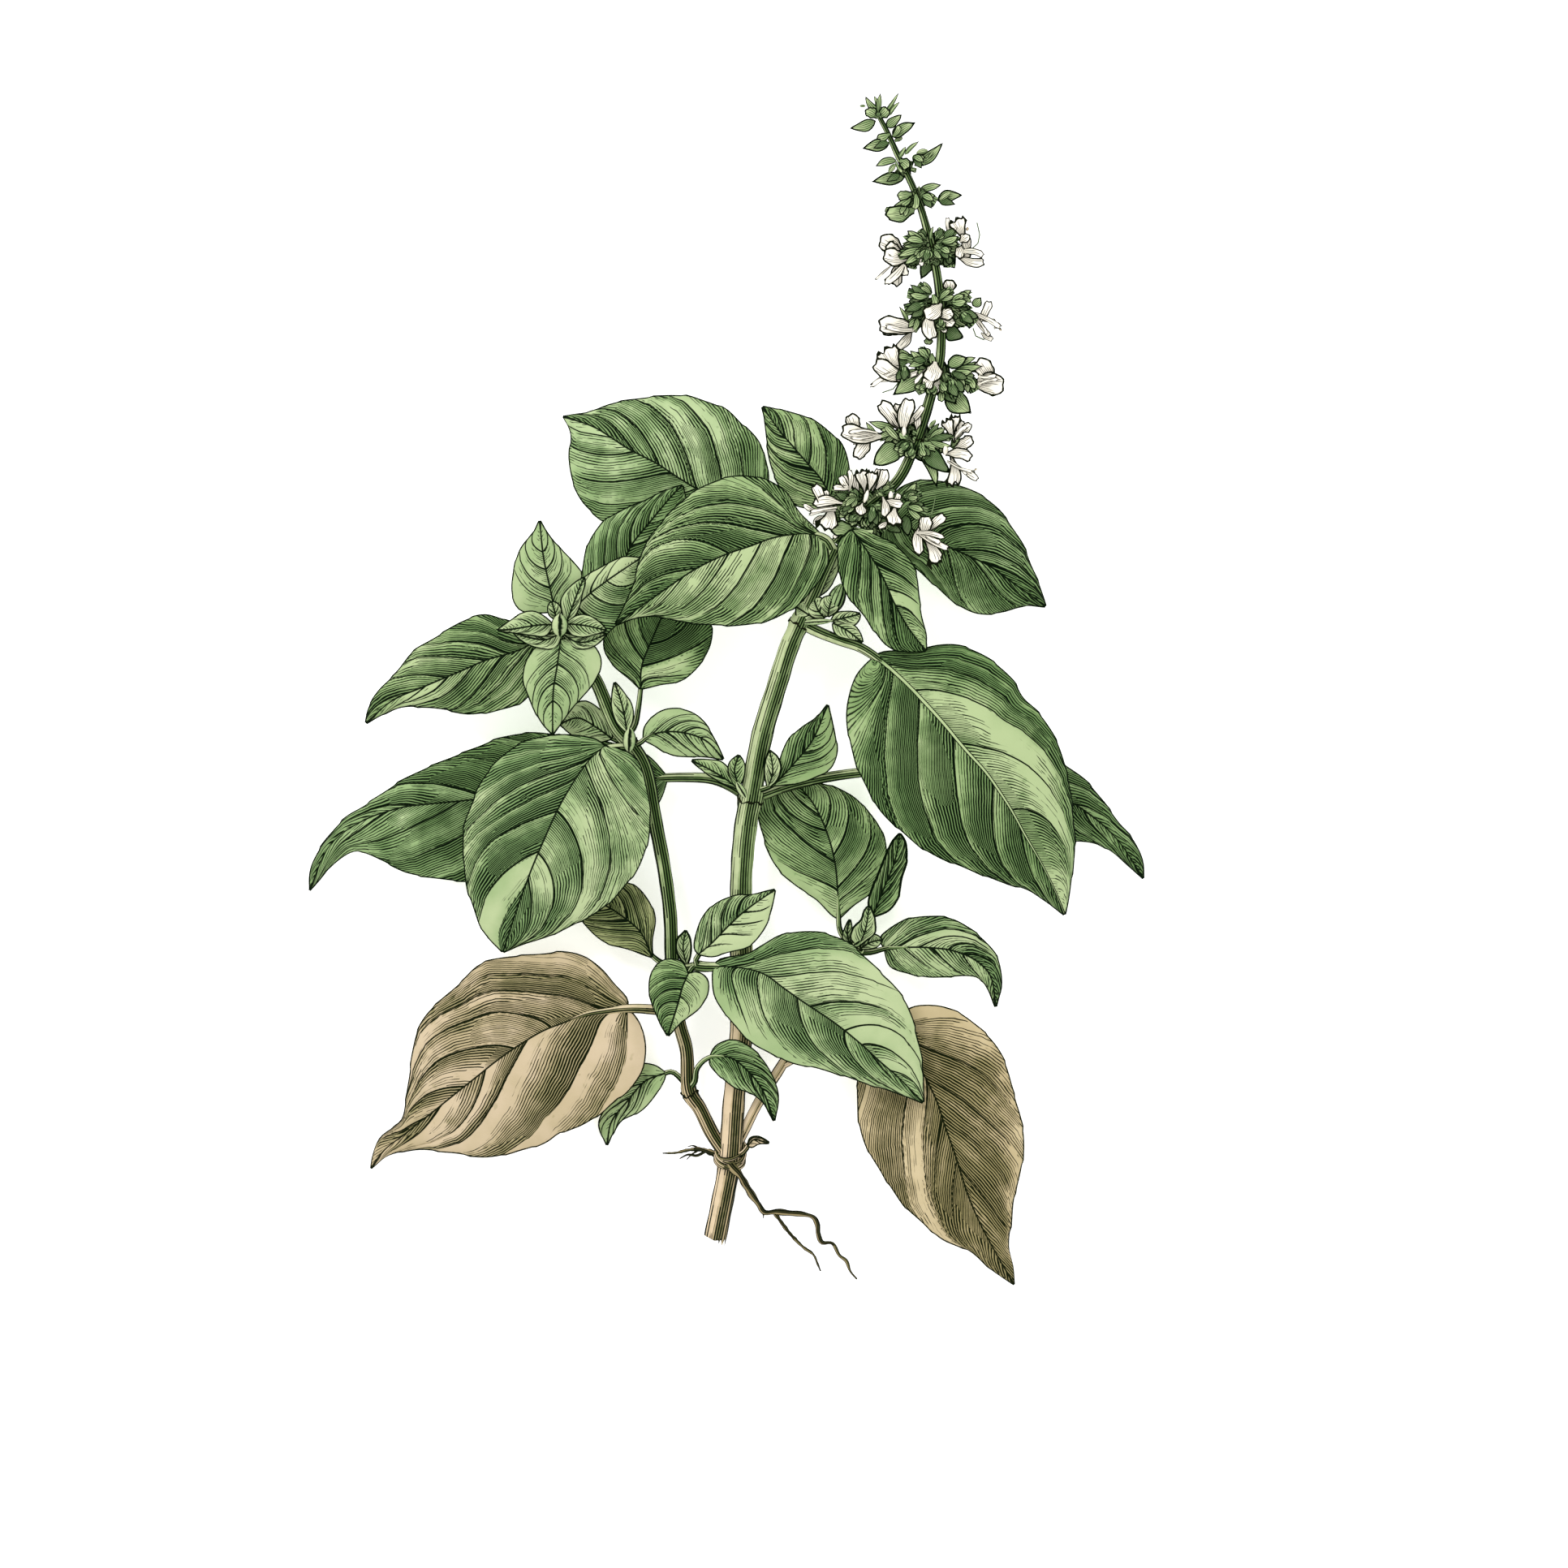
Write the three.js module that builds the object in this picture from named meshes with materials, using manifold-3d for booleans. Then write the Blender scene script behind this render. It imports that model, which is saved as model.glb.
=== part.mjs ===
// A flowering basil sprig lying flat: a branched stem with leaves, a flower spike and thin roots.
// Millimetres, +Z up. The origin is the middle of the sprig's footprint, on the surface it lies on.
import * as THREE from 'three';
import { mergeVertices } from 'three/addons/utils/BufferGeometryUtils.js';
import Module from 'manifold-3d';

const wasm = await Module();
wasm.setup();

// Driving dimensions
const bladeThickness = 0.8;
const stalkRadiusRange = [0.55, 0.9];
const bladeLengthPerStalkRadius = 62;
const leastHalfWidth = 0.35;
const rodStep = 6;
const bladeStep = 10;
const gap = 0.3;
const shortestEdge = 0.01;
const calyxRadius = 1.9;
const calyxReach = 6.2;
const bractRadius = 1.5;
const bractReach = 7.4;
const collarRadius = 2.9;
const corollaLength = 6;
const corollaMouthRadius = 3;
const corollaTubeRadius = 0.9;

const colours = {
  freshGreen: '#8fae78',
  midGreen: '#6f9560',
  deepGreen: '#557a4b',
  duskyGreen: '#6b6f4a',
  tan: '#c3a27d',
  brown: '#a98663',
  stemTan: '#b9a27c',
  stemGreen: '#7f9764',
  root: '#7a6443',
  petal: '#f1ecd9',
};

// ---------- helpers ----------
function curveThrough(points) {
  const vectors = points.map(([x, y, z = 0]) => new THREE.Vector3(x, y, z));
  return new THREE.CatmullRomCurve3(vectors, false, 'centripetal');
}

function alongList(values, t) {
  const place = t * (values.length - 1);
  const first = Math.min(Math.floor(place), values.length - 2);
  return THREE.MathUtils.lerp(values[first], values[first + 1], place - first);
}

function eachVertex(geometry, move) {
  const position = geometry.attributes.position;
  const point = new THREE.Vector3();
  for (let i = 0; i < position.count; i += 1) {
    point.fromBufferAttribute(position, i);
    move(point);
    position.setXYZ(i, point.x, point.y, point.z);
  }
  return geometry;
}

function toSolid(geometry) {
  const bare = geometry.clone();
  bare.deleteAttribute('normal');
  bare.deleteAttribute('uv');
  const merged = mergeVertices(bare, 1e-4);
  return new wasm.Manifold(new wasm.Mesh({
    numProp: 3,
    vertProperties: new Float32Array(merged.attributes.position.array),
    triVerts: new Uint32Array(merged.index.array),
  }));
}

// A solid's triangles with the ends of each very short edge drawn together.
function trianglesOf(solid) {
  const { vertProperties, triVerts } = solid.getMesh();
  const point = (i) => new THREE.Vector3().fromArray(vertProperties, 3 * i);
  const merged = Array.from({ length: vertProperties.length / 3 }, (_, i) => i);
  const mergedInto = (i) => (merged[i] === i ? i : mergedInto(merged[i]));
  for (let i = 0; i < triVerts.length; i += 3) {
    for (let k = 0; k < 3; k += 1) {
      const a = mergedInto(triVerts[i + k]);
      const b = mergedInto(triVerts[i + ((k + 1) % 3)]);
      if (a !== b && point(a).distanceTo(point(b)) < shortestEdge) merged[Math.max(a, b)] = Math.min(a, b);
    }
  }
  const corners = [];
  for (let i = 0; i < triVerts.length; i += 3) {
    const triangle = [0, 1, 2].map((k) => mergedInto(triVerts[i + k]));
    if (new Set(triangle).size === 3) corners.push(...triangle.flatMap((k) => point(k).toArray()));
  }
  const geometry = new THREE.BufferGeometry();
  geometry.setAttribute('position', new THREE.Float32BufferAttribute(corners, 3));
  return mergeVertices(geometry, 1e-6);
}

function toMesh(name, solid, colour, roughness = 0.7) {
  const geometry = trianglesOf(solid);
  geometry.computeVertexNormals();
  const material = new THREE.MeshStandardMaterial({ color: colour, roughness, metalness: 0 });
  const mesh = new THREE.Mesh(geometry, material);
  mesh.name = name;
  return mesh;
}

// A closed round rod along a curve, its radius read from a list spread evenly over its length.
// grow makes it thicker and longer by that much all round. Nothing dips below the surface it lies on.
function rod(points, radii, sides = 8, grow = 0) {
  const curve = curveThrough(points);
  const steps = Math.max(2, Math.round(curve.getLength() / rodStep));
  const frames = curve.computeFrenetFrames(steps);
  const shape = new THREE.CylinderGeometry(1, 1, 1, sides, steps);
  return toSolid(eachVertex(shape, (point) => {
    const row = Math.round((0.5 - point.y) * steps);
    const radius = alongList(radii, row / steps) + grow;
    const centre = curve.getPointAt(row / steps);
    if (row === 0) centre.addScaledVector(frames.tangents[row], -grow);
    if (row === steps) centre.addScaledVector(frames.tangents[row], grow);
    centre.addScaledVector(frames.normals[row], point.x * radius);
    centre.addScaledVector(frames.binormals[row], point.z * radius);
    point.set(centre.x, centre.y, Math.max(centre.z, 0));
  }));
}

// A leaf blade: spread between its midrib (x, y, z) and its two margins (x, y).
// Left and right are as seen from above, looking from the stalk to the tip.
// droop is how far the left and right margins hang below the midrib; a negative one folds up.
// Where a blade would reach the surface, it lies flat on it.
function blade({ rib, left, right, droop }) {
  const start = rib[0];
  const end = rib[rib.length - 1];
  const ribCurve = curveThrough(rib);
  const margins = [left, right].map((side) => curveThrough([start, ...side, end].map(([x, y]) => [x, y])));
  const long = THREE.MathUtils.clamp(Math.round(ribCurve.getLength() / bladeStep), 3, 8);
  const shape = new THREE.BoxGeometry(1, 1, 1, long, 4, 1);
  return toSolid(eachVertex(shape, (point) => {
    const u = THREE.MathUtils.clamp(point.x + 0.5, 0, 1);
    const side = point.y >= 0 ? 0 : 1;
    const v = Math.abs(point.y) * 2;
    const lift = point.z * bladeThickness;
    const middle = ribCurve.getPointAt(u);
    const sign = side === 0 ? 1 : -1;
    const edge = margins[side].getPointAt(u);
    const ribWay = ribCurve.getTangentAt(u).setZ(0).normalize();
    const along = ribWay.add(margins[side].getTangentAt(u)).normalize();
    const edgeX = edge.x - sign * leastHalfWidth * along.y;
    const edgeY = edge.y + sign * leastHalfWidth * along.x;
    const hang = droop[side] * v * v * Math.sqrt(Math.sin(Math.PI * u));
    point.set(
      THREE.MathUtils.lerp(middle.x, edgeX, v),
      THREE.MathUtils.lerp(middle.y, edgeY, v),
      Math.max(middle.z - hang, bladeThickness / 2) + lift,
    );
  }));
}

// A swollen lobe, such as a calyx or a bud, from one point to another.
function lobe(from, to, radius, sides = 5, rings = 3) {
  const a = new THREE.Vector3(...from);
  const b = new THREE.Vector3(...to);
  const shape = new THREE.SphereGeometry(1, sides, rings);
  shape.scale(radius, a.distanceTo(b) / 2, radius);
  const turn = new THREE.Quaternion().setFromUnitVectors(
    new THREE.Vector3(0, 1, 0),
    b.clone().sub(a).normalize(),
  );
  shape.applyQuaternion(turn);
  const middle = a.clone().lerp(b, 0.5);
  shape.translate(middle.x, middle.y, middle.z);
  return toSolid(eachVertex(shape, (point) => point.setZ(Math.max(point.z, 0))));
}

function joined(solids) {
  return solids.slice(1).reduce((whole, next) => whole.add(next), solids[0]);
}

const sprig = new THREE.Group();

// ---------- stems ----------
// Where the branches and leaf pairs sit on the stems.
const nodes = {
  root: [0.8, -104.5, 4.4],
  leftLow: [-8.2, -89.5, 7],
  leftMid: [-12, -62, 10],
  leftTop: [-21.5, -12, 14.5],
  right: [30, -57, 10],
  middle: [5.3, -24.5, 14.5],
  upper: [16.3, 14.7, 23],
  top: [24.3, 32.2, 25],
  frontShoot: [-7.1, -61.5, 14.2],
};

const stems = {
  main_stem: {
    path: [
      [-2.5, -121.7, 2.2], [0.4, -107, 3.9], nodes.root, [1.8, -90, 6.5], [3.2, -77, 8.5],
      [3.3, -60, 10.5],
      [3.3, -42, 12.5], [4.3, -30, 14], nodes.middle, [8, -10, 17], [11, 0, 19.2], [14.2, 10, 22],
      nodes.upper, [19.4, 21.5, 24], [23.8, 31.2, 24.9],
    ],
    radii: [2.4, 2.4, 3, 2.35, 2.35, 2.3, 2.3, 2.2, 2.3, 2.05, 1.95, 1.9, 1.9, 1.6, 1.4],
    colour: colours.stemTan,
    sides: 8,
  },
  flower_spike_stem: {
    path: [
      nodes.top, [31, 40.3, 25], [37.9, 46.1, 24.2], [42.1, 54.9, 23], [45.1, 64.3, 21],
        [47.4, 73.5, 18.5],
      [47.2, 88.4, 14], [45.1, 99.5, 10.8], [42.2, 109.5, 7.6], [37.8, 119.1, 4.6], [35.6, 124, 3.8],
    ],
    radii: [1.3, 1.25, 1.2, 1.2, 1.1, 1.05, 1, 0.9, 0.8, 0.7],
    colour: colours.stemGreen,
    sides: 8,
  },
  left_branch: {
    path: [
      nodes.root, [-3, -99, 5.4], [-6, -93, 6.4], nodes.leftLow, [-8.9, -80, 8],
        [-10.5, -74, 8.7], nodes.leftMid,
      [-12.5, -50, 11], [-13.8, -40, 11.7], [-15.7, -30, 12.5], [-18.4, -17, 13.9], nodes.leftTop,
      [-24.5, -8.4, 15.2], [-29.2, 2.3, 16.4], [-34.6, 9.8, 17], [-36.8, 13.2, 18.2], [-37.3, 14.4, 21],
    ],
    radii: [1.45, 1.5, 1.35, 1.35, 1.3, 1.3, 1.3, 1.3, 1.1, 1.05],
    colour: colours.stemGreen,
    sides: 8,
  },
  right_branch: {
    path: [nodes.root, [3.5, -99, 4.4], [7, -92, 5.4], [12, -84, 6.4], [17, -76, 7.6],
      [24, -66, 9], nodes.right, [31.2, -54.8, 10.6]],
    radii: [1.15, 1.15, 1.1, 1.1],
    colour: colours.stemTan,
    sides: 8,
  },
  front_shoot: {
    path: [nodes.leftMid, [-10.4, -62, 11.8], [-8.6, -61.8, 13], nodes.frontShoot, [-6.3, -61.2, 16.3]],
    radii: [1.05, 1, 1],
    colour: colours.stemGreen,
    sides: 8,
  },
};
const parents = {
  flower_spike_stem: 'main_stem',
  left_branch: 'main_stem',
  right_branch: 'main_stem',
  front_shoot: 'left_branch',
};

// A bud leaf that the front shoot and a folded one that the middle node's right leaf carry.
const frontBudLeaf = {
  rib: [[-8.8, -61.4, 13.2], [-9.6, -57.5, 13.8], [-9, -53.5, 13.6]],
  left: [[-10.7, -58.8], [-10.9, -55.8]],
  right: [[-8, -58.8], [-8.1, -55.6]],
  droop: [-0.6, -0.6],
};
const foldedBudLeaf = {
  rib: [[9.2, -22, 16.3], [10.3, -18.2, 18.6], [9.6, -13.6, 18.8]],
  left: [[8.6, -19.4], [8.7, -16]],
  right: [[11, -20.4], [12, -17.2], [11.2, -15]],
  droop: [-0.6, -0.6],
};

const swollen = {};
for (const [name, { path, radii, sides }] of Object.entries(stems)) {
  swollen[name] = rod(path, radii, sides, gap);
}
for (const [name, { path, radii, colour, sides }] of Object.entries(stems)) {
  let solid = rod(path, radii, sides);
  if (name in parents) solid = solid.subtract(swollen[parents[name]]);
  if (name === 'right_branch') solid = solid.subtract(swollen.left_branch);
  if (name === 'front_shoot') solid = solid.add(blade(frontBudLeaf).subtract(swollen.left_branch));
  sprig.add(toMesh(name, solid, colour));
}

// ---------- leaves ----------
// carrier is the stem a leaf grows from; its stalk starts on that stem's axis and is cut back to its skin.
const leaves = {
  leaf_top_left: {
    carrier: 'main_stem', colour: colours.deepGreen, droop: [3.2, 2.6],
    stalk: [[22.8, 29, 24.7], [20.8, 31.6, 22], [17, 35.6, 18.5], [12, 39.4, 15.2]],
    rib: [
      [8, 41, 13.4], [1, 43.2, 11.4], [-6, 44.3, 10], [-10, 46.5, 9.4], [-15, 49.8, 8.8],
      [-22, 53.5, 7.4],
      [-29, 58, 4.4], [-36.3, 60.6, 0.2],
    ],
    left: [
      [4, 37.5], [-3, 34.8], [-11, 34], [-19, 34.8], [-27, 37.3], [-30, 39.8], [-32, 42], [-34, 46.5],
      [-34.7, 51], [-34.4, 57],
    ],
    right: [
      [9.3, 46.5], [8.5, 51], [7, 55], [3.5, 58.5], [0, 61.8], [-5, 63.8], [-10, 65], [-20, 64.2],
      [-26, 63],
      [-30, 61.4],
    ],
  },
  leaf_behind_top_left: {
    carrier: 'left_branch', colour: colours.deepGreen, droop: [1.5, 1.5],
    stalk: [[-34.8, 10, 17], [-33.4, 14.4, 16.2], [-32, 18, 15.5]],
    rib: [
      [-30.5, 20.5, 15], [-26.5, 24, 14], [-23, 28, 13.4], [-21, 32, 13.2], [-17, 37, 12.8],
      [-12, 43, 12],
      [-9.7, 45.2, 11.4],
    ],
    left: [[-32, 22.8], [-31.7, 27], [-30.5, 32], [-29.5, 34], [-26.5, 37.5], [-23, 39.5],
      [-19, 41.2], [-14, 43.6]],
    right: [[-26, 21.5], [-20, 24], [-14, 29], [-10.5, 35], [-9.2, 41]],
  },
  leaf_upper_left_front: {
    carrier: 'main_stem', colour: colours.midGreen, droop: [2.8, 3.5],
    stalk: [[23.6, 30.8, 24.9], [22.2, 33, 26.2]],
    rib: [
      [21, 34, 26.4], [16, 34.3, 27.9], [10, 33.3, 29.6], [5, 31.5, 30.4], [0, 29.8, 30.6],
      [-5, 27.5, 30],
      [-10, 24.5, 28.6], [-15, 21, 26.6], [-20, 17.5, 23.8], [-24.5, 14.3, 21.2],
    ],
    left: [
      [22.3, 31], [22.5, 28], [20, 23.5], [16, 19], [13, 17], [8, 15], [2, 14.3], [-5, 14.6],
      [-10, 15.2],
      [-15, 16.3], [-20, 16],
    ],
    right: [
      [19, 36], [16, 39], [13, 43.5], [9, 46], [4, 47], [0, 46.5], [-3, 45.5], [-6, 44],
      [-9.5, 41.5], [-13, 38],
      [-17, 33], [-19, 28.5], [-20, 24], [-22.5, 18],
    ],
  },
  leaf_upper_middle: {
    carrier: 'main_stem', colour: colours.midGreen, droop: [1.5, 1.5],
    stalk: [[26.2, 34.6, 25], [25, 36.6, 22]],
    rib: [[24.4, 40, 19.8], [21, 46.5, 18.8], [18, 50, 18], [15, 53.5, 17], [12, 57, 15.8],
      [8, 62.6, 13.5]],
    left: [[18, 40.2], [14, 42], [11.5, 46], [10, 50], [9.2, 55], [8.7, 60]],
    right: [[27, 44.5], [27, 49.5], [25.5, 54], [22, 57.5], [18, 60], [12, 61.7]],
  },
  leaf_right_top: {
    carrier: 'main_stem', colour: colours.deepGreen, droop: [3, 2],
    stalk: [[22.8, 29, 24.7], [25.4, 30.6, 20.8], [32, 34.8, 16.2], [38, 36.2, 15]],
    rib: [[40.5, 36, 14.6], [46, 33, 14.6], [52, 30.3, 13.8], [58, 27.5, 12], [64, 23.3, 9.6],
      [70.8, 18.4, 6.4]],
    left: [
      [40, 43.6], [44, 46.2], [46.5, 46], [52, 44.8], [56, 43], [60, 40], [63, 36], [65.5, 32],
      [67.5, 27], [69.2, 23],
    ],
    right: [[39.6, 32], [42, 27], [45, 24.5], [50, 20], [53, 18], [56, 17], [61, 17.3], [66, 18.8]],
  },
  leaf_under_flowers: {
    carrier: 'main_stem', colour: colours.midGreen, droop: [2.5, 2.5],
    stalk: [[24.9, 33, 25.4], [26.4, 34.6, 27.6]],
    rib: [
      [27.8, 35.2, 28.6], [30.5, 31.5, 29.6], [32.6, 28.4, 30.2], [35, 24, 30.4], [36.9, 19.6, 30],
      [40, 14, 29],
      [44.2, 8.4, 27.2],
    ],
    left: [[31, 35], [34, 33.4], [36.4, 32.2], [39, 30], [41, 27.5], [42, 24.5], [42.4, 20],
      [43, 16], [43.9, 12]],
    right: [[25.2, 33], [25, 28], [26, 23], [28, 19.5], [31, 16], [33, 13], [35.5, 10], [38.5, 8.6]],
  },
  side_shoot_leaf_top: {
    carrier: 'left_branch', colour: colours.freshGreen, droop: [1, 1],
    stalk: [[-37.1, 13.9, 19]],
    rib: [[-38, 17, 18.6], [-39, 22, 18.5], [-40.5, 29, 17.6], [-41.4, 37.3, 14.6]],
    left: [[-45.5, 17.5], [-47.3, 21], [-47, 26], [-45.5, 31], [-42.7, 34.5]],
    right: [[-36.5, 19], [-33.4, 22.5], [-32.3, 25.5], [-34, 28], [-37, 31], [-40, 34.7]],
  },
  side_shoot_leaf_left: {
    carrier: 'left_branch', colour: colours.midGreen, droop: [2, 2],
    stalk: [[-36.8, 13.3, 17.8]],
    rib: [
      [-40, 12, 17.2], [-46, 8.6, 17.2], [-53, 6.5, 16.9], [-60, 3.5, 16], [-66, 1, 14.4],
      [-74, -2.5, 11],
      [-80, -7.5, 7.8],
    ],
    left: [
      [-40.5, 5], [-42.5, 0.5], [-46, -3], [-50, -4.3], [-57, -5.3], [-62, -4.3], [-68, -3.6],
      [-73, -3.9],
      [-77, -5.7],
    ],
    right: [
      [-43, 13.4], [-49.5, 15.3], [-53.5, 16.3], [-58, 15], [-64, 11.5], [-69.5, 8], [-73, 3.5],
      [-77, -0.5],
      [-79.3, -4.5],
    ],
  },
  side_shoot_leaf_front: {
    carrier: 'left_branch', colour: colours.freshGreen, droop: [1.6, 1.6],
    stalk: [[-37, 13.7, 20.3]],
    rib: [[-36.7, 11, 20.8], [-37.5, 5, 22], [-38.3, 0, 21.8], [-38.5, -6, 20.6], [-38.5, -10, 19.6]],
    left: [[-31.6, 10.8], [-29, 9], [-27.9, 6], [-29.5, 1.5], [-33, -2.5], [-36.5, -7]],
    right: [[-41, 9.8], [-44, 6.5], [-44.8, 2], [-43.5, -2], [-41, -7]],
  },
  side_shoot_leaf_right: {
    carrier: 'left_branch', colour: colours.deepGreen, droop: [1, 1],
    stalk: [[-37.15, 14, 20.2]],
    rib: [[-34.4, 17, 20.5], [-31, 20.5, 20.2], [-27, 23.6, 19.6], [-23, 26.4, 18.6], [-19, 29, 17.4]],
    left: [[-35.4, 20], [-34, 22.5], [-31, 24.8], [-27, 27.2], [-22.5, 29.1]],
    right: [[-31.6, 17.2], [-27, 19], [-22.5, 22.2], [-19.6, 26]],
  },
  hanging_leaf: {
    carrier: 'left_branch', colour: colours.midGreen, droop: [1.5, 1.5],
    stalk: [[-22.4, -10.8, 14.8], [-20.4, -8.2, 14], [-19.5, -4, 13.5]],
    rib: [[-19, 0, 13.2], [-18.8, 5, 12.8], [-16.5, 11, 12.2], [-13, 19, 11]],
    left: [[-21, 2], [-25, 5.5], [-27, 9], [-26, 14], [-21, 18]],
    right: [[-15, 1], [-10, 2], [-7, 4.5], [-4.5, 8], [-3.5, 11], [-3.8, 15], [-8, 18.4]],
  },
  left_axil_leaf_left: {
    carrier: 'left_branch', colour: colours.freshGreen, droop: [1, 1],
    stalk: [[-21.4, -12.2, 14.4], [-23.8, -11.6, 12.6]],
    rib: [[-25.4, -11, 12.8], [-29, -8.4, 13.2], [-33, -6.4, 13.2], [-37, -7.8, 12.6]],
    left: [[-28, -11.6], [-32.5, -11]],
    right: [[-26, -7.4], [-29, -4], [-32, -2.8], [-35, -4.6]],
  },
  left_axil_leaf_right: {
    carrier: 'left_branch', colour: colours.freshGreen, droop: [1, 1],
    stalk: [[-21.2, -12.6, 14.5], [-19.2, -12, 15.5]],
    rib: [[-18.4, -11.2, 15.8], [-15.5, -9.8, 16], [-10, -9.6, 16], [-4.5, -11.5, 15.4],
      [-0.7, -15.6, 14.4]],
    left: [[-18, -8.4], [-15, -5.3], [-12, -4.5], [-8, -5.2], [-5.5, -7], [-3.2, -10.5]],
    right: [[-16, -12.4], [-12, -14.5], [-7, -14.8], [-3.4, -15]],
  },
  leaf_middle_left_front: {
    carrier: 'left_branch', colour: colours.freshGreen, droop: [3.6, 3.4],
    stalk: [[-20.8, -13.4, 14.3], [-23.6, -13, 17]],
    rib: [
      [-27, -12.6, 18.6], [-31, -16.5, 20.6], [-35, -22.5, 22], [-37.5, -27, 22.2], [-40, -32.5, 21.6],
      [-43, -39.5, 19.4], [-46, -47.5, 16], [-49.6, -58.3, 11.4],
    ],
    left: [
      [-23.5, -13.4], [-20, -15.5], [-18.3, -20], [-17.2, -26], [-17.3, -32], [-19.5, -39],
      [-24, -45], [-28, -48.7],
      [-33, -51.5], [-36, -53], [-40, -54.8], [-45, -56.3],
    ],
    right: [
      [-29, -11.3], [-35, -10.3], [-40, -10.7], [-45, -12], [-50, -15.5], [-54, -20.5], [-56, -25],
      [-58, -31],
      [-58, -38], [-57.5, -43], [-56, -48], [-53.5, -54],
    ],
  },
  small_dark_leaf: {
    carrier: 'left_branch', colour: colours.duskyGreen, droop: [1, 1],
    stalk: [[-12.1, -61.5, 9.8], [-14.6, -60.6, 9.8]],
    rib: [[-16.5, -59.5, 9.8], [-19, -54, 9.6], [-23, -50.5, 9.2], [-27, -48, 8.8], [-33, -46, 8]],
    left: [[-18.5, -58.8], [-22, -57.5], [-27, -56], [-30, -53.5], [-32.5, -50]],
    right: [[-16.7, -56], [-16, -51], [-17.5, -47], [-21, -43.5], [-27, -43]],
  },
  brown_leaf_left: {
    carrier: 'left_branch', colour: colours.tan, droop: [2.4, 2.4],
    stalk: [[-10.9, -71.2, 8.8], [-15, -71.2, 9.4], [-19.6, -70.9, 9.8]],
    rib: [
      [-22, -70.8, 10], [-27, -71.5, 10.6], [-31.5, -72.3, 11], [-36, -74, 11.2], [-41, -76, 11],
      [-46, -79, 10.4],
      [-51, -82.5, 9.4], [-56, -86.5, 8], [-61, -90.5, 6.4], [-66, -94.5, 4.6], [-71, -98.5, 2.9],
      [-76, -102.4, 1.4],
      [-79, -106.5, 0.3],
    ],
    left: [
      [-20, -73], [-18.6, -76], [-18, -80], [-19, -85], [-21.5, -88.5], [-24.5, -91], [-28, -94],
      [-32, -96.5],
      [-37, -98.3], [-40, -100.3], [-45, -102], [-53, -103.7], [-61, -102.7], [-69, -102],
      [-75, -103.3],
    ],
    right: [
      [-22, -69], [-25, -65.5], [-28, -62], [-32, -59.3], [-36, -58.5], [-41, -59], [-50.5, -60],
      [-55, -61.5],
      [-58.5, -65], [-63, -69], [-66.5, -72.5], [-68.7, -77], [-70.3, -87], [-71, -92], [-72, -96],
      [-77, -100],
      [-78.6, -104],
    ],
  },
  leaf_middle_left_back: {
    carrier: 'main_stem', colour: colours.deepGreen, droop: [1.5, 1.5],
    stalk: [nodes.middle, [1.5, -21.8, 12.8], [-3, -20, 11.2], [-9.6, -19.6, 9.2]],
    rib: [
      [-13, -19.6, 8.6], [-22, -20.4, 8], [-33, -21.8, 7.6], [-45, -23.4, 7.4], [-56, -24.5, 7],
      [-64, -25.3, 6.6],
      [-72, -26.3, 5.8], [-80, -28.8, 4.6], [-88, -34.5, 2.4], [-92.6, -44.7, 0.4],
    ],
    left: [
      [-15, -25], [-22, -33], [-32, -39], [-44, -42.5], [-58, -42.5], [-66, -41.5], [-71, -40.5],
      [-76, -38],
      [-82, -35.7], [-87, -38.2], [-90.4, -42],
    ],
    right: [
      [-18, -14.5], [-26, -12], [-34, -10.8], [-43, -9.9], [-50, -11], [-55, -13], [-60, -15],
      [-66, -17.5],
      [-72, -20.5], [-80, -26], [-84, -28.5], [-87, -31.5], [-90, -35.5], [-92.2, -40],
    ],
  },
  middle_node_leaf_right: {
    carrier: 'main_stem', colour: colours.midGreen, droop: [0.8, 0.8],
    stalk: [[5.8, -22.8, 15], [9.2, -21.8, 16.4]],
    rib: [[10.4, -21.4, 16.2], [15, -16.5, 17.4], [19, -11.5, 17.6], [22.5, -3.5, 17]],
    left: [[11.4, -18], [12.6, -14], [14.2, -11], [17, -8.5], [20, -6.6]],
    right: [[16.5, -20.6], [20.5, -19], [23, -17.5], [24.4, -14], [24, -10.5], [23.2, -7]],
  },
  leaf_right_back: {
    carrier: 'main_stem', colour: colours.deepGreen, droop: [2, 2],
    stalk: [nodes.middle, [12, -22, 13.4], [20, -20, 13], [30, -18.5, 12.2]],
    rib: [
      [38, -18, 11.8], [50, -17.5, 11.4], [60, -19, 10.6], [70, -22, 9.4], [78, -26, 7.6],
      [86, -32.5, 4.6],
      [92.6, -42, 0.4],
    ],
    left: [
      [42, -10], [52, -5.5], [62, -8.5], [70, -13], [74.5, -16.7], [79, -20], [83, -24.5],
      [87, -30], [90, -33.5],
      [92.2, -38],
    ],
    right: [[44, -27], [54, -32], [66, -34], [76.5, -33.5], [82, -34], [86, -36], [90, -39.5]],
  },
  leaf_right_big: {
    carrier: 'main_stem', colour: colours.midGreen, droop: [4.2, 4.5],
    stalk: [nodes.upper, [20, 12.8, 23.6], [25, 10.8, 24.2], [30, 9, 24.8]],
    rib: [
      [33, 7.2, 25.2], [38, 3, 26.6], [43, -2, 27.8], [48, -7.5, 28.6], [53, -13.5, 28.8],
      [57.5, -18.5, 28.2],
      [62, -25, 26.4], [66, -32, 23.6], [70, -39, 20], [73, -45, 16.8], [75, -50, 14],
    ],
    left: [
      [34.6, 8], [42, 8.4], [47, 9.5], [51, 9.5], [56, 7.7], [60, 5], [63.5, 1.5], [65.5, -2],
      [69, -5.5],
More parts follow.
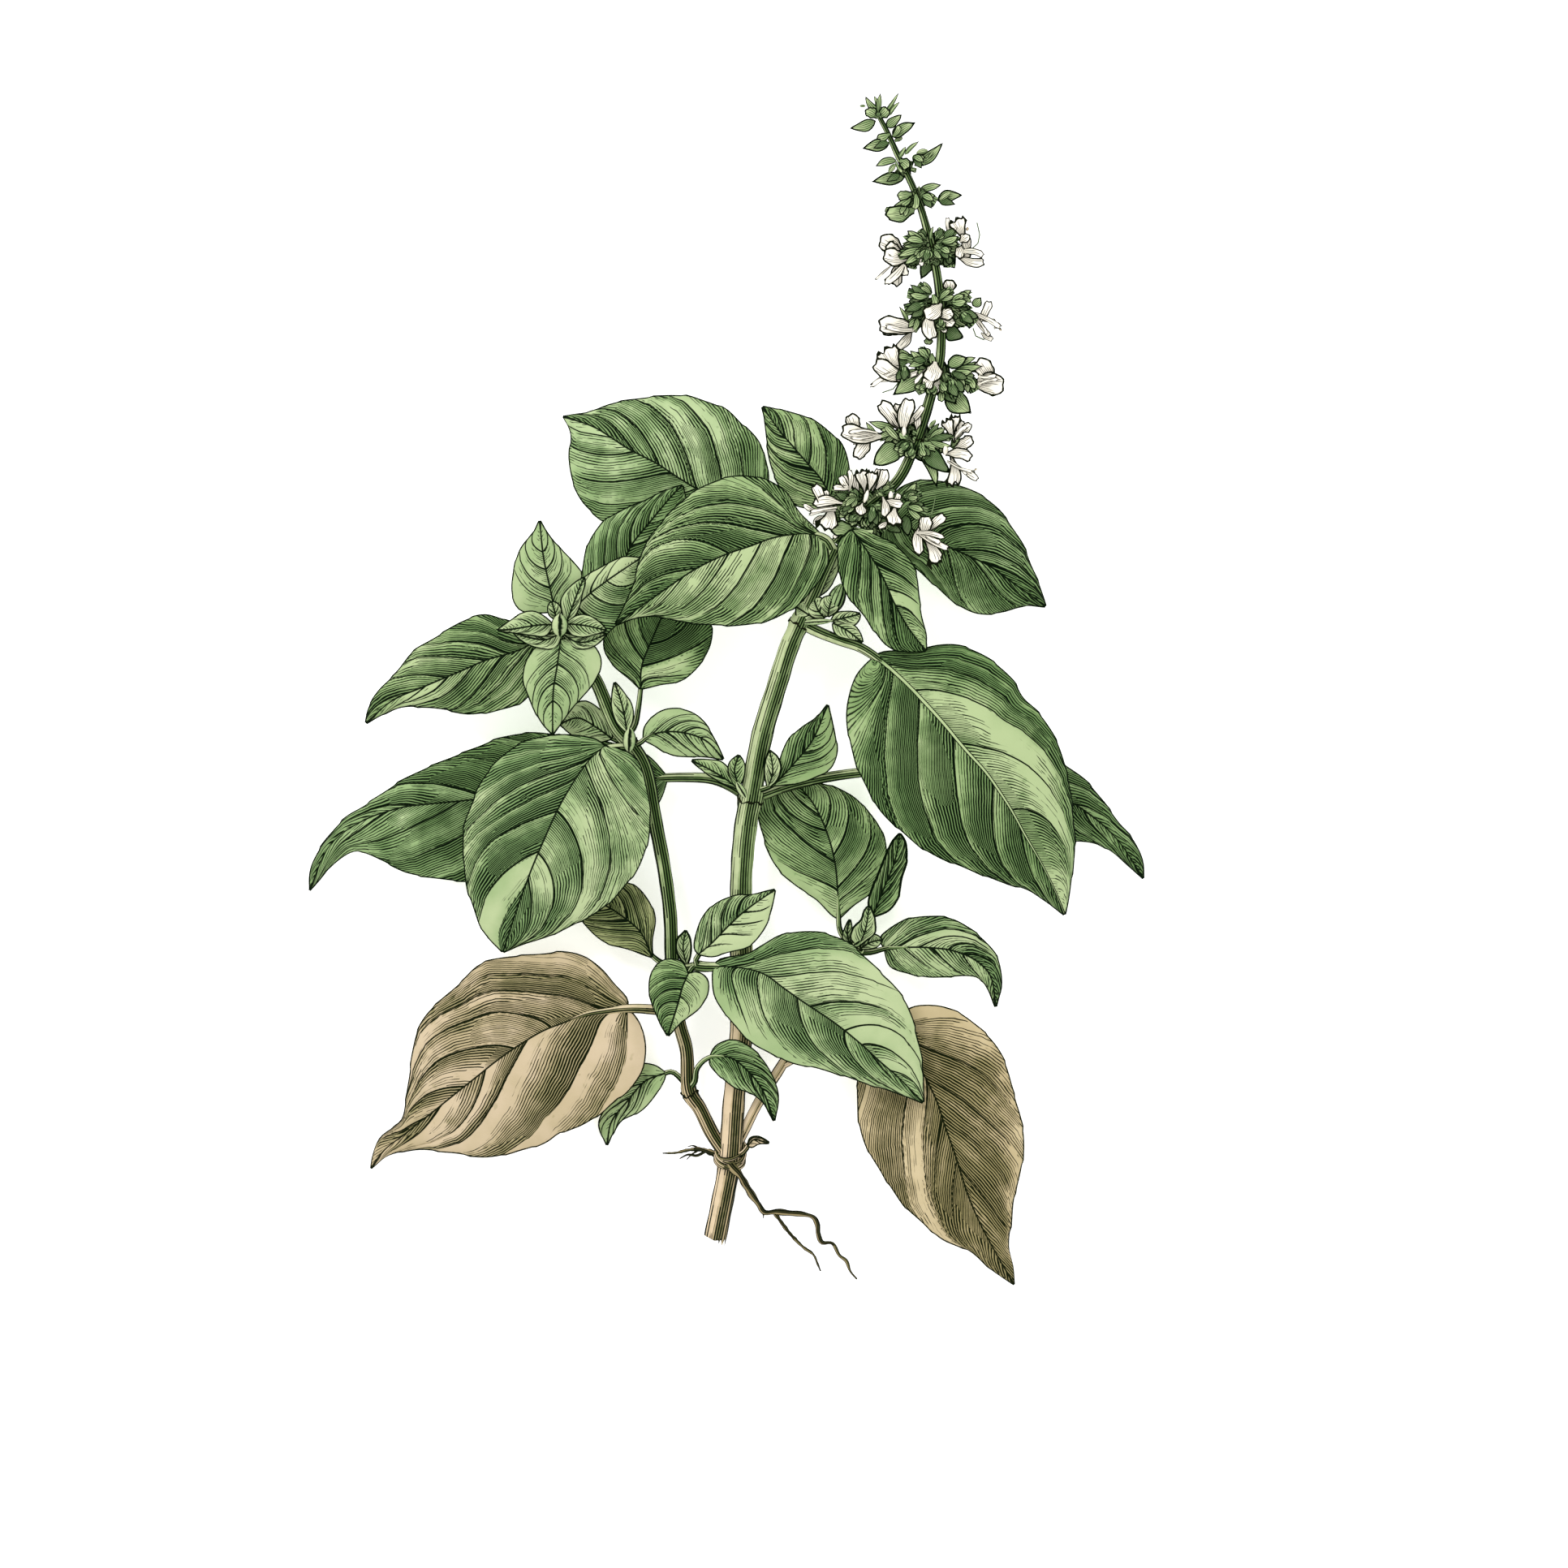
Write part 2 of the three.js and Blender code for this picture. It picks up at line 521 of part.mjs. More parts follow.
      [71.5, -9], [73.5, -13], [74.7, -17], [76, -23], [76.7, -30], [77, -35], [76.4, -41], [75.6, -47],
    ],
    right: [
      [31, 5.4], [29, 3], [27.5, -1], [26.8, -6], [27.5, -11], [29.3, -17.5], [31.5, -22],
      [34, -26.5], [37.5, -30],
      [43.5, -35], [47, -37], [52, -39], [57, -41], [62, -42.8], [67, -44.3], [70.5, -46.5],
    ],
  },
  leaf_right_lower: {
    carrier: 'right_branch', colour: colours.midGreen, droop: [1.4, 1.4],
    stalk: [[29.4, -57.8, 9.9], [26.8, -56, 10.3], [25.2, -53.5, 10.8]],
    rib: [
      [24.9, -51, 11.2], [24.7, -45, 12.2], [24, -38, 12.4], [22, -31, 11.4], [19, -25, 10],
      [15, -20.5, 8.8],
    ],
    left: [[23.4, -50], [20, -46.5], [15, -43], [11, -39], [8.5, -33], [7.4, -27], [10, -22.5]],
    right: [[28, -48], [32, -45], [34, -41], [35.3, -36], [34, -31], [31, -27], [28, -24], [22, -21.4]],
  },
  folded_leaf_right: {
    carrier: 'right_branch', colour: colours.midGreen, droop: [-1.6, -1.6],
    stalk: [[31.1, -55.2, 10.5], [31.6, -53.2, 11.6]],
    rib: [[32.4, -50.6, 12.6], [35, -44, 14.8], [37.4, -38, 15.2], [38.5, -32, 14.8]],
    left: [[31.6, -47.5], [33, -43], [35.5, -37], [36.8, -34]],
    right: [[36, -49], [38, -46], [38.7, -42], [39.8, -38], [39.6, -34]],
  },
  leaf_low_right_side: {
    carrier: 'right_branch', colour: colours.freshGreen, droop: [1.6, 1.4],
    stalk: [[29, -58.4, 9.8], [32, -58.4, 9.4]],
    rib: [
      [35, -57.5, 9.8], [43, -57.3, 9.8], [50, -58, 9.4], [55, -60, 8.6], [58.5, -63.5, 7.2],
      [59.8, -70.5, 4.4],
    ],
    left: [[34, -55.6], [36, -53.5], [40, -51.3], [45, -50.7], [50, -51.2], [54, -53.5],
      [57.5, -56.5], [60, -60], [60.8, -65]],
    right: [[36.4, -61.4], [41, -63], [45, -63.7], [50, -63.5], [56, -63.7], [58.2, -66.4]],
  },
  brown_leaf_right: {
    carrier: 'right_branch', colour: colours.brown, droop: [2.2, 2.2],
    stalk: [[12.6, -83, 6.4], [18, -80.2, 5.9], [27, -77, 6.8], [34.6, -75, 8]],
    rib: [
      [37, -74.8, 8.4], [40.5, -79, 8.8], [43.5, -85, 8.8], [46.5, -91, 8.4], [48.5, -97, 7.8],
      [51, -104, 6.8],
      [53.5, -112, 5.4], [56.5, -119, 3.6], [60, -125.5, 1.9], [63.9, -132.3, 0.3],
    ],
    left: [
      [40.5, -71], [46, -70.3], [51, -71.7], [55, -74.5], [59.5, -79], [62, -84], [63.3, -89],
      [65, -95],
      [65.8, -100], [65.3, -106], [63.8, -112], [63, -118], [62.4, -124], [63.5, -128],
    ],
    right: [
      [33.4, -78], [30.5, -82], [29.3, -87], [29.3, -92], [30, -98], [32, -103], [34.5, -107],
      [37, -111],
      [40, -115], [44, -118.5], [48, -122], [54, -124.5], [60, -129.6],
    ],
  },
  front_leaf_light: {
    carrier: 'front_shoot', colour: colours.freshGreen, droop: [3, 2.6],
    stalk: [[-6.6, -61.4, 15.1], [-4.6, -61.6, 16.7]],
    rib: [
      [-2.8, -61.5, 17.8], [3, -61.8, 19.2], [8, -63, 20.2], [13, -66.5, 20.8], [18, -70, 20.8],
      [24, -74, 20.2],
      [29, -78, 18.8], [34, -82.5, 16.8], [39, -87, 14.4], [43.6, -91.7, 12],
    ],
    left: [
      [-1.6, -60.2], [5, -58.8], [8, -57], [12, -54.8], [17, -54], [22, -54.5], [27, -56.5],
      [31, -60], [34, -63],
      [37, -66], [40, -70.5], [42, -77], [43.2, -83],
    ],
    right: [
      [-3, -64], [-2.5, -68], [0, -72], [3, -75.5], [6, -78.5], [10, -80.5], [14, -82.5],
      [20, -83.8], [26, -85.5],
      [32, -87.5], [38, -89.4],
    ],
  },
  front_leaf_up: {
    carrier: 'front_shoot', colour: colours.freshGreen, droop: [0.8, 0.8],
    stalk: [[-6.5, -61, 16], [-6.7, -59.9, 17.6]],
    rib: [[-6.2, -58.8, 18.5], [-3.5, -56.6, 19.2], [1, -52, 20], [5, -48.5, 20], [10.8, -44.5, 19]],
    left: [[-7, -57.5], [-6.5, -54], [-5, -50.5], [-2, -47.5], [2, -46], [6, -45.7]],
    right: [[-3.2, -59.2], [0, -58.3], [5, -56.8], [8, -53.5], [9.6, -49.6]],
  },
  front_leaf_down: {
    carrier: 'front_shoot', colour: colours.midGreen, droop: [1, 1],
    stalk: [[-7.1, -61.5, 14.4], [-8, -62.4, 16.2]],
    rib: [[-8.4, -63, 16.7], [-9.7, -66, 16.9], [-10.8, -70, 16], [-13, -76.9, 13.8]],
    left: [[-6.4, -62.8], [-4.4, -64.2], [-4.2, -67], [-6, -70.5], [-10, -73.6]],
    right: [[-10, -60.4], [-13.8, -60.2], [-16.5, -63], [-16.8, -68], [-15, -73]],
  },
  lower_node_leaf_left: {
    carrier: 'left_branch', colour: colours.freshGreen, droop: [0.7, 0.4],
    stalk: [[-8.2, -89, 7], [-10, -86.6, 7], [-12, -85, 6.4]],
    rib: [[-13.4, -85.2, 6], [-18, -87, 4.8], [-22, -91.5, 3.4], [-25.5, -96, 2.2],
      [-26.6, -101.3, 1.2]],
    left: [[-14, -87], [-15.5, -89.5], [-18, -92.5], [-20, -94], [-23.5, -95.7], [-25.3, -98.4]],
    right: [[-16, -83.6], [-19.6, -83.4], [-23, -86], [-25, -91], [-27, -93.5], [-28.2, -96.5]],
  },
  lower_node_leaf_right: {
    carrier: 'left_branch', colour: colours.deepGreen, droop: [1, 1],
    stalk: [[-8.1, -88.6, 7.2], [-7, -87, 9.4], [-6.6, -84.4, 11.2], [-5, -82.4, 12.4]],
    rib: [[-3.6, -81.5, 13], [1, -81.8, 13.8], [5, -85, 13.4], [8, -89, 12.2], [10.6, -95.8, 10]],
    left: [[-2.6, -79.6], [-1, -78.5], [2, -78], [5, -79.5], [8, -82.5], [10, -86], [11.3, -90]],
    right: [[-3.6, -83.2], [-1, -86], [2, -88.3], [5, -89.2], [8.5, -91.8]],
  },
  withered_bract: {
    carrier: 'main_stem', colour: colours.tan, droop: [-0.5, 0.5],
    stalk: [[1.4, -104.3, 5.4], [4, -102.6, 6.4]],
    rib: [[4.7, -101.4, 6.8], [6.2, -99.9, 7], [7.8, -100.3, 6.8], [9.5, -100.7, 6.2]],
    left: [[5.4, -99.8], [7, -99.5]],
    right: [[5.6, -101.6], [7.2, -100.8]],
  },
};

// The blade with its stalk, which runs on under the start of the midrib.
function leafSolid({ stalk, rib, ...spread }) {
  const radius = THREE.MathUtils.clamp(
    curveThrough(rib).getLength() / bladeLengthPerStalkRadius,
    ...stalkRadiusRange,
  );
  const path = [...stalk, ...rib.slice(0, 2)];
  return blade({ rib, ...spread }).add(rod(path, [radius, radius * 0.7], 5));
}

function cutBack(solid, carrier) {
  const cut = solid.subtract(swollen[carrier]);
  return carrier === 'main_stem' ? cut.subtract(swollen.flower_spike_stem) : cut;
}

for (const [name, leaf] of Object.entries(leaves)) {
  let solid = leafSolid(leaf);
  if (name === 'middle_node_leaf_right') solid = solid.add(blade(foldedBudLeaf));
  sprig.add(toMesh(name, cutBack(solid, leaf.carrier), leaf.colour));
}

// ---------- young shoots in the axils, each grown as one piece ----------
const shoots = {
  side_shoot_bud: {
    carrier: 'left_branch', colour: colours.freshGreen,
    lobes: [[[-37.4, 12.6, 23.6], [-37.4, 16.6, 24], 2], [[-37.9, 15, 23.4], [-38.2, 18.8, 22.8], 1.2]],
    leaflets: [
      {
        rib: [[-38, 14.2, 22.8], [-44, 14.8, 23.2], [-50.5, 13, 22.2]], droop: [0.6, 0.6],
        left: [[-42, 12], [-46, 12]], right: [[-41, 15.8], [-44, 16.8], [-47.5, 15.6]],
      },
      {
        rib: [[-36.6, 14.2, 22.8], [-31.5, 14.4, 23.2], [-27.2, 13.1, 22.6]], droop: [0.6, 0.6],
        left: [[-34.4, 15.8], [-31.5, 16], [-29, 14.9]], right: [[-34.5, 12.2], [-31, 11.9],
          [-29, 12.2]],
      },
    ],
  },
  left_axil_bud: {
    carrier: 'left_branch', colour: colours.freshGreen,
    lobes: [[[-21.6, -14, 17.6], [-21.4, -8.6, 17.8], 1.5]],
    leaflets: [{
      rib: [[-22, -9.8, 17.8], [-23, -4, 18.2], [-24.8, 1.5, 17.6]], droop: [0.5, 0.5],
      left: [[-24.4, -7], [-25.3, -3]], right: [[-20.9, -6.8], [-21, -4], [-22.6, -1.2]],
    }],
  },
  middle_node_leaves_left: {
    carrier: 'main_stem', colour: colours.midGreen,
    lobes: [[[4.4, -24.2, 17], [2.2, -20.6, 17.6], 0.9]],
    leaflets: [
      {
        rib: [[3, -22.2, 17.3], [-2, -18.8, 17.9], [-7.7, -15.8, 17.3]], droop: [0.5, 0.5],
        left: [[-1, -20.6], [-5, -18]], right: [[1, -18.6], [-1, -16.4], [-4, -15.8]],
      },
      {
        rib: [[2.8, -21.6, 17.4], [1.8, -18, 18], [2.8, -14.6, 17.6]], droop: [0.3, 0.3],
        left: [[0.9, -19.4], [0.7, -16.6]], right: [[3.8, -19.4], [3.9, -16.6]],
      },
    ],
  },
  upper_node_shoot: {
    carrier: 'main_stem', colour: colours.midGreen,
    lobes: [
      [[16.9, 14.9, 24.6], [24, 15.3, 26.7], 0.7], [[21, 17.6, 23], [22.6, 21.4, 23.6], 2],
      [[22.4, 20, 23.4], [26.2, 24, 24], 1.7], [[20.9, 19.4, 23], [21.4, 14.6, 26.2], 1.1],
    ],
    leaflets: [
      {
        rib: [[23, 15.4, 26.5], [26.5, 16.3, 26.8], [29.8, 16.2, 26.4]], droop: [0.4, 0.4],
        left: [[24.8, 17], [28, 17.4]], right: [[25.4, 14.9], [28.6, 14.8]],
      },
      {
        rib: [[22.8, 15.1, 26.4], [27, 13, 26.8], [30.5, 10.4, 26.6]], droop: [0.4, 0.4],
        left: [[25.6, 14.7], [29, 13]], right: [[24.4, 12.9], [27.8, 11.2]],
      },
    ],
  },
  right_axil_bracts: {
    carrier: 'right_branch', colour: colours.freshGreen,
    lobes: [[[28.2, -56.8, 12.9], [29.8, -55.6, 13.5], 0.9]],
    leaflets: [
      {
        rib: [[28.9, -56.4, 13.3], [31.2, -53, 14.6], [31.7, -48.8, 15.2]], droop: [-0.6, -0.6],
        left: [[29.4, -53.8], [30.4, -50.8]], right: [[31.4, -55.8], [32.9, -53.4], [32.9, -50.8]],
      },
      {
        rib: [[28.6, -56.4, 13.2], [26.6, -54, 13.3], [27.2, -51.3, 13.1]], droop: [0.2, 0.2],
        left: [[26.2, -55.6], [25.8, -53.4]], right: [[28, -54.4], [27.9, -52.8]],
      },
    ],
  },
};

function shootSolid({ lobes, leaflets }) {
  return joined([...lobes.map(([from, to, radius]) => lobe(from, to, radius)), ...leaflets.map(blade)]);
}

for (const [name, shoot] of Object.entries(shoots)) {
  sprig.add(toMesh(name, cutBack(shootSolid(shoot), shoot.carrier), shoot.colour));
}

// ---------- flower spike ----------
// One whorl of calyxes stands at each step of the spike: six round the stem, with two bracts.
const whorls = {
  whorl_1: { along: 0.101, size: 1.05 },
  whorl_2: { along: 0.288, size: 1 },
  whorl_3: { along: 0.435, size: 1 },
  whorl_4: { along: 0.577, size: 1 },
  whorl_5: { along: 0.727, size: 0.9 },
  bud_whorl_1: { along: 0.843, size: 0.85 },
  bud_whorl_2: { along: 0.917, size: 0.72 },
};
const whorlLobes = 6;
const spikeCurve = curveThrough(stems.flower_spike_stem.path);

// A point of a whorl: across the stem, up from the table and ahead along the stem, from the whorl's middle.
function whorlPlaces(along) {
  const centre = spikeCurve.getPointAt(along);
  const ahead = spikeCurve.getTangentAt(along);
  const across = new THREE.Vector3(ahead.y, -ahead.x, 0).normalize();
  const up = new THREE.Vector3().crossVectors(across, ahead);
  return (right, high, far) => centre.clone()
    .addScaledVector(across, right)
    .addScaledVector(up, high)
    .addScaledVector(ahead, far)
    .toArray();
}

function whorlSolid({ along, size }) {
  const at = whorlPlaces(along);
  const pieces = [lobe(at(0, 0, -2.6), at(0, 0, 2.6), collarRadius * size, 7, 4)];
  for (let k = 0; k < whorlLobes; k += 1) {
    const right = Math.cos((2 * Math.PI * k) / whorlLobes);
    const high = Math.sin((2 * Math.PI * k) / whorlLobes);
    const reach = calyxReach * size;
    pieces.push(lobe(at(right, high, 0.2), at(right * reach, high * reach, -0.6), calyxRadius * size));
  }
  for (const side of [-1, 1]) {
    const reach = bractReach * size * Math.SQRT1_2;
    pieces.push(lobe(at(side, 0, -0.8), at(side * reach, 0, -reach), bractRadius * size));
  }
  return joined(pieces).subtract(swollen.flower_spike_stem);
}

for (const [name, whorl] of Object.entries(whorls)) {
  const colour = name.startsWith('bud') ? colours.freshGreen : colours.midGreen;
  sprig.add(toMesh(name, whorlSolid(whorl), colour));
}

// The closed tip: a last small whorl and the bud cluster at the end of the stem.
const tipWhorl = { along: 0.98, size: 0.66 };
const tipBuds = [
  [[34.6, 124.6, 3.8], [31.8, 130.4, 3.8], 1.6], [[34.6, 124.6, 3.8], [36.6, 129.4, 3.8], 1.5],
  [[33.6, 126, 3.8], [34.1, 132.5, 3.4], 1.1], [[35.4, 125.4, 3.6], [28.6, 124.8, 3], 1.3],
  [[36.4, 123, 4.4], [33.8, 127.6, 4], 1.6],
];
const tipSolid = joined(tipBuds.map(([from, to, radius]) => lobe(from, to, radius)))
  .subtract(swollen.flower_spike_stem)
  .add(whorlSolid(tipWhorl));
sprig.add(toMesh('spike_tip_buds', tipSolid, colours.freshGreen));

// The two side flowers of each open whorl: a thin tube that widens to a mouth.
const corollas = {
  corolla_1_left: [[23.8, 40.2, 27.2], [-0.95, -0.05, 0.3]],
  corolla_1_right: [[39.2, 38.2, 25], [0.9, -0.42, 0.1]],
  corolla_2_left: [[35, 55.6, 23], [-0.99, 0.12, 0.02]],
  corolla_2_right: [[49.4, 55.2, 23], [0.95, 0.3, 0.1]],
  corolla_3_left: [[39.3, 70.4, 19.6], [-0.92, 0.38, 0.05]],
  corolla_3_right: [[53.8, 69.4, 19.6], [0.99, -0.1, 0.05]],
  corolla_4_left: [[40.2, 82.2, 15.4], [-0.97, -0.22, 0.05]],
  corolla_4_right: [[54.8, 83, 15.4], [0.98, -0.16, 0.05]],
  corolla_5_left: [[38.7, 97, 11.1], [-0.9, -0.3, 0.05]],
  corolla_5_right: [[51.9, 98.6, 11.1], [0.96, 0.26, 0.05]],
};

for (const [name, [base, way]] of Object.entries(corollas)) {
  const profile = [
    [0, 0], [corollaTubeRadius, 0], [corollaTubeRadius * 1.2, corollaLength * 0.45],
    [corollaMouthRadius, corollaLength * 0.92], [corollaMouthRadius * 0.9, corollaLength],
    [0, corollaLength * 0.75],
  ].map(([r, y]) => new THREE.Vector2(r, y));
  const shape = new THREE.LatheGeometry(profile, 7);
  const turn = new THREE.Quaternion().setFromUnitVectors(
    new THREE.Vector3(0, 1, 0),
    new THREE.Vector3(...way).normalize(),
  );
  shape.applyQuaternion(turn);
  shape.translate(...base);
  sprig.add(toMesh(name, toSolid(shape), colours.petal, 0.55));
}

// ---------- roots from the lowest joint ----------
const longRootPath = [
  [1.6, -105.4, 4.4], [3.4, -109.1, 2.8], [5.3, -112, 1.6], [7.1, -114.4, 1], [8.4, -116.2, 0.8],
  [14.1, -116.4, 0.7],
  [19.4, -117.4, 0.7], [20.4, -120, 0.7], [21.2, -122.9, 0.65], [23.5, -123.1, 0.6],
  [25.1, -125.8, 0.6],
  [26.6, -127, 0.6], [27.5, -129.3, 0.6], [29, -131.1, 0.6],
];
const sideRootPath = [
  [10.8, -116.5, 0.7], [13.9, -120.7, 0.6], [17.1, -124, 0.6], [19.3, -125.6, 0.6], [20.4, -128.9, 0.6],
];
const leftRootletPath = [[-0.6, -104, 4.4], [-3.5, -102.9, 4], [-7.9, -102.5, 2.4], [-14, -103, 1]];

const sideRoot = rod(sideRootPath, [0.5, 0.4], 6);
const longRoot = rod(longRootPath, [0.8, 0.75, 0.7, 0.6, 0.5, 0.45], 6).add(sideRoot);
const leftRootlet = rod(leftRootletPath, [0.9, 0.6, 0.4], 6);
sprig.add(toMesh('long_root', longRoot.subtract(swollen.main_stem), colours.root, 0.85));
const freeRootlet = leftRootlet.subtract(swollen.main_stem).subtract(swollen.left_branch);
sprig.add(toMesh('rootlet_left', freeRootlet, colours.root, 0.85));

export default sprig;
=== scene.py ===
# A flowering basil sprig lying on a pale table: leaves, stems, a flower spike and thin roots.
# Shapes are worked out in millimetres and moved to metres when a piece is made.
import math
import bmesh
import bpy
import numpy as np
from mathutils import Matrix, Vector


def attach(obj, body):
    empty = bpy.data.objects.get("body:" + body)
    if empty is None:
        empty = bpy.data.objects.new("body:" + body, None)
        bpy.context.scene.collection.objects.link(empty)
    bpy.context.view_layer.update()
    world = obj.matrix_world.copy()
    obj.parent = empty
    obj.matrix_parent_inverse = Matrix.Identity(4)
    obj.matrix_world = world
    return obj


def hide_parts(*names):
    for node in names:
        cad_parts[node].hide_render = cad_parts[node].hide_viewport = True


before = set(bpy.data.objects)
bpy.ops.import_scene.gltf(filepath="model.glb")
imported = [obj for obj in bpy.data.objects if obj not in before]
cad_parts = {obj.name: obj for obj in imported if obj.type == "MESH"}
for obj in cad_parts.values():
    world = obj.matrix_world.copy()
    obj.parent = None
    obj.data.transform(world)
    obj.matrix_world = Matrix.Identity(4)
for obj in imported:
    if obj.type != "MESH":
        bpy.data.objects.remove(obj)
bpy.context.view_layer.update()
millimetre = 0.001
fullTurn = 2 * math.pi
print("frame loaded:", len(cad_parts), "nodes")


# The stage: a camera that looks straight down, two soft lamps and a pale floor.
stage = dict(
    centre=(12.78, -21.06),   # the spot under the camera, mm
    lensHeight=7743,          # above the table, mm
    lens=800,
    sensor=36,
    farthest=20,              # the camera sees this far, m
    skyStrength=1.1,
    keyLight=dict(place=(-420, 520, 900), size=420, power=6.8),
    fillLight=dict(place=(620, -420, 760), size=700, power=2.0),
    floorSize=3000,
    floorColour=(0.93, 0.93, 0.92, 1),
    floorGlow=0.5,            # the table is lit a little from below
    floorRoughness=0.9,
    floorGloss=0.1,
)


def addCamera(plan):
    data = bpy.data.cameras.new("camera")
    data.lens = plan["lens"]
    data.sensor_width = plan["sensor"]
    data.clip_end = plan["farthest"]
    camera = bpy.data.objects.new("camera", data)
    camera.location = Vector((*plan["centre"], plan["lensHeight"])) * millimetre
    bpy.context.scene.collection.objects.link(camera)
    bpy.context.scene.camera = camera


def addLamp(name, lamp):
    data = bpy.data.lights.new(name, "AREA")
    data.shape = "DISK"
    data.size = lamp["size"] * millimetre
    data.energy = lamp["power"]
    light = bpy.data.objects.new(name, data)
    light.location = Vector(lamp["place"]) * millimetre
    light.rotation_euler = (-light.location).to_track_quat("-Z", "Y").to_euler()
    bpy.context.scene.collection.objects.link(light)


def addFloor(plan):
    bm = bmesh.new()
    bmesh.ops.create_grid(bm, x_segments=1, y_segments=1, size=plan["floorSize"] * millimetre)
    mesh = bpy.data.meshes.new("floor")
    bm.to_mesh(mesh)
    bm.free()
    paper = bpy.data.materials.new("tablePaper")
    paper.use_nodes = True
    coat = paper.node_tree.nodes["Principled BSDF"]
    coat.inputs["Base Color"].default_value = plan["floorColour"]
    coat.inputs["Emission Color"].default_value = plan["floorColour"]
    coat.inputs["Emission Strength"].default_value = plan["floorGlow"]
    coat.inputs["Roughness"].default_value = plan["floorRoughness"]
    coat.inputs["Specular IOR Level"].default_value = plan["floorGloss"]
    mesh.materials.append(paper)
    floor = bpy.data.objects.new("floor", mesh)
    bpy.context.scene.collection.objects.link(floor)


def makeStage(plan):
    scene = bpy.context.scene
    scene.view_settings.view_transform = "Standard"
    addCamera(plan)
    addLamp("keyLight", plan["keyLight"])
    addLamp("fillLight", plan["fillLight"])
    world = bpy.data.worlds.new("studio")
    world.use_nodes = True
    sky = world.node_tree.nodes["Background"]
    sky.inputs["Color"].default_value = (1, 1, 1, 1)
    sky.inputs["Strength"].default_value = plan["skyStrength"]
    scene.world = world
    addFloor(plan)


makeStage(stage)
print("stage ready")


# Shader helpers: a Wire is a value inside a material, a Paint is the material under construction.
lightShare = 0.62     # paint values are set for the strength of the studio light
glow = 0.32           # every paint also glows with its own colour at this emission strength: painted light that lifts its shade
bumpStrength = 1.0


class Wire:
    # A socket of a material, so that shader maths can be written as an expression.
    def __init__(self, paint, socket):
        self.paint = paint
        self.socket = socket

    def maths(self, operation, *others):
        values = dict(enumerate((self, *others)))
        return self.paint.add("ShaderNodeMath", dict(operation=operation), values)

    def __add__(self, other):
        return self.maths("ADD", other)

    def __mul__(self, other):
        return self.maths("MULTIPLY", other)

    def __sub__(self, other):
        return self.maths("SUBTRACT", other)

    def __rsub__(self, other):
        return self.paint.add("ShaderNodeMath", dict(operation="SUBTRACT"), {0: other, 1: self})

    def __truediv__(self, other):
        return self.maths("DIVIDE", other)

    def __rpow__(self, other):
        return self.paint.add("ShaderNodeMath", dict(operation="POWER"), {0: other, 1: self})

    def __abs__(self):
        return self.maths("ABSOLUTE")

    __radd__ = __add__
    __rmul__ = __mul__

    def rounded(self):
        # The whole number that lies nearest.
        return (self + 0.5).maths("FLOOR")

    def between(self, low, high):
        # 0 at low, 1 at high, smooth between them.
        return self.paint.add("ShaderNodeMapRange", dict(interpolation_type="SMOOTHSTEP"),
                              {"Value": self, "From Min": low, "From Max": high})

    def inside(self, limit, soft=0.05):
        # 1 below the limit and 0 above it, with a soft edge.
        return 1 - (self - limit).between(-soft, soft)


class Paint:
    # A material around one Principled shader.
    def __init__(self, name, roughness=0.66, specular=0.03):
        self.material = bpy.data.materials.new(name)
        self.material.use_nodes = True
        self.tree = self.material.node_tree
        self.coat = self.tree.nodes["Principled BSDF"]
        self.coat.inputs["Roughness"].default_value = roughness
        self.coat.inputs["Specular IOR Level"].default_value = specular
        self.coat.inputs["Emission Strength"].default_value = glow

    def add(self, kind, settings, values, output=0):
        node = self.tree.nodes.new(kind)
        for key, value in settings.items():
            setattr(node, key, value)
        for key, value in values.items():
            self.plug(node.inputs[key], value)
        return Wire(self, node.outputs[output])

    def plug(self, socket, value):
        if isinstance(value, Wire):
            self.tree.links.new(value.socket, socket)
        else:
            socket.default_value = value

    def read(self, name):
        return self.add("ShaderNodeAttribute", dict(attribute_name=name), {}, "Fac")

    def place(self):
        return self.add("ShaderNodeTexCoord", {}, {}, "Object")

    def lay(self):
        # How far along a tube, mm, and which way round it, as a cosine that is 1 on its right.
        spot = self.add("ShaderNodeUVMap", dict(uv_map="lay"), {})
        along, around = (self.add("ShaderNodeSeparateXYZ", {}, {0: spot}, axis) for axis in (0, 1))
        return along, around, (around * fullTurn).maths("COSINE")

    def noise(self, scale, detail, place):
        values = {"Vector": place, "Scale": scale, "Detail": detail}
        return self.add("ShaderNodeTexNoise", {}, values, "Fac")

    def chance(self, first, second=None):
        # A random value from 0 to 1 for each whole number, or for each pair of them.
        if second is None:
            return self.add("ShaderNodeTexWhiteNoise", dict(noise_dimensions="1D"), {"W": first}, "Value")
        pair = self.add("ShaderNodeCombineXYZ", {}, {0: first, 1: second})
        return self.add("ShaderNodeTexWhiteNoise", dict(noise_dimensions="2D"), {"Vector": pair}, "Value")

    def mix(self, share, first, second):
        return self.add("ShaderNodeMix", dict(data_type="RGBA"), {0: share, 6: first, 7: second}, 2)

    def washed(self, wash, tint, stops, lift=lightShare):
        # The pale colour turns to mid and then to deep as the wash grows.
        low, half, later, full = stops
        colour = self.mix(wash.between(low, half), rgb(tint["pale"], lift), rgb(tint["mid"], lift))
        return self.mix(wash.between(later, full), colour, rgb(tint["deep"], lift))

    def finish(self, colour, height, bumpDepth):
        self.plug(self.coat.inputs["Base Color"], colour)
        # The colour is emitted as well: a painted glow that keeps shaded places light.
        self.plug(self.coat.inputs["Emission Color"], colour)
        values = {"Height": height, "Distance": bumpDepth, "Strength": bumpStrength}
        self.plug(self.coat.inputs["Normal"], self.add("ShaderNodeBump", {}, values))
        return self.material


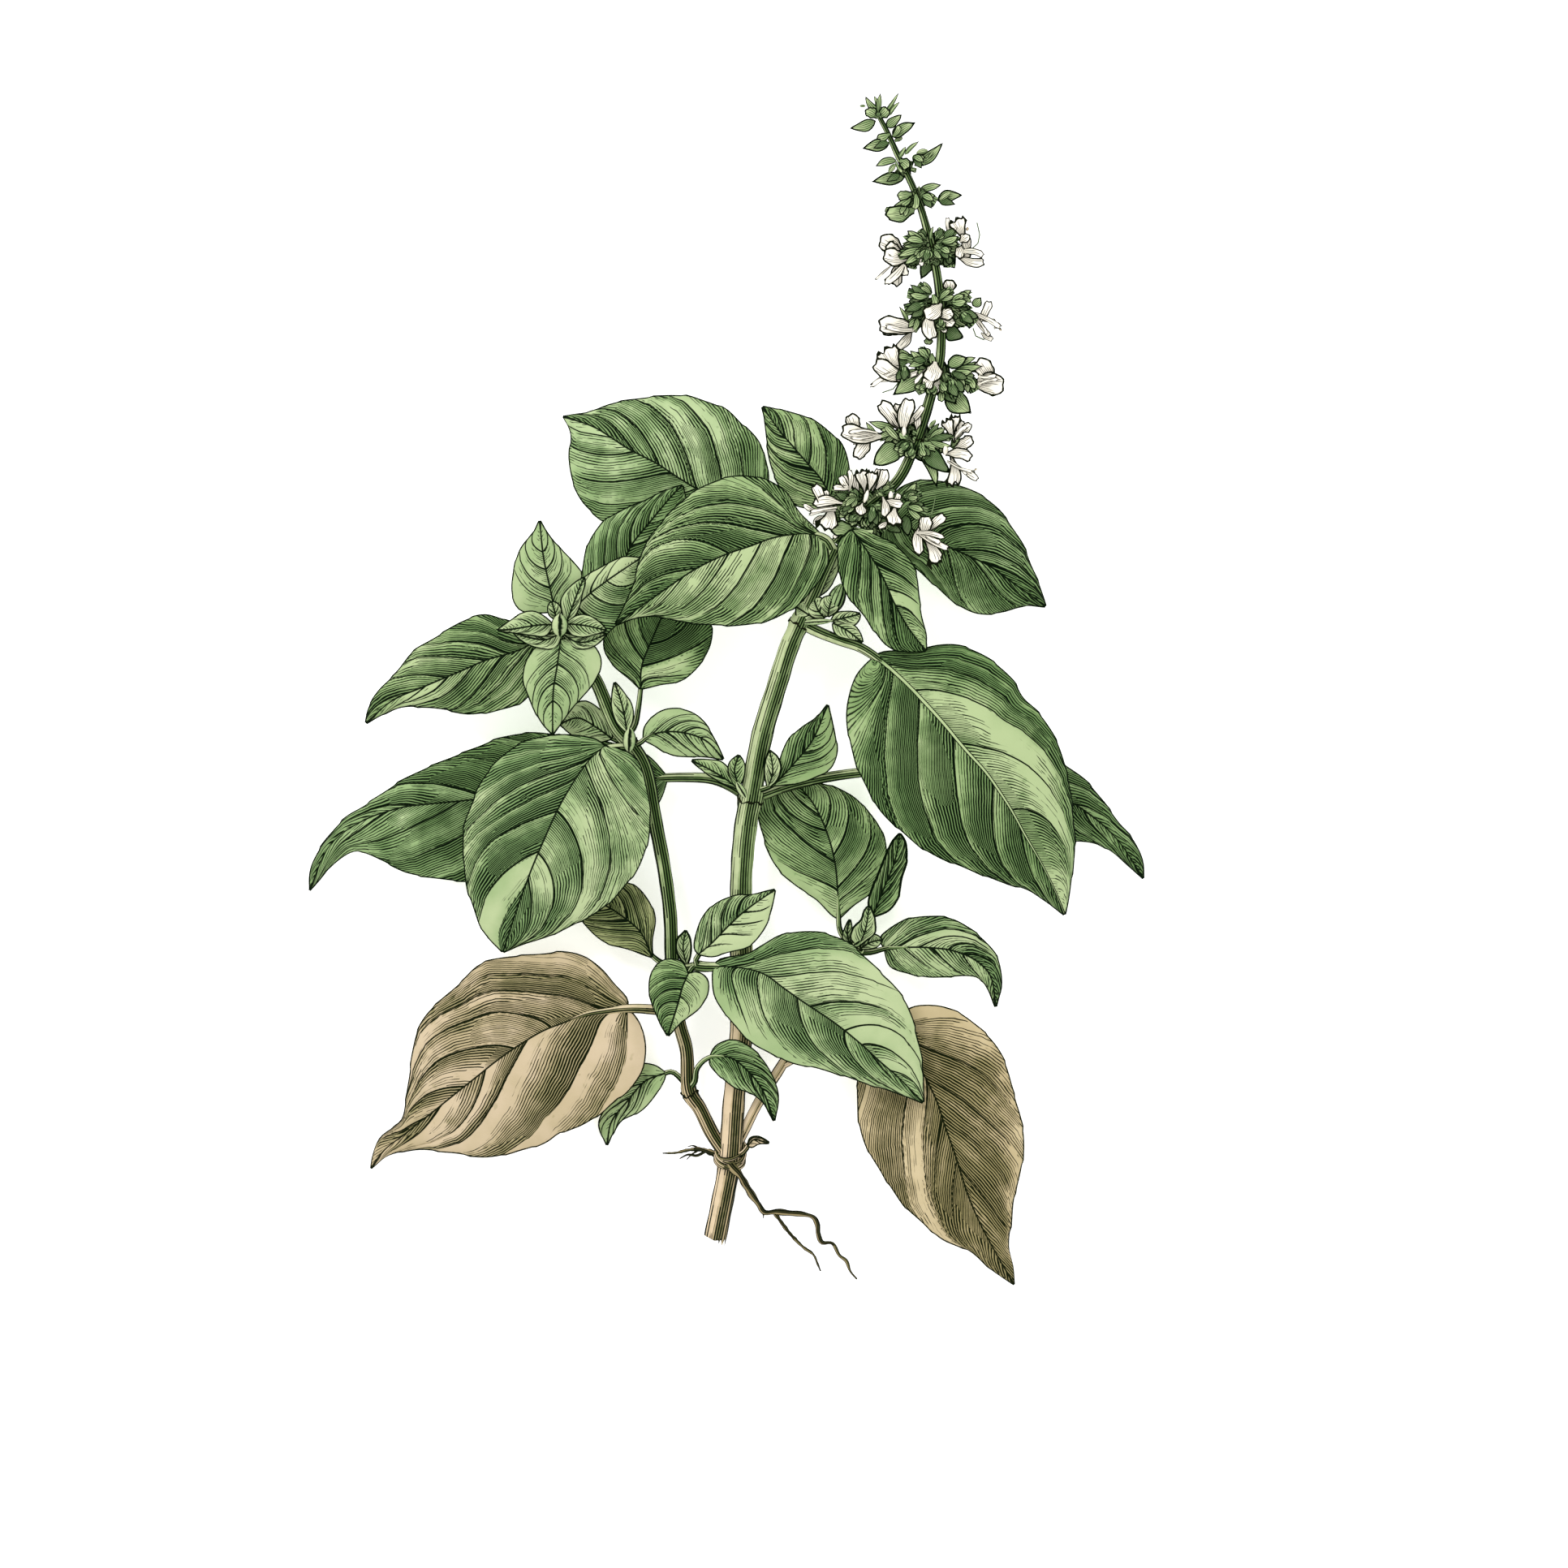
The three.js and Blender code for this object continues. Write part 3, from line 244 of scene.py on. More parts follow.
def rgb(screen, lift=lightShare):
    # Screen values 0 to 255 as the linear colour a shader takes.
    shares = [value / 255 for value in screen]
    linear = [share / 12.92 if share <= 0.04045 else ((share + 0.055) / 1.055) ** 2.4 for share in shares]
    return (*[lift * value for value in linear], 1)


# Leaf colours: pale, mid and deep are the wash from its painted highlights to its painted shade, mixed with
# a random mottle of its own tone, and ink is the line of the veins, the strokes of painted shade and the
# edges.
leafTints = dict(
    fresh=dict(pale=(188, 203, 154), mid=(156, 180, 126), deep=(118, 149, 95), ink=(4, 18, 2)),
    mid=dict(pale=(180, 198, 146), mid=(143, 170, 113), deep=(102, 133, 80), ink=(2, 16, 1)),
    deep=dict(pale=(190, 209, 158), mid=(147, 175, 119), deep=(109, 140, 86), ink=(2, 16, 1)),
    dusky=dict(pale=(188, 190, 140), mid=(156, 163, 112), deep=(116, 128, 80), ink=(4, 18, 2)),
    tan=dict(pale=(212, 193, 162), mid=(188, 172, 134), deep=(146, 139, 96), ink=(14, 22, 2)),
    brown=dict(pale=(214, 197, 158), mid=(194, 177, 136), deep=(148, 138, 94), ink=(14, 22, 2)),
)
leafInk = dict(
    mottleScale=95,
    grainScale=700,
    breakScale=330,
    spotScale=420,
    wanderScale=160,
    strokeSpace=0.47,         # between strokes, mm
    strokeWidth=(0.15, 0.6),  # least and most, as a share of the space between strokes
    fullestStroke=0.66,
    wander=1.2,               # how far a stroke strays, as a share of the space
    shake=0.35,
    darkening=1.25,
    breaks=(0.55, 0.15),      # how much strokes break up in a shaded place, and in a light one
    jumps=(0.35, 0.15),       # how much one stretch of a stroke differs from the next
    stretches=5,              # of a stroke, from the midrib to the margin
    stretchShift=0.37,
    veinWidth=0.21,           # at the midrib, mm
    veinTaper=(1.15, 0.6),
    ribWidth=0.2,
    outline=0.3,
    outlineShake=0.2,
    washStops=(0.0, 0.55, 0.45, 1.1),
    shadeWash=0.6,
    mottleWash=0.9,
    ribWash=0.8,
    spots=(0.71, 0.76, 0.35),
    bumpDepth=0.00012,
)


def veinDistance(paint):
    # From the nearest side vein, mm.
    return abs((paint.read("phase") + 0.5).maths("FRACT") - 0.5) * paint.read("veinStep")


def leafPaint(name, tint, look=leafInk):
    paint = Paint(name)
    place = paint.place()
    mottle = paint.noise(look["mottleScale"], 4.0, place)
    grain = paint.noise(look["grainScale"], 3.0, place)
    wander = paint.noise(look["wanderScale"], 1.0, place) - 0.5
    across = paint.read("across")
    gap = paint.read("strokeGap")
    share = paint.read("phase").maths("FRACT")

    # Painted shade: each side vein has hatched shade on the blade before it and after it, where the quilted
    # blade turns from the light. The strokes break up at random where there is shade, and stay away where
    # there is none.
    before = paint.read("before") * share.between(-0.35, 0.8)
    after = paint.read("after") * (1 - share).between(0.1, 1.0)
    shaded = before.maths("MAXIMUM", after)
    some = shaded.between(0.0, 0.35)
    broken = mottle + paint.noise(look["breakScale"], 2.0, place) - 1
    inShade, inLight = look["breaks"]
    strength = shaded * look["darkening"] + broken * (some * inShade + inLight) - 0.03

    # These strokes of painted shade run out from the midrib; where they crowd together every other one
    # stops.
    factor = 2.0 ** (gap / look["strokeSpace"]).maths("LOGARITHM", 2.0).maths("ROUND")
    lines = paint.read("strokes") * factor + wander * look["wander"] + (grain - 0.5) * look["shake"]
    number = lines.rounded()
    stretch = (across * look["stretches"] + number * look["stretchShift"]).maths("FLOOR")
    inShade, inLight = look["jumps"]
    reach = strength + (paint.chance(number, stretch) - 0.5) * (some * inShade + inLight)
    space = gap / factor
    least, most = look["strokeWidth"]
    halfWidth = (reach * (most - least) + least).maths("MINIMUM", look["fullestStroke"]) * space * 0.5
    drawn = (abs(lines - number) * space).inside(halfWidth) * reach.between(0.1, 0.22)

    # The dark line on each side vein is drawn along the vein and is also painted shade in its crease.
    wide, taper = look["veinTaper"]
    veinStrength = paint.read("veinStrength")
    veinHalf = veinStrength * look["veinWidth"] * (wide - across * taper)
    vein = veinDistance(paint).inside(veinHalf) * veinStrength.between(0.05, 0.2)
    ribNear = paint.read("ribNear")
    paleRib = paint.read("paleRib")
    ribLine = abs(ribNear - paleRib).inside(look["ribWidth"])
    ribPale = 1 - (ribNear - paleRib).between(-0.05, 0.02)
    edgeLine = (paint.read("edge") + (grain - 0.5) * look["outlineShake"]).inside(look["outline"], 0.06)
    ink = drawn.maths("MAXIMUM", vein).maths("MAXIMUM", ribLine) * (1 - ribPale)
    ink = ink.maths("MAXIMUM", edgeLine)

    # The wash is painted shade and highlight with the leaf's own random mottle; the pale midrib lightens it.
    wash = paint.read("wash") + strength.between(0.1, 1.0) * look["shadeWash"]
    wash = wash + (mottle - 0.5) * look["mottleWash"] - ribPale * look["ribWash"]
    colour = paint.washed(wash, tint, look["washStops"])
    low, high, most = look["spots"]
    spot = paint.noise(look["spotScale"], 1.0, place).between(low, high) * most
    colour = paint.mix(spot, colour, rgb(tint["deep"]))
    colour = paint.mix(ink, colour, rgb(tint["ink"]))
    return paint.finish(colour, grain * 0.6 - ink * 0.4, look["bumpDepth"])


underside = dict(
    roughness=0.7,
    specular=0.1,
    mottleScale=110,
    veinEdge=(0.1, 0.32),
    rimEdge=(0.2, 0.34),
    veinDarkness=0.55,
    rimDarkness=0.9,
    bumpDepth=0.0002,
)


def undersidePaint(name, tint, look=underside):
    paint = Paint(name, look["roughness"], look["specular"])
    mottle = paint.noise(look["mottleScale"], 4.0, paint.place())
    vein = (1 - veinDistance(paint).between(*look["veinEdge"])) * paint.read("veinStrength")
    rim = 1 - paint.read("edge").between(*look["rimEdge"])
    colour = paint.mix(mottle.between(0.3, 0.7), rgb(tint["pale"]), rgb(tint["mid"]))
    colour = paint.mix(vein * look["veinDarkness"], colour, rgb(tint["deep"]))
    colour = paint.mix(rim * look["rimDarkness"], colour, rgb(tint["ink"]))
    return paint.finish(colour, mottle + vein, look["bumpDepth"])


# Stem colours: pale, mid and deep run from painted highlight to painted shade, with random grain and mottle,
# and ink is the line of the strokes and edges.
stemTints = dict(
    green=dict(pale=(192, 204, 156), mid=(140, 162, 108), deep=(84, 110, 60), ink=(4, 18, 2)),
    tan=dict(pale=(226, 204, 170), mid=(186, 168, 128), deep=(92, 94, 54), ink=(8, 18, 2)),
    root=dict(pale=(162, 146, 106), mid=(96, 92, 56), deep=(46, 50, 26), ink=(8, 14, 2)),
)
stemInk = dict(
    mottleScale=140,
    grainScale=600,
    lineSpace=0.55,           # between lines, mm
    dashLength=0.14,          # how many dashes in a millimetre
    dashChange=0.7,
    lineWidth=0.33,
    edgeWidth=0.14,
    fullest=0.9,
    washStops=(0.0, 0.5, 0.5, 1.0),
    changeWander=30,          # how unevenly one colour turns to the other, mm
    bumpDepth=0.00015,
)


def stemPaint(name, tint, lower=None, dark=0.0, change=None, look=stemInk):
    # Long lines of painted shade follow the stem: few on its painted-light side, close together past the
    # middle and again along its left edge, with a paler strip near the far side; dark adds painted shade all
    # over. The lower colour takes over down the sprig, between the two heights of change in mm.
    paint = Paint(name)
    place = paint.place()
    along, _, toRight = paint.lay()
    girth = paint.read("girth")
    mottle = paint.noise(look["mottleScale"], 3.0, place)
    grain = paint.noise(look["grainScale"], 2.0, place)
    toRight = toRight * girth.maths("SIGN")
    girth = abs(girth)
    edgeLine = 1 - ((1 - abs(toRight)) * girth - look["edgeWidth"]).between(-0.05, 0.06)
    # Painted shade on the right half of the stem and along its left edge, with a paler strip inside the
    # right half.
    shade = toRight.between(-0.4, 0.1)
    strip = toRight.between(0.5, 0.75)
    leftEdge = (toRight * -1).between(0.65, 0.95)
    strength = shade * 0.8 - strip * 0.4 + leftEdge * 0.4 + 0.2 + dark + (mottle - 0.5) * 0.7
    lines = toRight * girth / look["lineSpace"] + 0.25 + (mottle - 0.5) * 0.3
    number = lines.rounded()
    dash = paint.chance(number, (along * look["dashLength"]).maths("FLOOR")) - 0.5
    reach = (strength + dash * look["dashChange"]).maths("MINIMUM", look["fullest"])
    drawn = abs(lines - number).inside(reach * look["lineWidth"], 0.08) * reach.between(0.1, 0.25)
    ink = drawn.maths("MAXIMUM", edgeLine)
    wash = shade * 0.75 - strip * 0.4 + 0.08 + dark * 0.6 + (grain - 0.5) * 0.4 + (mottle - 0.5) * 0.5
    colour = paint.washed(wash, tint, look["washStops"])
    if lower:
        height = paint.add("ShaderNodeSeparateXYZ", {}, {0: place}, 1) / millimetre
        below = 1 - (height + (mottle - 0.5) * look["changeWander"]).between(*change)
        colour = paint.mix(below, colour, paint.washed(wash, lower, look["washStops"]))
    colour = paint.mix(ink, colour, rgb(tint["ink"]))
    return paint.finish(colour, grain - ink * 0.5, look["bumpDepth"])


leafMaterials = {tint: (leafPaint("leaf_" + tint, colours), undersidePaint("underside_" + tint, colours))
                 for tint, colours in leafTints.items()}
# The dark value adds painted shade to a stem, or takes it away.
greenStem = stemPaint("stem_green", stemTints["green"])
tanStem = stemPaint("stem_tan", stemTints["green"], stemTints["tan"], change=(-78, -48))
paleStem = stemPaint("stem_pale", stemTints["green"], stemTints["tan"], dark=-0.6, change=(-72, -60))
branchSkin = stemPaint("stem_branch", stemTints["green"], stemTints["tan"], dark=0.35, change=(-88, -50))
seamSkin = stemPaint("stem_seam", stemTints["root"], dark=0.3)
spikeSkin = stemPaint("stem_spike", stemTints["green"], dark=0.4)
rootSkin = stemPaint("root_skin", stemTints["root"])
ringSkin = stemPaint("joint_scar", stemTints["tan"])
print("leaf and stem materials ready")


# Curves and meshes. Shapes are typed as text, "x y z, x y z", in millimetres.
def points(text):
    return [tuple(float(value) for value in place.split()) for place in text.split(",") if place.strip()]


class Curve:
    # A smooth curve through points, read by its share of length from 0 to 1.
    pointsPerStretch = 24
    reach = 0.004             # the direction is taken over this share to each side

    def __init__(self, places):
        places = np.array(places, float)
        ends = [2 * places[0] - places[1], 2 * places[-1] - places[-2]]
        places = np.vstack([ends[0], places, ends[1]])
        steps = np.linspace(0, 1, self.pointsPerStretch, endpoint=False)[:, None]
        parts = []
        for a, b, c, d in zip(places, places[1:], places[2:], places[3:]):
            gaps = [max(np.linalg.norm(q - p) ** 0.5, 1e-3) for p, q in ((a, b), (b, c), (c, d))]
            out = (b - a) / gaps[0] - (c - a) / (gaps[0] + gaps[1]) + (c - b) / gaps[1]
            into = (c - b) / gaps[1] - (d - b) / (gaps[1] + gaps[2]) + (d - c) / gaps[2]
            out, into = out * gaps[1], into * gaps[1]
            parts.append(b + out * steps + (3 * (c - b) - 2 * out - into) * steps ** 2
                         + (2 * (b - c) + out + into) * steps ** 3)
        self.dense = np.vstack([*parts, places[-2:-1]])
        lengths = np.linalg.norm(np.diff(self.dense, axis=0), axis=1)
        self.run = np.concatenate([[0], np.cumsum(lengths)])
        self.length = self.run[-1]

    def at(self, shares):
        wanted = np.clip(shares, 0, 1) * self.length
        return np.stack([np.interp(wanted, self.run, column) for column in self.dense.T], axis=-1)

    def direction(self, shares):
        shares = np.asarray(shares)
        ahead = self.at(np.clip(shares + self.reach, 0, 1)) - self.at(np.clip(shares - self.reach, 0, 1))
        return ahead / np.linalg.norm(ahead, axis=-1, keepdims=True)

    def frame(self, share):
        # The spot at a share of the length, with the ways along, to the right and up.
        way = Vector(self.direction(share))
        right = way.cross(Vector((0, 0, 1))).normalized()
        return Vector(self.at(share)), way, right, right.cross(way)

    def nearestShare(self, place, count):
        # Where the curve, seen from above, comes closest to x, y.
        shares = np.linspace(0, 1, count)
        return shares[np.argmin(np.hypot(*(self.at(shares)[:, :2] - place[:2]).T))]


def nearest(places, line):
    # The distance from each place to a dense line, seen from above.
    start, step = line[:-1], np.diff(line, axis=0)
    best = np.full(len(places), np.inf)
    for (x, y), (dx, dy) in zip(start, step):
        size = max(dx * dx + dy * dy, 1e-12)
        share = np.clip(((places[:, 0] - x) * dx + (places[:, 1] - y) * dy) / size, 0, 1)
        best = np.minimum(best, np.hypot(places[:, 0] - x - share * dx, places[:, 1] - y - share * dy))
    return best


def smooth(values, low, high):
    share = np.clip((values - low) / (high - low), 0, 1)
    return share * share * (3 - 2 * share)


def listed(values):
    # A size that runs through the listed values from one end to the other.
    return lambda share: float(np.interp(share, np.linspace(0, 1, len(values)), values))


def layer(bm, name):
    return bm.verts.layers.float.get(name) or bm.verts.layers.float.new(name)


def addPiece(bm, name, materials, node=None, sharpAngle=50):
    mesh = bpy.data.meshes.new(name)
    bm.to_mesh(mesh)
    bm.free()
    for material in materials:
        mesh.materials.append(material)
    mesh.shade_smooth()
    mesh.set_sharp_from_angle(angle=math.radians(sharpAngle))
    mesh.transform(Matrix.Scale(millimetre, 4))
    piece = bpy.data.objects.new(name, mesh)
    bpy.context.scene.collection.objects.link(piece)
    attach(piece, "root")
    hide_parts(node or name)


tubeForm = dict(
    leastRows=4,
    floorLevel=0.05,          # nothing lies lower than this, mm
    shadeLean=0.6,            # the shaded side of a tube is the lower one or the right one
)


def tube(bm, path, radius, cell=1.0, sides=12, shape=None, material=0, finishEnd=None, form=tubeForm):
    # Adds a closed tube along a curve; radius and shape give its size at a share of length and an angle.
    curve = Curve(path)
    rows = max(form["leastRows"], round(curve.length / cell))
    lay = bm.loops.layers.uv.get("lay") or bm.loops.layers.uv.new("lay")
    girth = layer(bm, "girth")
    verts = bmesh.ops.create_grid(bm, x_segments=rows, y_segments=sides, size=1, calc_uvs=False)["verts"]
    faces = {face for vert in verts for face in vert.link_faces}
    shares = np.linspace(0, 1, rows + 1)
    centres, ways = curve.at(shares), curve.direction(shares)
    rights = np.cross(ways, (0, 0, 1))
    rights /= np.linalg.norm(rights, axis=1, keepdims=True)
    ups = np.cross(rights, ways)
    along = centres[-1] - centres[0]
    shaded = -1 if along[1] + form["shadeLean"] * along[0] < 0 else 1
    for face in faces:
        face.material_index = material
        for loop in face.loops:
            x, y = loop.vert.co.x, loop.vert.co.y
            loop[lay].uv = ((x + 1) / 2 * curve.length, (y + 1) / 2)
    for vert in verts:
        row = round((vert.co.x + 1) / 2 * rows)
        turn = (vert.co.y + 1) * math.pi
        size = radius(shares[row]) * (shape(shares[row], turn) if shape else 1)
        vert[girth] = size * shaded
        spot = centres[row] + size * (math.cos(turn) * rights[row] + math.sin(turn) * ups[row])
        if finishEnd:
            spot = spot + ways[row] * finishEnd(row, rows, turn)
        vert.co = (spot[0], spot[1], max(spot[2], form["floorLevel"]))
    bmesh.ops.remove_doubles(bm, verts=verts, dist=1e-5)
    faces = [face for face in faces if face.is_valid]
    openEdges = {edge for face in faces for edge in face.edges if edge.is_boundary}
    caps = bmesh.ops.holes_fill(bm, edges=list(openEdges), sides=0)["faces"]
    for cap in caps:
        cap.material_index = material
    bmesh.ops.recalc_face_normals(bm, faces=faces + caps)


# Leaves: the tint, how far the left and the right margin hang below the midrib, and four runs of points: the
# stalk / the midrib / the left margin / the right margin, seen from above and looking from stalk to tip.
leafShapes = {
    "leaf_top_left": ("deep", 3.2, 2.6, "22.8 29 24.7, 20.8 31.6 22, 17 35.6 18.5, 12 39.4 15.2 / 8 41 13.4,"
        "1 43.2 11.4, -6 44.3 10, -10 46.5 9.4, -15 49.8 8.8, -22 53.5 7.4, -29 58 4.4, -36.3 60.6 0.2 /"
        "4 37.5, -3 34.8, -11 34, -19 34.8, -27 37.3, -30 39.8, -32 42, -34 46.5, -34.7 51, -34.4 57 /"
        "9.3 46.5, 8.5 51, 7 55, 3.5 58.5, 0 61.8, -5 63.8, -10 65, -20 64.2, -26 63, -30 61.4"),
    "leaf_behind_top_left": ("deep", 1.5, 1.5, "-34.8 10 17, -33.4 14.4 16.2, -32 18 15.5 / -30.5 20.5 15,"
        "-26.5 24 14, -23 28 13.4, -21 32 13.2, -17 37 12.8, -12 43 12, -9.7 45.2 11.4 / -32 22.8, -31.7 27,"
        "-30.5 32, -29.5 34, -26.5 37.5, -23 39.5, -19 41.2, -14 43.6 / -26 21.5, -20 24, -14 29, -10.5 35,"
        "-9.2 41"),
    "leaf_upper_left_front": ("mid", 2.8, 3.5, "23.6 30.8 24.9, 22.2 33 26.2 / 21 34 26.4, 16 34.3 27.9,"
        "10 33.3 29.6, 5 31.5 30.4, 0 29.8 30.6, -5 27.5 30, -10 24.5 28.6, -15 21 26.6, -20 17.5 23.8,"
        "-24.5 14.3 21.2 / 22.3 31, 22.5 28, 20 23.5, 16 19, 13 17, 8 15, 2 14.3, -5 14.6, -10 15.2,"
        "-15 16.3, -20 16 / 19 36, 16 39, 13 43.5, 9 46, 4 47, 0 46.5, -3 45.5, -6 44, -9.5 41.5, -13 38,"
        "-17 33, -19 28.5, -20 24, -22.5 18"),
    "leaf_upper_middle": ("mid", 1.5, 1.5, "26.2 34.6 25, 25 36.6 22 / 24.4 40 19.8, 21 46.5 18.8, 18 50 18,"
        "15 53.5 17, 12 57 15.8, 8 62.6 13.5 / 18 40.2, 14 42, 11.5 46, 10 50, 9.2 55, 8.7 60 / 27 44.5,"
        "27 49.5, 25.5 54, 22 57.5, 18 60, 12 61.7"),
    "leaf_right_top": ("deep", 3, 2, "22.8 29 24.7, 25.4 30.6 20.8, 30.5 34.4 16.6, 34.6 36.6 15.2 /"
        "36.8 36.9 14.7, 41 35.6 14.6, 46 33 14.6, 52 30.3 13.8, 58 27.5 12, 64 23.3 9.6, 70.8 18.4 6.4 /"
        "36.2 41, 38.4 44.4, 44 46.2, 46.5 46, 52 44.8, 56 43, 60 40, 63 36, 65.5 32, 67.5 27, 69.2 23 /"
        "34.4 34.4, 35 31, 38.4 28.6, 42 27, 45 24.5, 50 20, 53 18, 56 17, 61 17.3, 66 18.8"),
    "leaf_under_flowers": ("mid", 2.5, 2.5, "24.9 33 25.4, 26.4 34.6 27.6 / 27.8 35.2 28.6, 30.5 31.5 29.6,"
        "32.6 28.4 30.2, 35 24 30.4, 36.9 19.6 30, 40 14 29, 44.2 8.4 27.2 / 31 35, 34 33.4, 36.4 32.2,"
        "39 30, 41 27.5, 42 24.5, 42.4 20, 43 16, 43.9 12 / 25.2 33, 25 28, 26 23, 28 19.5, 31 16, 33 13,"
        "35.5 10, 38.5 8.6"),
    "side_shoot_leaf_top": ("fresh", 1, 1, "-37.1 13.9 19 / -38 17 18.6, -39 22 18.5, -40.5 29 17.6,"
        "-41.4 37.3 14.6 / -45.5 17.5, -47.3 21, -47 26, -45.5 31, -42.7 34.5 / -36.5 19, -33.4 22.5,"
        "-32.3 25.5, -34 28, -37 31, -40 34.7"),
    "side_shoot_leaf_left": ("mid", 2, 2, "-36.8 13.3 17.8 / -40 12 17.2, -46 8.6 17.2, -53 6.5 16.9,"
        "-60 3.5 16, -66 1 14.4, -74 -2.5 11, -80 -7.5 7.8 / -40.5 5, -42.5 0.5, -46 -3, -50 -4.3, -57 -5.3,"
        "-62 -4.3, -68 -3.6, -73 -3.9, -77 -5.7 / -43 13.4, -49.5 15.3, -53.5 16.3, -58 15, -64 11.5,"
        "-69.5 8, -73 3.5, -77 -0.5, -79.3 -4.5"),
    "side_shoot_leaf_front": ("fresh", 1.6, 1.6, "-37 13.7 20.3 / -36.7 11 20.8, -37.5 5 22, -38.3 0 21.8,"
        "-38.5 -6 20.6, -38.5 -10 19.6 / -31.6 10.8, -29 9, -27.9 6, -29.5 1.5, -33 -2.5, -36.5 -7 /"
        "-41 9.8, -44 6.5, -44.8 2, -43.5 -2, -41 -7"),
    "side_shoot_leaf_right": ("fresh", 1, 1.6, "-37.15 14 20.2 / -34.4 17 20.5, -31 20.5 20.2,"
        "-27 23.6 19.6, -23 26.4 18.6, -19 29 17.4 / -35.4 20, -34 22.5, -31 24.8, -27 27.2, -22.5 29.1 /"
        "-33.2 12.4, -29 11.4, -25.2 13.6, -22 18.4, -19.6 24.4"),
    "hanging_leaf": ("mid", 1.5, 1.5, "-22.4 -10.8 14.8, -20.4 -8.2 14, -19.5 -4 13.5 / -19 0 13.2,"
        "-18.8 5 12.8, -16.5 11 12.2, -13 19 11 / -21 2, -25 5.5, -27 9, -26 14, -21 18 / -15 1, -10 2,"
        "-7 4.5, -4.5 8, -3.5 11, -3.8 15, -8 18.4"),
    "left_axil_leaf_left": ("fresh", 1, 1, "-21.4 -12.2 14.4, -23.8 -11.6 12.6 / -25.4 -11 12.8,"
        "-29 -8.4 13.2, -33 -6.4 13.2, -37 -7.8 12.6 / -28 -11.6, -32.5 -11 / -26 -7.4, -29 -4, -32 -2.8,"
        "-35 -4.6"),
    "left_axil_leaf_right": ("fresh", 1, 1, "-21.2 -12.6 14.5, -19.2 -12 15.5 / -18.4 -11.2 15.8,"
        "-15.5 -9.8 16, -10 -9.6 16, -4.5 -11.5 15.4, -0.7 -15.6 14.4 / -18 -8.4, -15 -5.3, -12 -4.5,"
        "-8 -5.2, -5.5 -7, -3.2 -10.5 / -16 -12.4, -12 -14.5, -7 -14.8, -3.4 -15"),
    "leaf_middle_left_front": ("fresh", 3.6, 3.4, "-20.8 -13.4 14.3, -23.6 -13 17 / -27 -12.6 18.6,"
        "-31 -16.5 20.6, -35 -22.5 22, -37.5 -27 22.2, -40 -32.5 21.6, -43 -39.5 19.4, -46 -47.5 16,"
        "-49.6 -58.3 11.4 / -23.5 -13.4, -20 -15.5, -18.3 -20, -17.2 -26, -17.3 -32, -19.5 -39, -24 -45,"
        "-28 -48.7, -33 -51.5, -36 -53, -40 -54.8, -45 -56.3 / -29 -11.3, -35 -10.3, -40 -10.7, -45 -12,"
        "-50 -15.5, -54 -20.5, -56 -25, -58 -31, -58 -38, -57.5 -43, -56 -48, -53.5 -54"),
    "small_dark_leaf": ("dusky", 1, 1, "-12.1 -61.5 9.8, -14.6 -60.6 9.8 / -16.5 -59.5 9.8, -19 -54 9.6,"
        "-23 -50.5 9.2, -27 -48 8.8, -33 -46 8 / -18.5 -58.8, -22 -57.5, -27 -56, -30 -53.5, -32.5 -50 /"
        "-16.7 -56, -16 -51, -17.5 -47, -21 -43.5, -27 -43"),
    "brown_leaf_left": ("tan", 2.4, 2.4, "-10.9 -71.2 8.8, -15 -71.2 9.4, -19.6 -70.9 9.8 / -22 -70.8 10,"
        "-27 -71.5 10.6, -31.5 -72.3 11, -36 -74 11.2, -41 -76 11, -46 -79 10.4, -51 -82.5 9.4, -56 -86.5 8,"
        "-61 -90.5 6.4, -66 -94.5 4.6, -71 -98.5 2.9, -76 -102.4 1.4, -79 -106.5 0.3 / -20 -73, -18.6 -76,"
        "-18 -80, -19 -85, -21.5 -88.5, -24.5 -91, -28 -94, -32 -96.5, -37 -98.3, -40 -100.3, -45 -102,"
        "-53 -103.7, -61 -102.7, -69 -102, -75 -103.3 / -22 -69, -25 -65.5, -28 -62, -32 -59.3, -36 -58.5,"
        "-41 -59, -50.5 -60, -55 -61.5, -58.5 -65, -63 -69, -66.5 -72.5, -68.7 -77, -70.3 -87, -71 -92,"
        "-72 -96, -77 -100, -78.6 -104"),
    "leaf_middle_left_back": ("deep", 1.5, 1.5, "5.3 -24.5 14.5, 1.5 -21.8 12.8, -3 -20 11.2,"
        "-9.6 -19.6 9.2 / -13 -19.6 8.6, -22 -20.4 8, -33 -21.8 7.6, -45 -23.4 7.4, -56 -24.5 7,"
        "-64 -25.3 6.6, -72 -26.3 5.8, -80 -28.8 4.6, -88 -34.5 2.4, -92.6 -44.7 0.4 / -15 -25, -22 -33,"
        "-32 -39, -44 -42.5, -58 -42.5, -66 -41.5, -71 -40.5, -76 -38, -82 -35.7, -87 -38.2, -90.4 -42 /"
        "-18 -14.5, -26 -12, -34 -10.8, -43 -9.9, -50 -11, -55 -13, -60 -15, -66 -17.5, -72 -20.5, -80 -26,"
        "-84 -28.5, -87 -31.5, -90 -35.5, -92.2 -40"),
    "middle_node_leaf_right": ("mid", 0.8, 0.8, "5.8 -22.8 15, 9.2 -21.8 16.4 / 10.4 -21.4 16.2,"
        "15 -16.5 17.4, 19 -11.5 17.6, 22.5 -3.5 17 / 11.4 -18, 12.6 -14, 14.2 -11, 17 -8.5, 20 -6.6 /"
        "16.5 -20.6, 20.5 -19, 23 -17.5, 24.4 -14, 24 -10.5, 23.2 -7"),
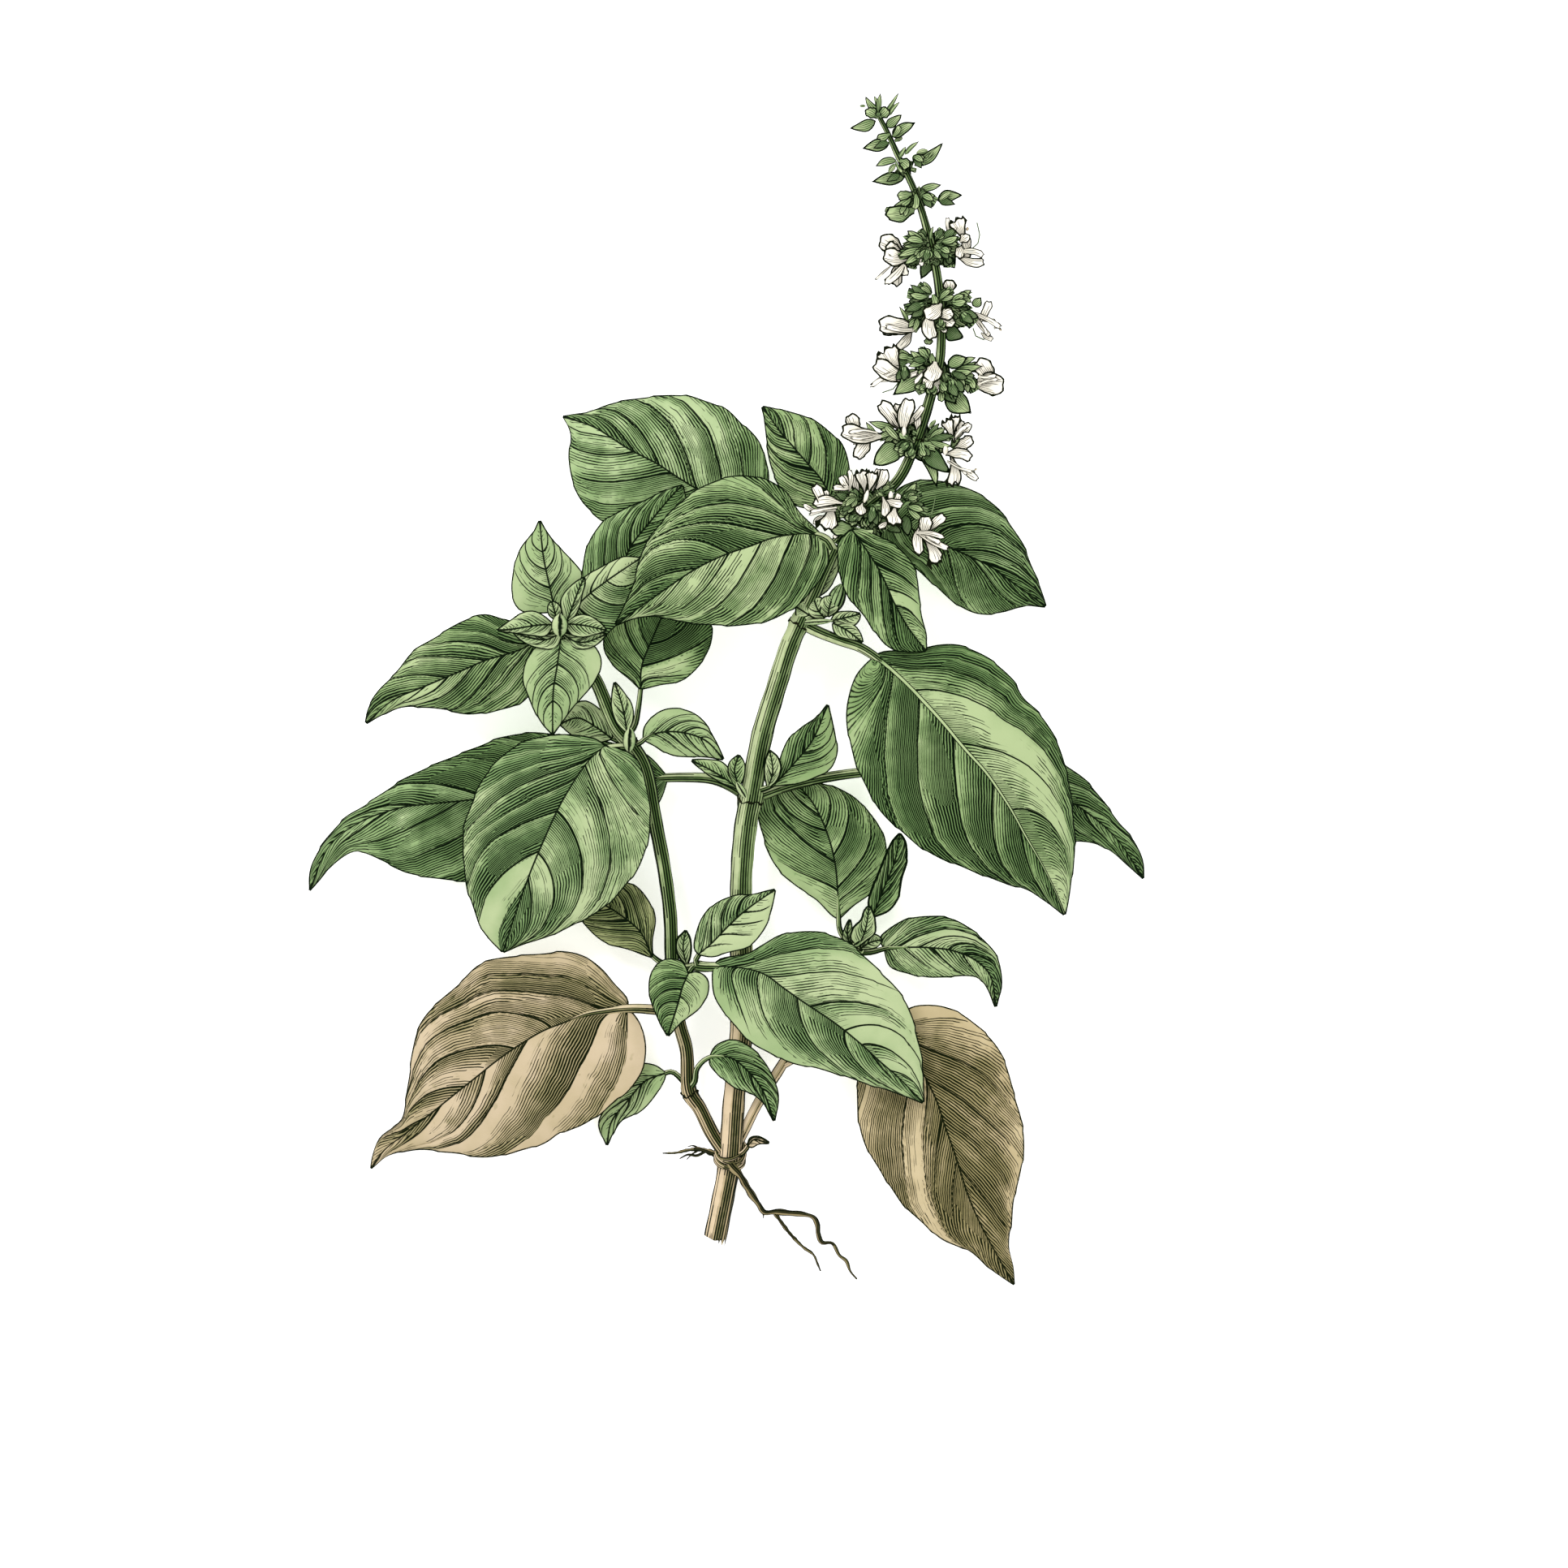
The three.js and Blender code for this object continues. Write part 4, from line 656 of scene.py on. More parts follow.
    "leaf_right_back": ("deep", 2, 2, "5.3 -24.5 14.5, 12 -22 13.4, 20 -20 13, 30 -18.5 12.2 / 38 -18 11.8,"
        "50 -17.5 11.4, 60 -19 10.6, 70 -22 9.4, 78 -26 7.6, 86 -32.5 4.6, 92.6 -42 0.4 / 42 -10, 52 -5.5,"
        "62 -8.5, 70 -13, 74.5 -16.7, 79 -20, 83 -24.5, 87 -30, 90 -33.5, 92.2 -38 / 44 -27, 54 -32, 66 -34,"
        "76.5 -33.5, 82 -34, 86 -36, 90 -39.5"),
    "leaf_right_big": ("mid", 4.2, 4.5, "16.3 14.7 23, 20 12.8 23.6, 25 10.8 24.2, 30 9 24.8 / 33 7.2 25.2,"
        "38 3 26.6, 43 -2 27.8, 48 -7.5 28.6, 53 -13.5 28.8, 57.5 -18.5 28.2, 62 -25 26.4, 66 -32 23.6,"
        "70 -39 20, 73 -45 16.8, 75 -50 14 / 34.6 8, 42 8.4, 47 9.5, 51 9.5, 56 7.7, 60 5, 63.5 1.5,"
        "65.5 -2, 69 -5.5, 71.5 -9, 73.5 -13, 74.7 -17, 76 -23, 76.7 -30, 77 -35, 76.4 -41, 75.6 -47 /"
        "31 5.4, 29 3, 27.5 -1, 26.8 -6, 27.5 -11, 29.3 -17.5, 31.5 -22, 34 -26.5, 37.5 -30, 43.5 -35,"
        "47 -37, 52 -39, 57 -41, 62 -42.8, 67 -44.3, 70.5 -46.5"),
    "leaf_right_lower": ("mid", 1.4, 1.4, "29.4 -57.8 9.9, 26.8 -56 10.3, 25.2 -53.5 10.8 / 24.9 -51 11.2,"
        "24.7 -45 12.2, 24 -38 12.4, 22 -31 11.4, 19 -25 10, 15 -20.5 8.8 / 23.4 -50, 20 -46.5, 15 -43,"
        "11 -39, 8.5 -33, 7.4 -27, 10 -22.5 / 28 -48, 32 -45, 34 -41, 35.3 -36, 34 -31, 31 -27, 28 -24,"
        "22 -21.4"),
    "folded_leaf_right": ("mid", -1.6, -1.6, "31.1 -55.2 10.5, 31.6 -53.2 11.6 / 32.4 -50.6 12.6,"
        "35 -44 14.8, 37.4 -38 15.2, 38.5 -32 14.8 / 31.6 -47.5, 33 -43, 35.5 -37, 36.8 -34 / 36 -49,"
        "38 -46, 38.7 -42, 39.8 -38, 39.6 -34"),
    "leaf_low_right_side": ("fresh", 1.6, 1.4, "29 -58.4 9.8, 32 -58.4 9.4 / 35 -57.5 9.8, 43 -57.3 9.8,"
        "50 -58 9.4, 55 -60 8.6, 58.5 -63.5 7.2, 59.8 -70.5 4.4 / 34 -55.6, 36 -53.5, 40 -51.3, 45 -50.7,"
        "50 -51.2, 54 -53.5, 57.5 -56.5, 60 -60, 60.8 -65 / 36.4 -61.4, 41 -63, 45 -63.7, 50 -63.5,"
        "56 -63.7, 58.2 -66.4"),
    "brown_leaf_right": ("brown", 2.2, 2.2, "12.6 -83 6.4, 18 -80.2 5.9, 27 -77 6.8, 34.6 -75 8 /"
        "37 -74.8 8.4, 40.5 -79 8.8, 43.5 -85 8.8, 46.5 -91 8.4, 48.5 -97 7.8, 51 -104 6.8, 53.5 -112 5.4,"
        "56.5 -119 3.6, 60 -125.5 1.9, 63.9 -132.3 0.3 / 40.5 -71, 46 -70.3, 51 -71.7, 55 -74.5, 59.5 -79,"
        "62 -84, 63.3 -89, 65 -95, 65.8 -100, 65.3 -106, 63.8 -112, 63 -118, 62.4 -124, 63.5 -128 /"
        "33.4 -78, 30.5 -82, 29.3 -87, 29.3 -92, 30 -98, 32 -103, 34.5 -107, 37 -111, 40 -115, 44 -118.5,"
        "48 -122, 54 -124.5, 60 -129.6"),
    "front_leaf_light": ("fresh", 3, 2.6, "-6.6 -61.4 15.1, -4.6 -61.6 16.7 / -2.8 -61.5 17.8, 3 -61.8 19.2,"
        "8 -63 20.2, 13 -66.5 20.8, 18 -70 20.8, 24 -74 20.2, 29 -78 18.8, 34 -82.5 16.8, 39 -87 14.4,"
        "43.6 -91.7 12 / -1.6 -60.2, 5 -58.8, 8 -57, 12 -54.8, 17 -54, 22 -54.5, 27 -56.5, 31 -60, 34 -63,"
        "37 -66, 40 -70.5, 42 -77, 43.2 -83 / -3 -64, -2.5 -68, 0 -72, 3 -75.5, 6 -78.5, 10 -80.5, 14 -82.5,"
        "20 -83.8, 26 -85.5, 32 -87.5, 38 -89.4"),
    "front_leaf_up": ("fresh", 0.8, 0.8, "-6.5 -61 16, -6.7 -59.9 17.6 / -6.2 -58.8 18.5, -3.5 -56.6 19.2,"
        "1 -52 20, 5 -48.5 20, 10.8 -44.5 19 / -7 -57.5, -6.5 -54, -5 -50.5, -2 -47.5, 2 -46, 6 -45.7 /"
        "-3.2 -59.2, 0 -58.3, 5 -56.8, 8 -53.5, 9.6 -49.6"),
    "front_leaf_down": ("mid", 1, 1, "-7.1 -61.5 14.4, -8 -62.4 16.2 / -8.4 -63 16.7, -9.7 -66 16.9,"
        "-10.8 -70 16, -13 -76.9 13.8 / -6.4 -62.8, -4.4 -64.2, -4.2 -67, -6 -70.5, -10 -73.6 / -10 -60.4,"
        "-13.8 -60.2, -16.5 -63, -16.8 -68, -15 -73"),
    "lower_node_leaf_left": ("fresh", 0.7, 0.4, "-8.2 -89 7, -10 -86.6 7, -12 -85 6.4 / -13.4 -85.2 6,"
        "-18 -87 4.8, -22 -91.5 3.4, -25.5 -96 2.2, -26.6 -101.3 1.2 / -14 -87, -15.5 -89.5, -18 -92.5,"
        "-20 -94, -23.5 -95.7, -25.3 -98.4 / -16 -83.6, -19.6 -83.4, -23 -86, -25 -91, -27 -93.5,"
        "-28.2 -96.5"),
    "lower_node_leaf_right": ("deep", 1, 1, "-8.1 -88.6 7.2, -7 -87 9.4, -6.6 -84.4 11.2, -5 -82.4 12.4 /"
        "-3.6 -81.5 13, 1 -81.8 13.8, 5 -85 13.4, 8 -89 12.2, 10.6 -95.8 10 / -2.6 -79.6, -1 -78.5, 2 -78,"
        "5 -79.5, 8 -82.5, 10 -86, 11.3 -90 / -3.6 -83.2, -1 -86, 2 -88.3, 5 -89.2, 8.5 -91.8"),
    "withered_bract": ("tan", -0.5, 0.5, "1.4 -104.3 5.4, 4 -102.6 6.4 / 4.7 -101.4 6.8, 6.2 -99.9 7,"
        "7.8 -100.3 6.8, 9.5 -100.7 6.2 / 5.4 -99.8, 7 -99.5 / 5.6 -101.6, 7.2 -100.8"),
}


# Leaf markings: each half of a leaf has a row for each side vein, from its base to its tip. A row is the
# line (how dark, how far it reaches, 0 to 9), then where the vein lies along the leaf, in percent, at the
# midrib, one third out, two thirds out and at the margin, and then the strokes of painted shade before it,
# those after it and the wash before it (painted shade and highlight), each at the midrib, half-way and at
# the margin, 0 to 9. The last entry is the painted-shade strokes and the wash beyond the last vein. A half
# that has no rows of its own is a plain one.
plainHalf = ("79 8 24 42 60 520 000 443, 89 26 40 57 74 530 000 443, 89 45 56 70 85 520 000 443,"
    "78 63 72 83 94 310 000 443, 200 443")
# A half hatched all over with painted shade.
shadedHalf = ("79 8 24 42 60 753 200 654, 89 26 40 57 74 764 200 654, 89 45 56 70 85 764 200 654,"
    "78 63 72 83 94 664 210 654, 664 665")
plainLeaflet = "57 10 22 38 60 420 000 321, 67 36 46 60 80 430 000 321, 430 321"
markings = {
    "side_shoot_leaf_right": dict(
        left="69 10 20 35 50 200 000 221, 99 30 40 55 70 200 000 221, 69 50 60 70 85 210 000 221, 200 110",
        right="99 10 20 35 50 257 000 245, 89 30 42 55 70 279 000 257, 89 52 62 75 88 378 000 256, 245 134"),
    "leaf_right_big": dict(paleRib=0.42,
        left="79 0 1 12 51 787 000 777, 98 5 8 27 65 995 258 666, 98 15 24 45 77 248 000 224,"
        "97 35 47 64 89 607 500 003, 86 60 66 78 98 513 673 002, 235 113",
        right="77 3 10 17 23 853 000 554, 99 6 14 29 53 897 000 443, 99 17 30 48 73 998 000 334,"
        "99 32 48 66 86 998 000 333, 99 50 64 77 90 897 000 334, 99 65 81 90 95 985 500 444, 975 555"),
    "leaf_middle_left_front": dict(
        left="70 -4 6 16 27 555 000 555, 98 -2 11 24 34 345 223 333, 99 11 23 44 77 443 765 323,"
        "99 33 44 63 88 211 764 312, 99 52 63 81 100 366 100 333, 99 63 79 92 103 253 786 222, 876 444",
        right="50 -9 11 31 50 985 300 665, 99 6 23 42 63 996 000 531, 59 17 36 52 64 874 000 432,"
        "99 33 46 60 78 985 000 532, 99 51 65 78 87 897 000 653, 90 66 88 98 104 100 987 111, 976 565"),
    "leaf_upper_left_front": dict(
        left="70 -10 0 5 32 777 000 333, 88 5 8 19 47 876 300 323, 99 11 22 38 59 667 300 112,"
        "97 25 40 57 78 347 000 002, 96 39 56 75 94 256 450 001, 76 60 78 87 95 343 200 000, 764 001",
        right="78 -11 5 20 34 974 000 433, 98 0 12 40 78 984 300 531, 99 15 36 56 71 974 300 420,"
        "99 40 50 63 81 983 300 410, 98 53 73 86 92 974 000 310, 986 433"),
    "leaf_top_left": dict(
        left="79 9 21 35 53 555 000 333, 79 30 40 55 73 555 200 333, 98 42 56 69 79 743 742 233,"
        "98 61 73 83 88 432 376 222, 77 72 87 93 96 322 000 122, 222 222",
        right="79 11 15 25 42 765 666 444, 99 20 26 40 62 330 885 212, 99 29 44 59 73 331 775 111,"
        "99 49 63 77 89 442 663 111, 89 59 77 89 95 532 864 111, 875 343"),
    "brown_leaf_left": dict(
        left="86 -20 -5 12 35 000 985 222, 87 2 18 38 64 000 997 223, 98 33 54 70 85 000 997 223,"
        "95 49 63 81 103 000 642 223, 95 67 83 94 101 000 763 233, 222 333",
        right="57 -35 -20 0 34 432 220 444, 79 -10 2 22 62 653 987 553, 99 4 18 39 70 885 640 442,"
        "99 24 34 54 85 750 557 311, 98 37 52 74 100 432 888 222, 97 57 70 83 95 210 887 222,"
        "97 73 83 87 95 200 775 333, 432 444"),
    "brown_leaf_right": dict(
        left="76 -10 0 10 24 200 443 333, 88 2 18 35 55 653 874 444, 57 20 37 53 66 763 760 443,"
        "57 34 51 66 77 762 760 443, 67 52 71 80 85 773 773 543, 775 554",
        right="56 -30 -10 10 30 655 000 333, 87 4 26 47 67 667 443 333, 66 21 43 65 85 211 666 322,"
        "77 35 51 67 81 665 876 433, 77 49 64 75 85 776 776 555, 886 556"),
    "front_leaf_light": dict(
        left="70 -10 0 10 20 874 000 876, 99 6 14 30 53 874 000 986, 89 21 33 48 65 530 000 311,"
        "96 40 51 65 84 430 661 112, 99 56 63 75 93 100 100 322, 98 64 76 94 106 000 441 212,"
        "77 79 88 98 110 000 553 212, 332 344",
        right="80 3 3 4 9 800 000 554, 98 9 10 19 37 850 000 443, 97 17 22 36 61 830 000 333,"
        "98 34 43 57 78 873 100 333, 98 56 63 78 101 874 000 333, 77 69 85 100 110 640 530 444, 764 555"),
    "leaf_right_top": dict(
        left="99 7 18 38 67 876 300 644, 99 27 35 58 87 766 885 323, 99 37 65 85 95 776 987 423,"
        "99 54 82 94 102 677 987 322, 999 666",
        right="79 -30 -10 25 55 776 000 555, 89 32 41 50 65 765 552 544, 87 45 69 82 86 875 554 443,"
        "87 65 86 95 100 775 775 434, 887 555"),
    "leaf_right_lower": dict(
        left="88 19 26 36 53 320 643 222, 99 38 52 72 92 654 775 333, 98 59 67 80 95 665 654 443,"
        "88 69 84 97 105 554 000 323, 776 444",
        right="88 11 18 27 39 432 221 333, 99 20 30 44 63 665 115 334, 99 42 54 66 80 776 000 343,"
        "99 60 70 80 90 554 333 233, 555 444"),
    "leaf_middle_left_back": dict(
        left="79 20 35 50 65 777 000 444, 89 33 50 66 80 877 764 554, 98 51 68 87 105 653 653 443,"
        "87 69 85 95 100 553 332 333, 554 333",
        right="79 20 24 30 42 666 000 444, 89 34 37 43 55 886 666 555, 99 44 53 61 69 985 221 554,"
        "98 62 70 82 100 874 553 333, 665 333"),
    "side_shoot_leaf_left": dict(
        left="88 1 22 43 64 666 554 222, 99 21 37 51 63 664 553 101, 99 37 54 70 85 564 110 111,"
        "98 50 67 86 100 432 110 000, 76 61 74 84 92 111 000 000, 222 222",
        right="88 6 19 33 47 776 443 454, 99 19 30 43 59 873 100 433, 99 30 44 57 71 874 200 222,"
        "99 51 62 71 78 861 663 111, 88 70 85 97 106 776 443 212, 544 222"),
    "leaf_under_flowers": dict(
        left="79 5 18 35 50 874 774 324, 89 28 40 52 62 762 652 213, 98 48 55 63 72 531 100 124,"
        "99 60 66 76 88 100 662 025, 411 134",
        right="89 5 25 40 55 886 544 554, 88 20 40 55 70 664 553 444, 99 35 55 70 82 332 885 333,"
        "89 50 68 80 90 886 774 555, 987 666"),
    "leaf_upper_middle": dict(
        left="89 15 30 50 70 654 553 222, 99 35 48 62 80 874 885 322, 99 52 62 72 82 421 776 222,"
        "99 67 76 84 92 542 663 443, 333 232",
        right="79 10 20 35 50 666 000 666, 89 20 33 50 68 885 332 555, 99 40 50 62 74 331 665 434,"
        "68 55 68 78 88 322 222 334, 89 66 80 90 97 441 886 333, 764 333"),
    "hanging_leaf": dict(
        left="89 10 22 36 50 666 553 334, 99 32 45 58 70 333 766 444, 89 46 60 72 85 221 777 555, 999 999",
        right="88 3 15 25 35 553 332 434, 99 24 36 50 62 207 995 106, 89 50 60 75 85 999 999 788, 999 999"),
    "leaf_right_back": dict(
        left="79 20 30 45 60 777 200 666, 89 42 52 65 78 777 300 665, 89 62 72 83 93 776 300 554, 776 555",
        right="79 20 35 50 65 777 200 666, 89 45 60 72 82 765 300 554, 99 66 75 88 100 875 200 444,"
        "776 555"),
    "leaf_low_right_side": dict(
        left="77 0 12 30 50 556 000 223, 99 7 22 45 72 785 000 333, 88 22 38 58 80 300 310 222,"
        "78 42 50 66 85 521 776 223, 99 52 64 78 93 875 886 444, 987 666",
        right="78 0 5 15 30 876 334 444, 76 12 22 36 50 544 433 334, 98 30 42 55 68 432 543 333,"
        "98 50 60 70 78 762 101 323, 552 333"),
    "front_leaf_up": dict(
        left="78 0 12 30 50 775 443 333, 99 16 25 36 48 552 663 222, 89 30 40 52 65 641 872 223,"
        "99 52 60 70 80 742 553 322, 665 333",
        right="66 10 22 34 45 210 210 222, 87 28 40 50 60 000 220 111, 97 42 54 66 75 110 110 111,"
        "87 60 70 80 90 110 000 111, 210 112"),
    "small_dark_leaf": dict(left=shadedHalf, right=shadedHalf),
    "leaf_behind_top_left": dict(left=shadedHalf, right=shadedHalf),
    "folded_leaf_right": dict(left=shadedHalf, right=shadedHalf),
    "lower_node_leaf_right": dict(left=shadedHalf, right=shadedHalf),
    "front_leaf_down": dict(right=shadedHalf),
    "middle_node_leaf_right": dict(left=shadedHalf),
}


leafForm = dict(
    thickness=0.4,
    cell=0.85,                # the size of a face, mm
    smallCell=0.75,           # of that on a leaf shorter than smallLength
    smallLength=30,
    leafletLength=16,         # a plain leaf shorter than this has the marks of a leaflet
    leastRows=14,
    leastColumns=6,
    leastHalfWidth=0.35,
    fullLength=60,            # a leaf this long is quilted in full
    quilt=0.42,               # how far the blade swells between veins
    veinDepth=0.2,
    veinWidth=0.12,           # as a share of the way to the next vein
    ribDepth=0.35,
    ribWidth=0.8,
    toothSpace=7.5,
    toothHeight=0.28,
    toothedLength=35,         # shorter leaves have lower teeth
    toothCurve=2.2,
    marginInset=0.12,
    edgeWave=0.35,
    waves=19,
    strokeAlongRib=0.95,
    stalkRadius=(0.65, 1.15),
    ribLengthPerRadius=50,
    stalkSizes=(1.15, 0.85, 0.45, 0.16),
    # How deep the stalk lies under the midrib, by share of its length; some stalks run onto the blade first.
    stalkUnder=((0.04, 1.0), (0.16, 0.95), (0.3, 0.85), (0.45, 0.75), (0.6, 0.6), (0.75, 0.5)),
    stalkOver=((0.02, 0.1), (0.07, 0.1), (0.13, 0.25), (0.2, 0.5), (0.3, 0.75), (0.45, 0.7), (0.6, 0.55),
               (0.75, 0.45)),
    stalkAbove=("lower_node_leaf_right", "brown_leaf_left", "leaf_low_right_side", "leaf_right_lower",
                "left_axil_leaf_right"),
)


def readShape(text, *droop):
    # The typed outlines as points; a leaflet has no stalk.
    outlines = [points(part) for part in text.split("/")]
    return dict(zip(("right", "left", "rib", "stalk"), reversed(outlines)), droop=droop)


def digits(word):
    return [int(letter) / 9 for letter in word]


def acrossBlend(rows, interval, out):
    # Each row holds a value at the midrib, half-way and at the margin; interval picks the row.
    near, middle, far = [np.array(column)[interval] for column in zip(*map(digits, rows))]
    first = near + (middle - near) * smooth(out, 0.0, 0.55)
    return first + (far - first) * smooth(out, 0.5, 1.0)


def slopeSize(values, xs, ys):
    # How fast values change per millimetre over a curved grid of places.
    xa, xb = np.gradient(xs)
    ya, yb = np.gradient(ys)
    va, vb = np.gradient(values)
    alongSq, cross, acrossSq = xa * xa + ya * ya, xa * xb + ya * yb, xb * xb + yb * yb
    area = np.maximum(alongSq * acrossSq - cross * cross, 1e-6)
    size = (acrossSq * va * va - 2 * cross * va * vb + alongSq * vb * vb) / area
    return np.sqrt(np.maximum(size, 1e-8))


def toothedMargin(ribCurve, margin, shares, sign, form, seed):
    # The edge of half a blade, moved outward where its teeth stand.
    ribWay = ribCurve.direction(shares)[:, :2]
    ribWay /= np.linalg.norm(ribWay, axis=1, keepdims=True)
    way = ribWay + margin.direction(shares)
    way /= np.linalg.norm(way, axis=1, keepdims=True)
    outward = sign * np.stack([-way[:, 1], way[:, 0]], axis=1)
    run = shares * margin.length / form["toothSpace"] + seed
    tooth = (run % 1) ** form["toothCurve"] * smooth(shares, 0.12, 0.25) * (1 - smooth(shares, 0.88, 0.96))
    tooth *= form["toothHeight"] * min(1, ribCurve.length / form["toothedLength"])
    return margin.at(shares) + outward * (form["leastHalfWidth"] + tooth - form["marginInset"])[:, None]


def veinPhase(places, along, out):
    # Counts up from one side vein to the next over the half blade: a whole number on each vein.
    count = len(places)
    starts = np.array([place[0] for place in places])
    curves = [np.polyval(np.polyfit(np.linspace(0, 1, 4), place, 3), out[0]) for place in places]
    phase = np.empty_like(out)
    for column in range(out.shape[1]):
        crossings = np.array([curve[column] for curve in curves])
        crossings = np.maximum.accumulate(crossings + np.arange(count) * 0.004)
        first = 2 * crossings[0] - crossings[min(1, count - 1)] - 0.02
        steps = np.concatenate([[first - 0.6, first], crossings, [max(1.02, crossings[-1] + 0.12)]])
        phase[:, column] = np.interp(along[:, column], steps, [-4, -1, *range(count + 1)])
    first = 2 * starts[0] - starts[min(1, count - 1)]
    start = np.interp(phase, [-4, -1, *range(count), count], [first - 0.6, first, *starts, 1.02])
    return phase, start


def halfBlade(shape, marks, side, form, rows, columns, seed):
    # Places and drawing values of one half of a blade, on a grid from the midrib to the margin.
    sign = 1 if side == "left" else -1
    along, out = np.meshgrid(np.linspace(0, 1, rows + 1), np.linspace(0, 1, columns + 1), indexing="ij")
    ribCurve = Curve(shape["rib"])
    margin = Curve([shape["rib"][0][:2], *shape[side], shape["rib"][-1][:2]])
    shares = along[:, 0]
    rib = ribCurve.at(shares)
    edge = toothedMargin(ribCurve, margin, shares, sign, form, seed)
    xs = rib[:, :1] + (edge[:, :1] - rib[:, :1]) * out
    ys = rib[:, 1:2] + (edge[:, 1:2] - rib[:, 1:2]) * out

    *veins, last = [row.split() for row in marks.split(",")]
    count = len(veins)
    phase, start = veinPhase([[int(word) / 100 for word in vein[1:5]] for vein in veins], along, out)
    interval = np.clip(np.floor(phase).astype(int) + 1, 0, count)
    lineOf = np.clip(np.rint(phase).astype(int), 0, count - 1)
    lines = np.array([digits(vein[0]) for vein in veins])
    lineStrength, lineReach = lines[lineOf, 0], lines[lineOf, 1]
    # The painted shade before and after each vein, and the wash of painted shade and highlight.
    before = acrossBlend([vein[5] for vein in veins] + [last[0]], interval, out)
    after = acrossBlend(["000"] + [vein[6] for vein in veins], interval, out)
    washRows = [vein[7] for vein in veins] + [last[1]]
    lower = np.clip(np.floor(phase + 0.5).astype(int), 0, count)
    upper = np.clip(lower + 1, 0, count)
    lean = np.clip(phase + 0.5 - lower, 0, 1)
    wash = acrossBlend(washRows, lower, out) * (1 - lean) + acrossBlend(washRows, upper, out) * lean

    hang = shape["droop"][side == "right"] * out ** 2 * np.sqrt(np.sin(np.pi * along).clip(0))
    real = smooth(phase, -0.3, -0.1) * (1 - smooth(phase, count - 0.7, count - 0.5))
    size = min(1, ribCurve.length / form["fullLength"])
    swell = np.sin(np.pi * (phase % 1)) ** 0.8 * smooth(out, 0.02, 0.22) * (1 - smooth(out, 0.7, 1.0))
    toVein = ((phase + 0.5) % 1 - 0.5) / form["veinWidth"]
    groove = np.exp(-toVein ** 2) * real * (1 - smooth(out, 0.75, 1.0))
    inner = smooth(along, 0.03, 0.15) * (1 - smooth(along, 0.85, 0.98))
    width = np.hypot(edge[:, 0] - rib[:, 0], edge[:, 1] - rib[:, 1])[:, None]
    ribGroove = np.exp(-(out * width / form["ribWidth"]) ** 2)
    wave = np.sin(along * form["waves"] + seed * 7 + sign) * out ** 4
    lift = form["quilt"] * size * swell * inner - form["veinDepth"] * size * groove * inner
    lift += form["edgeWave"] * size * wave * inner - form["ribDepth"] * size * ribGroove * (1 - along * 0.6)
    zs = np.maximum(rib[:, 2:] - hang + lift, form["thickness"] / 2 + tubeForm["floorLevel"])

    flat = np.stack([xs.ravel(), ys.ravel()], axis=1)
    values = dict(
        strokes=start * ribCurve.length / form["strokeAlongRib"],
        phase=phase,
        across=out,
        before=before,
        after=after,
        wash=wash,
        veinStrength=real * lineStrength * (1 - smooth(out - lineReach, -0.12, 0.04)),
        edge=nearest(flat, np.vstack([rib[:1, :2], edge, rib[-1:, :2]])).reshape(xs.shape),
        ribNear=nearest(flat, rib[:, :2]).reshape(xs.shape),
        paleRib=shape["paleRib"] * (1 - along * 0.9),
    )
    values["strokeGap"] = np.clip(1 / slopeSize(values["strokes"], xs, ys), 0.1, 3)
    values["veinStep"] = np.clip(1 / slopeSize(phase, xs, ys), 0.5, 30)
    return (xs, ys, zs), values


def leafMesh(name, shape, marksName=None, form=leafForm):
    seed = sum(map(ord, name)) % 17 / 17
    marks = markings.get(marksName, {})
    shape = dict(shape, paleRib=marks.get("paleRib", 0.0))
    ribLength = Curve(shape["rib"]).length
    plain = plainHalf if ribLength > form["leafletLength"] else plainLeaflet
    rib = Curve([place[:2] for place in shape["rib"]]).dense
    widest = max(max(nearest(np.array(shape[side]), rib)) for side in ("left", "right"))
    cell = form["cell"] * (1 if ribLength > form["smallLength"] else form["smallCell"])
    rows = max(form["leastRows"], round(ribLength / cell))
    columns = max(form["leastColumns"], round(widest / cell))
    halves = {side: halfBlade(shape, marks.get(side, plain), side, form, rows, columns, seed)
              for side in ("left", "right")}

    bm = bmesh.new()
    bmesh.ops.create_grid(bm, x_segments=rows, y_segments=2 * columns, size=1)
    mesh = bpy.data.meshes.new(name)
    bm.to_mesh(mesh)
    bm.free()
    spots = np.empty(len(mesh.vertices) * 3)
    mesh.vertices.foreach_get("co", spots)
    spots = spots.reshape(-1, 3)
    row = np.rint((spots[:, 0] + 1) / 2 * rows).astype(int)
    column = np.rint(spots[:, 1] * columns).astype(int)
    for side, picked in (("left", column >= 0), ("right", column < 0)):
        for axis, grid in enumerate(halves[side][0]):
            spots[picked, axis] = grid[row[picked], np.abs(column[picked])]
    corner = np.empty(len(mesh.loops), np.int32)
    mesh.loops.foreach_get("vertex_index", corner)
    places = row[corner], np.abs(column[corner])
    leftFace = np.repeat(column[corner].reshape(-1, 4).sum(axis=1) > 0, 4)
    for value in halves["left"][1]:
        left, right = (halves[side][1][value][places] for side in ("left", "right"))
        drawn = np.where(leftFace, left, right).astype(np.float32)
        mesh.attributes.new(value, "FLOAT", "CORNER").data.foreach_set("value", drawn)
    mesh.vertices.foreach_set("co", spots.ravel().astype(np.float32))
    mesh.update()
    return mesh, ribLength


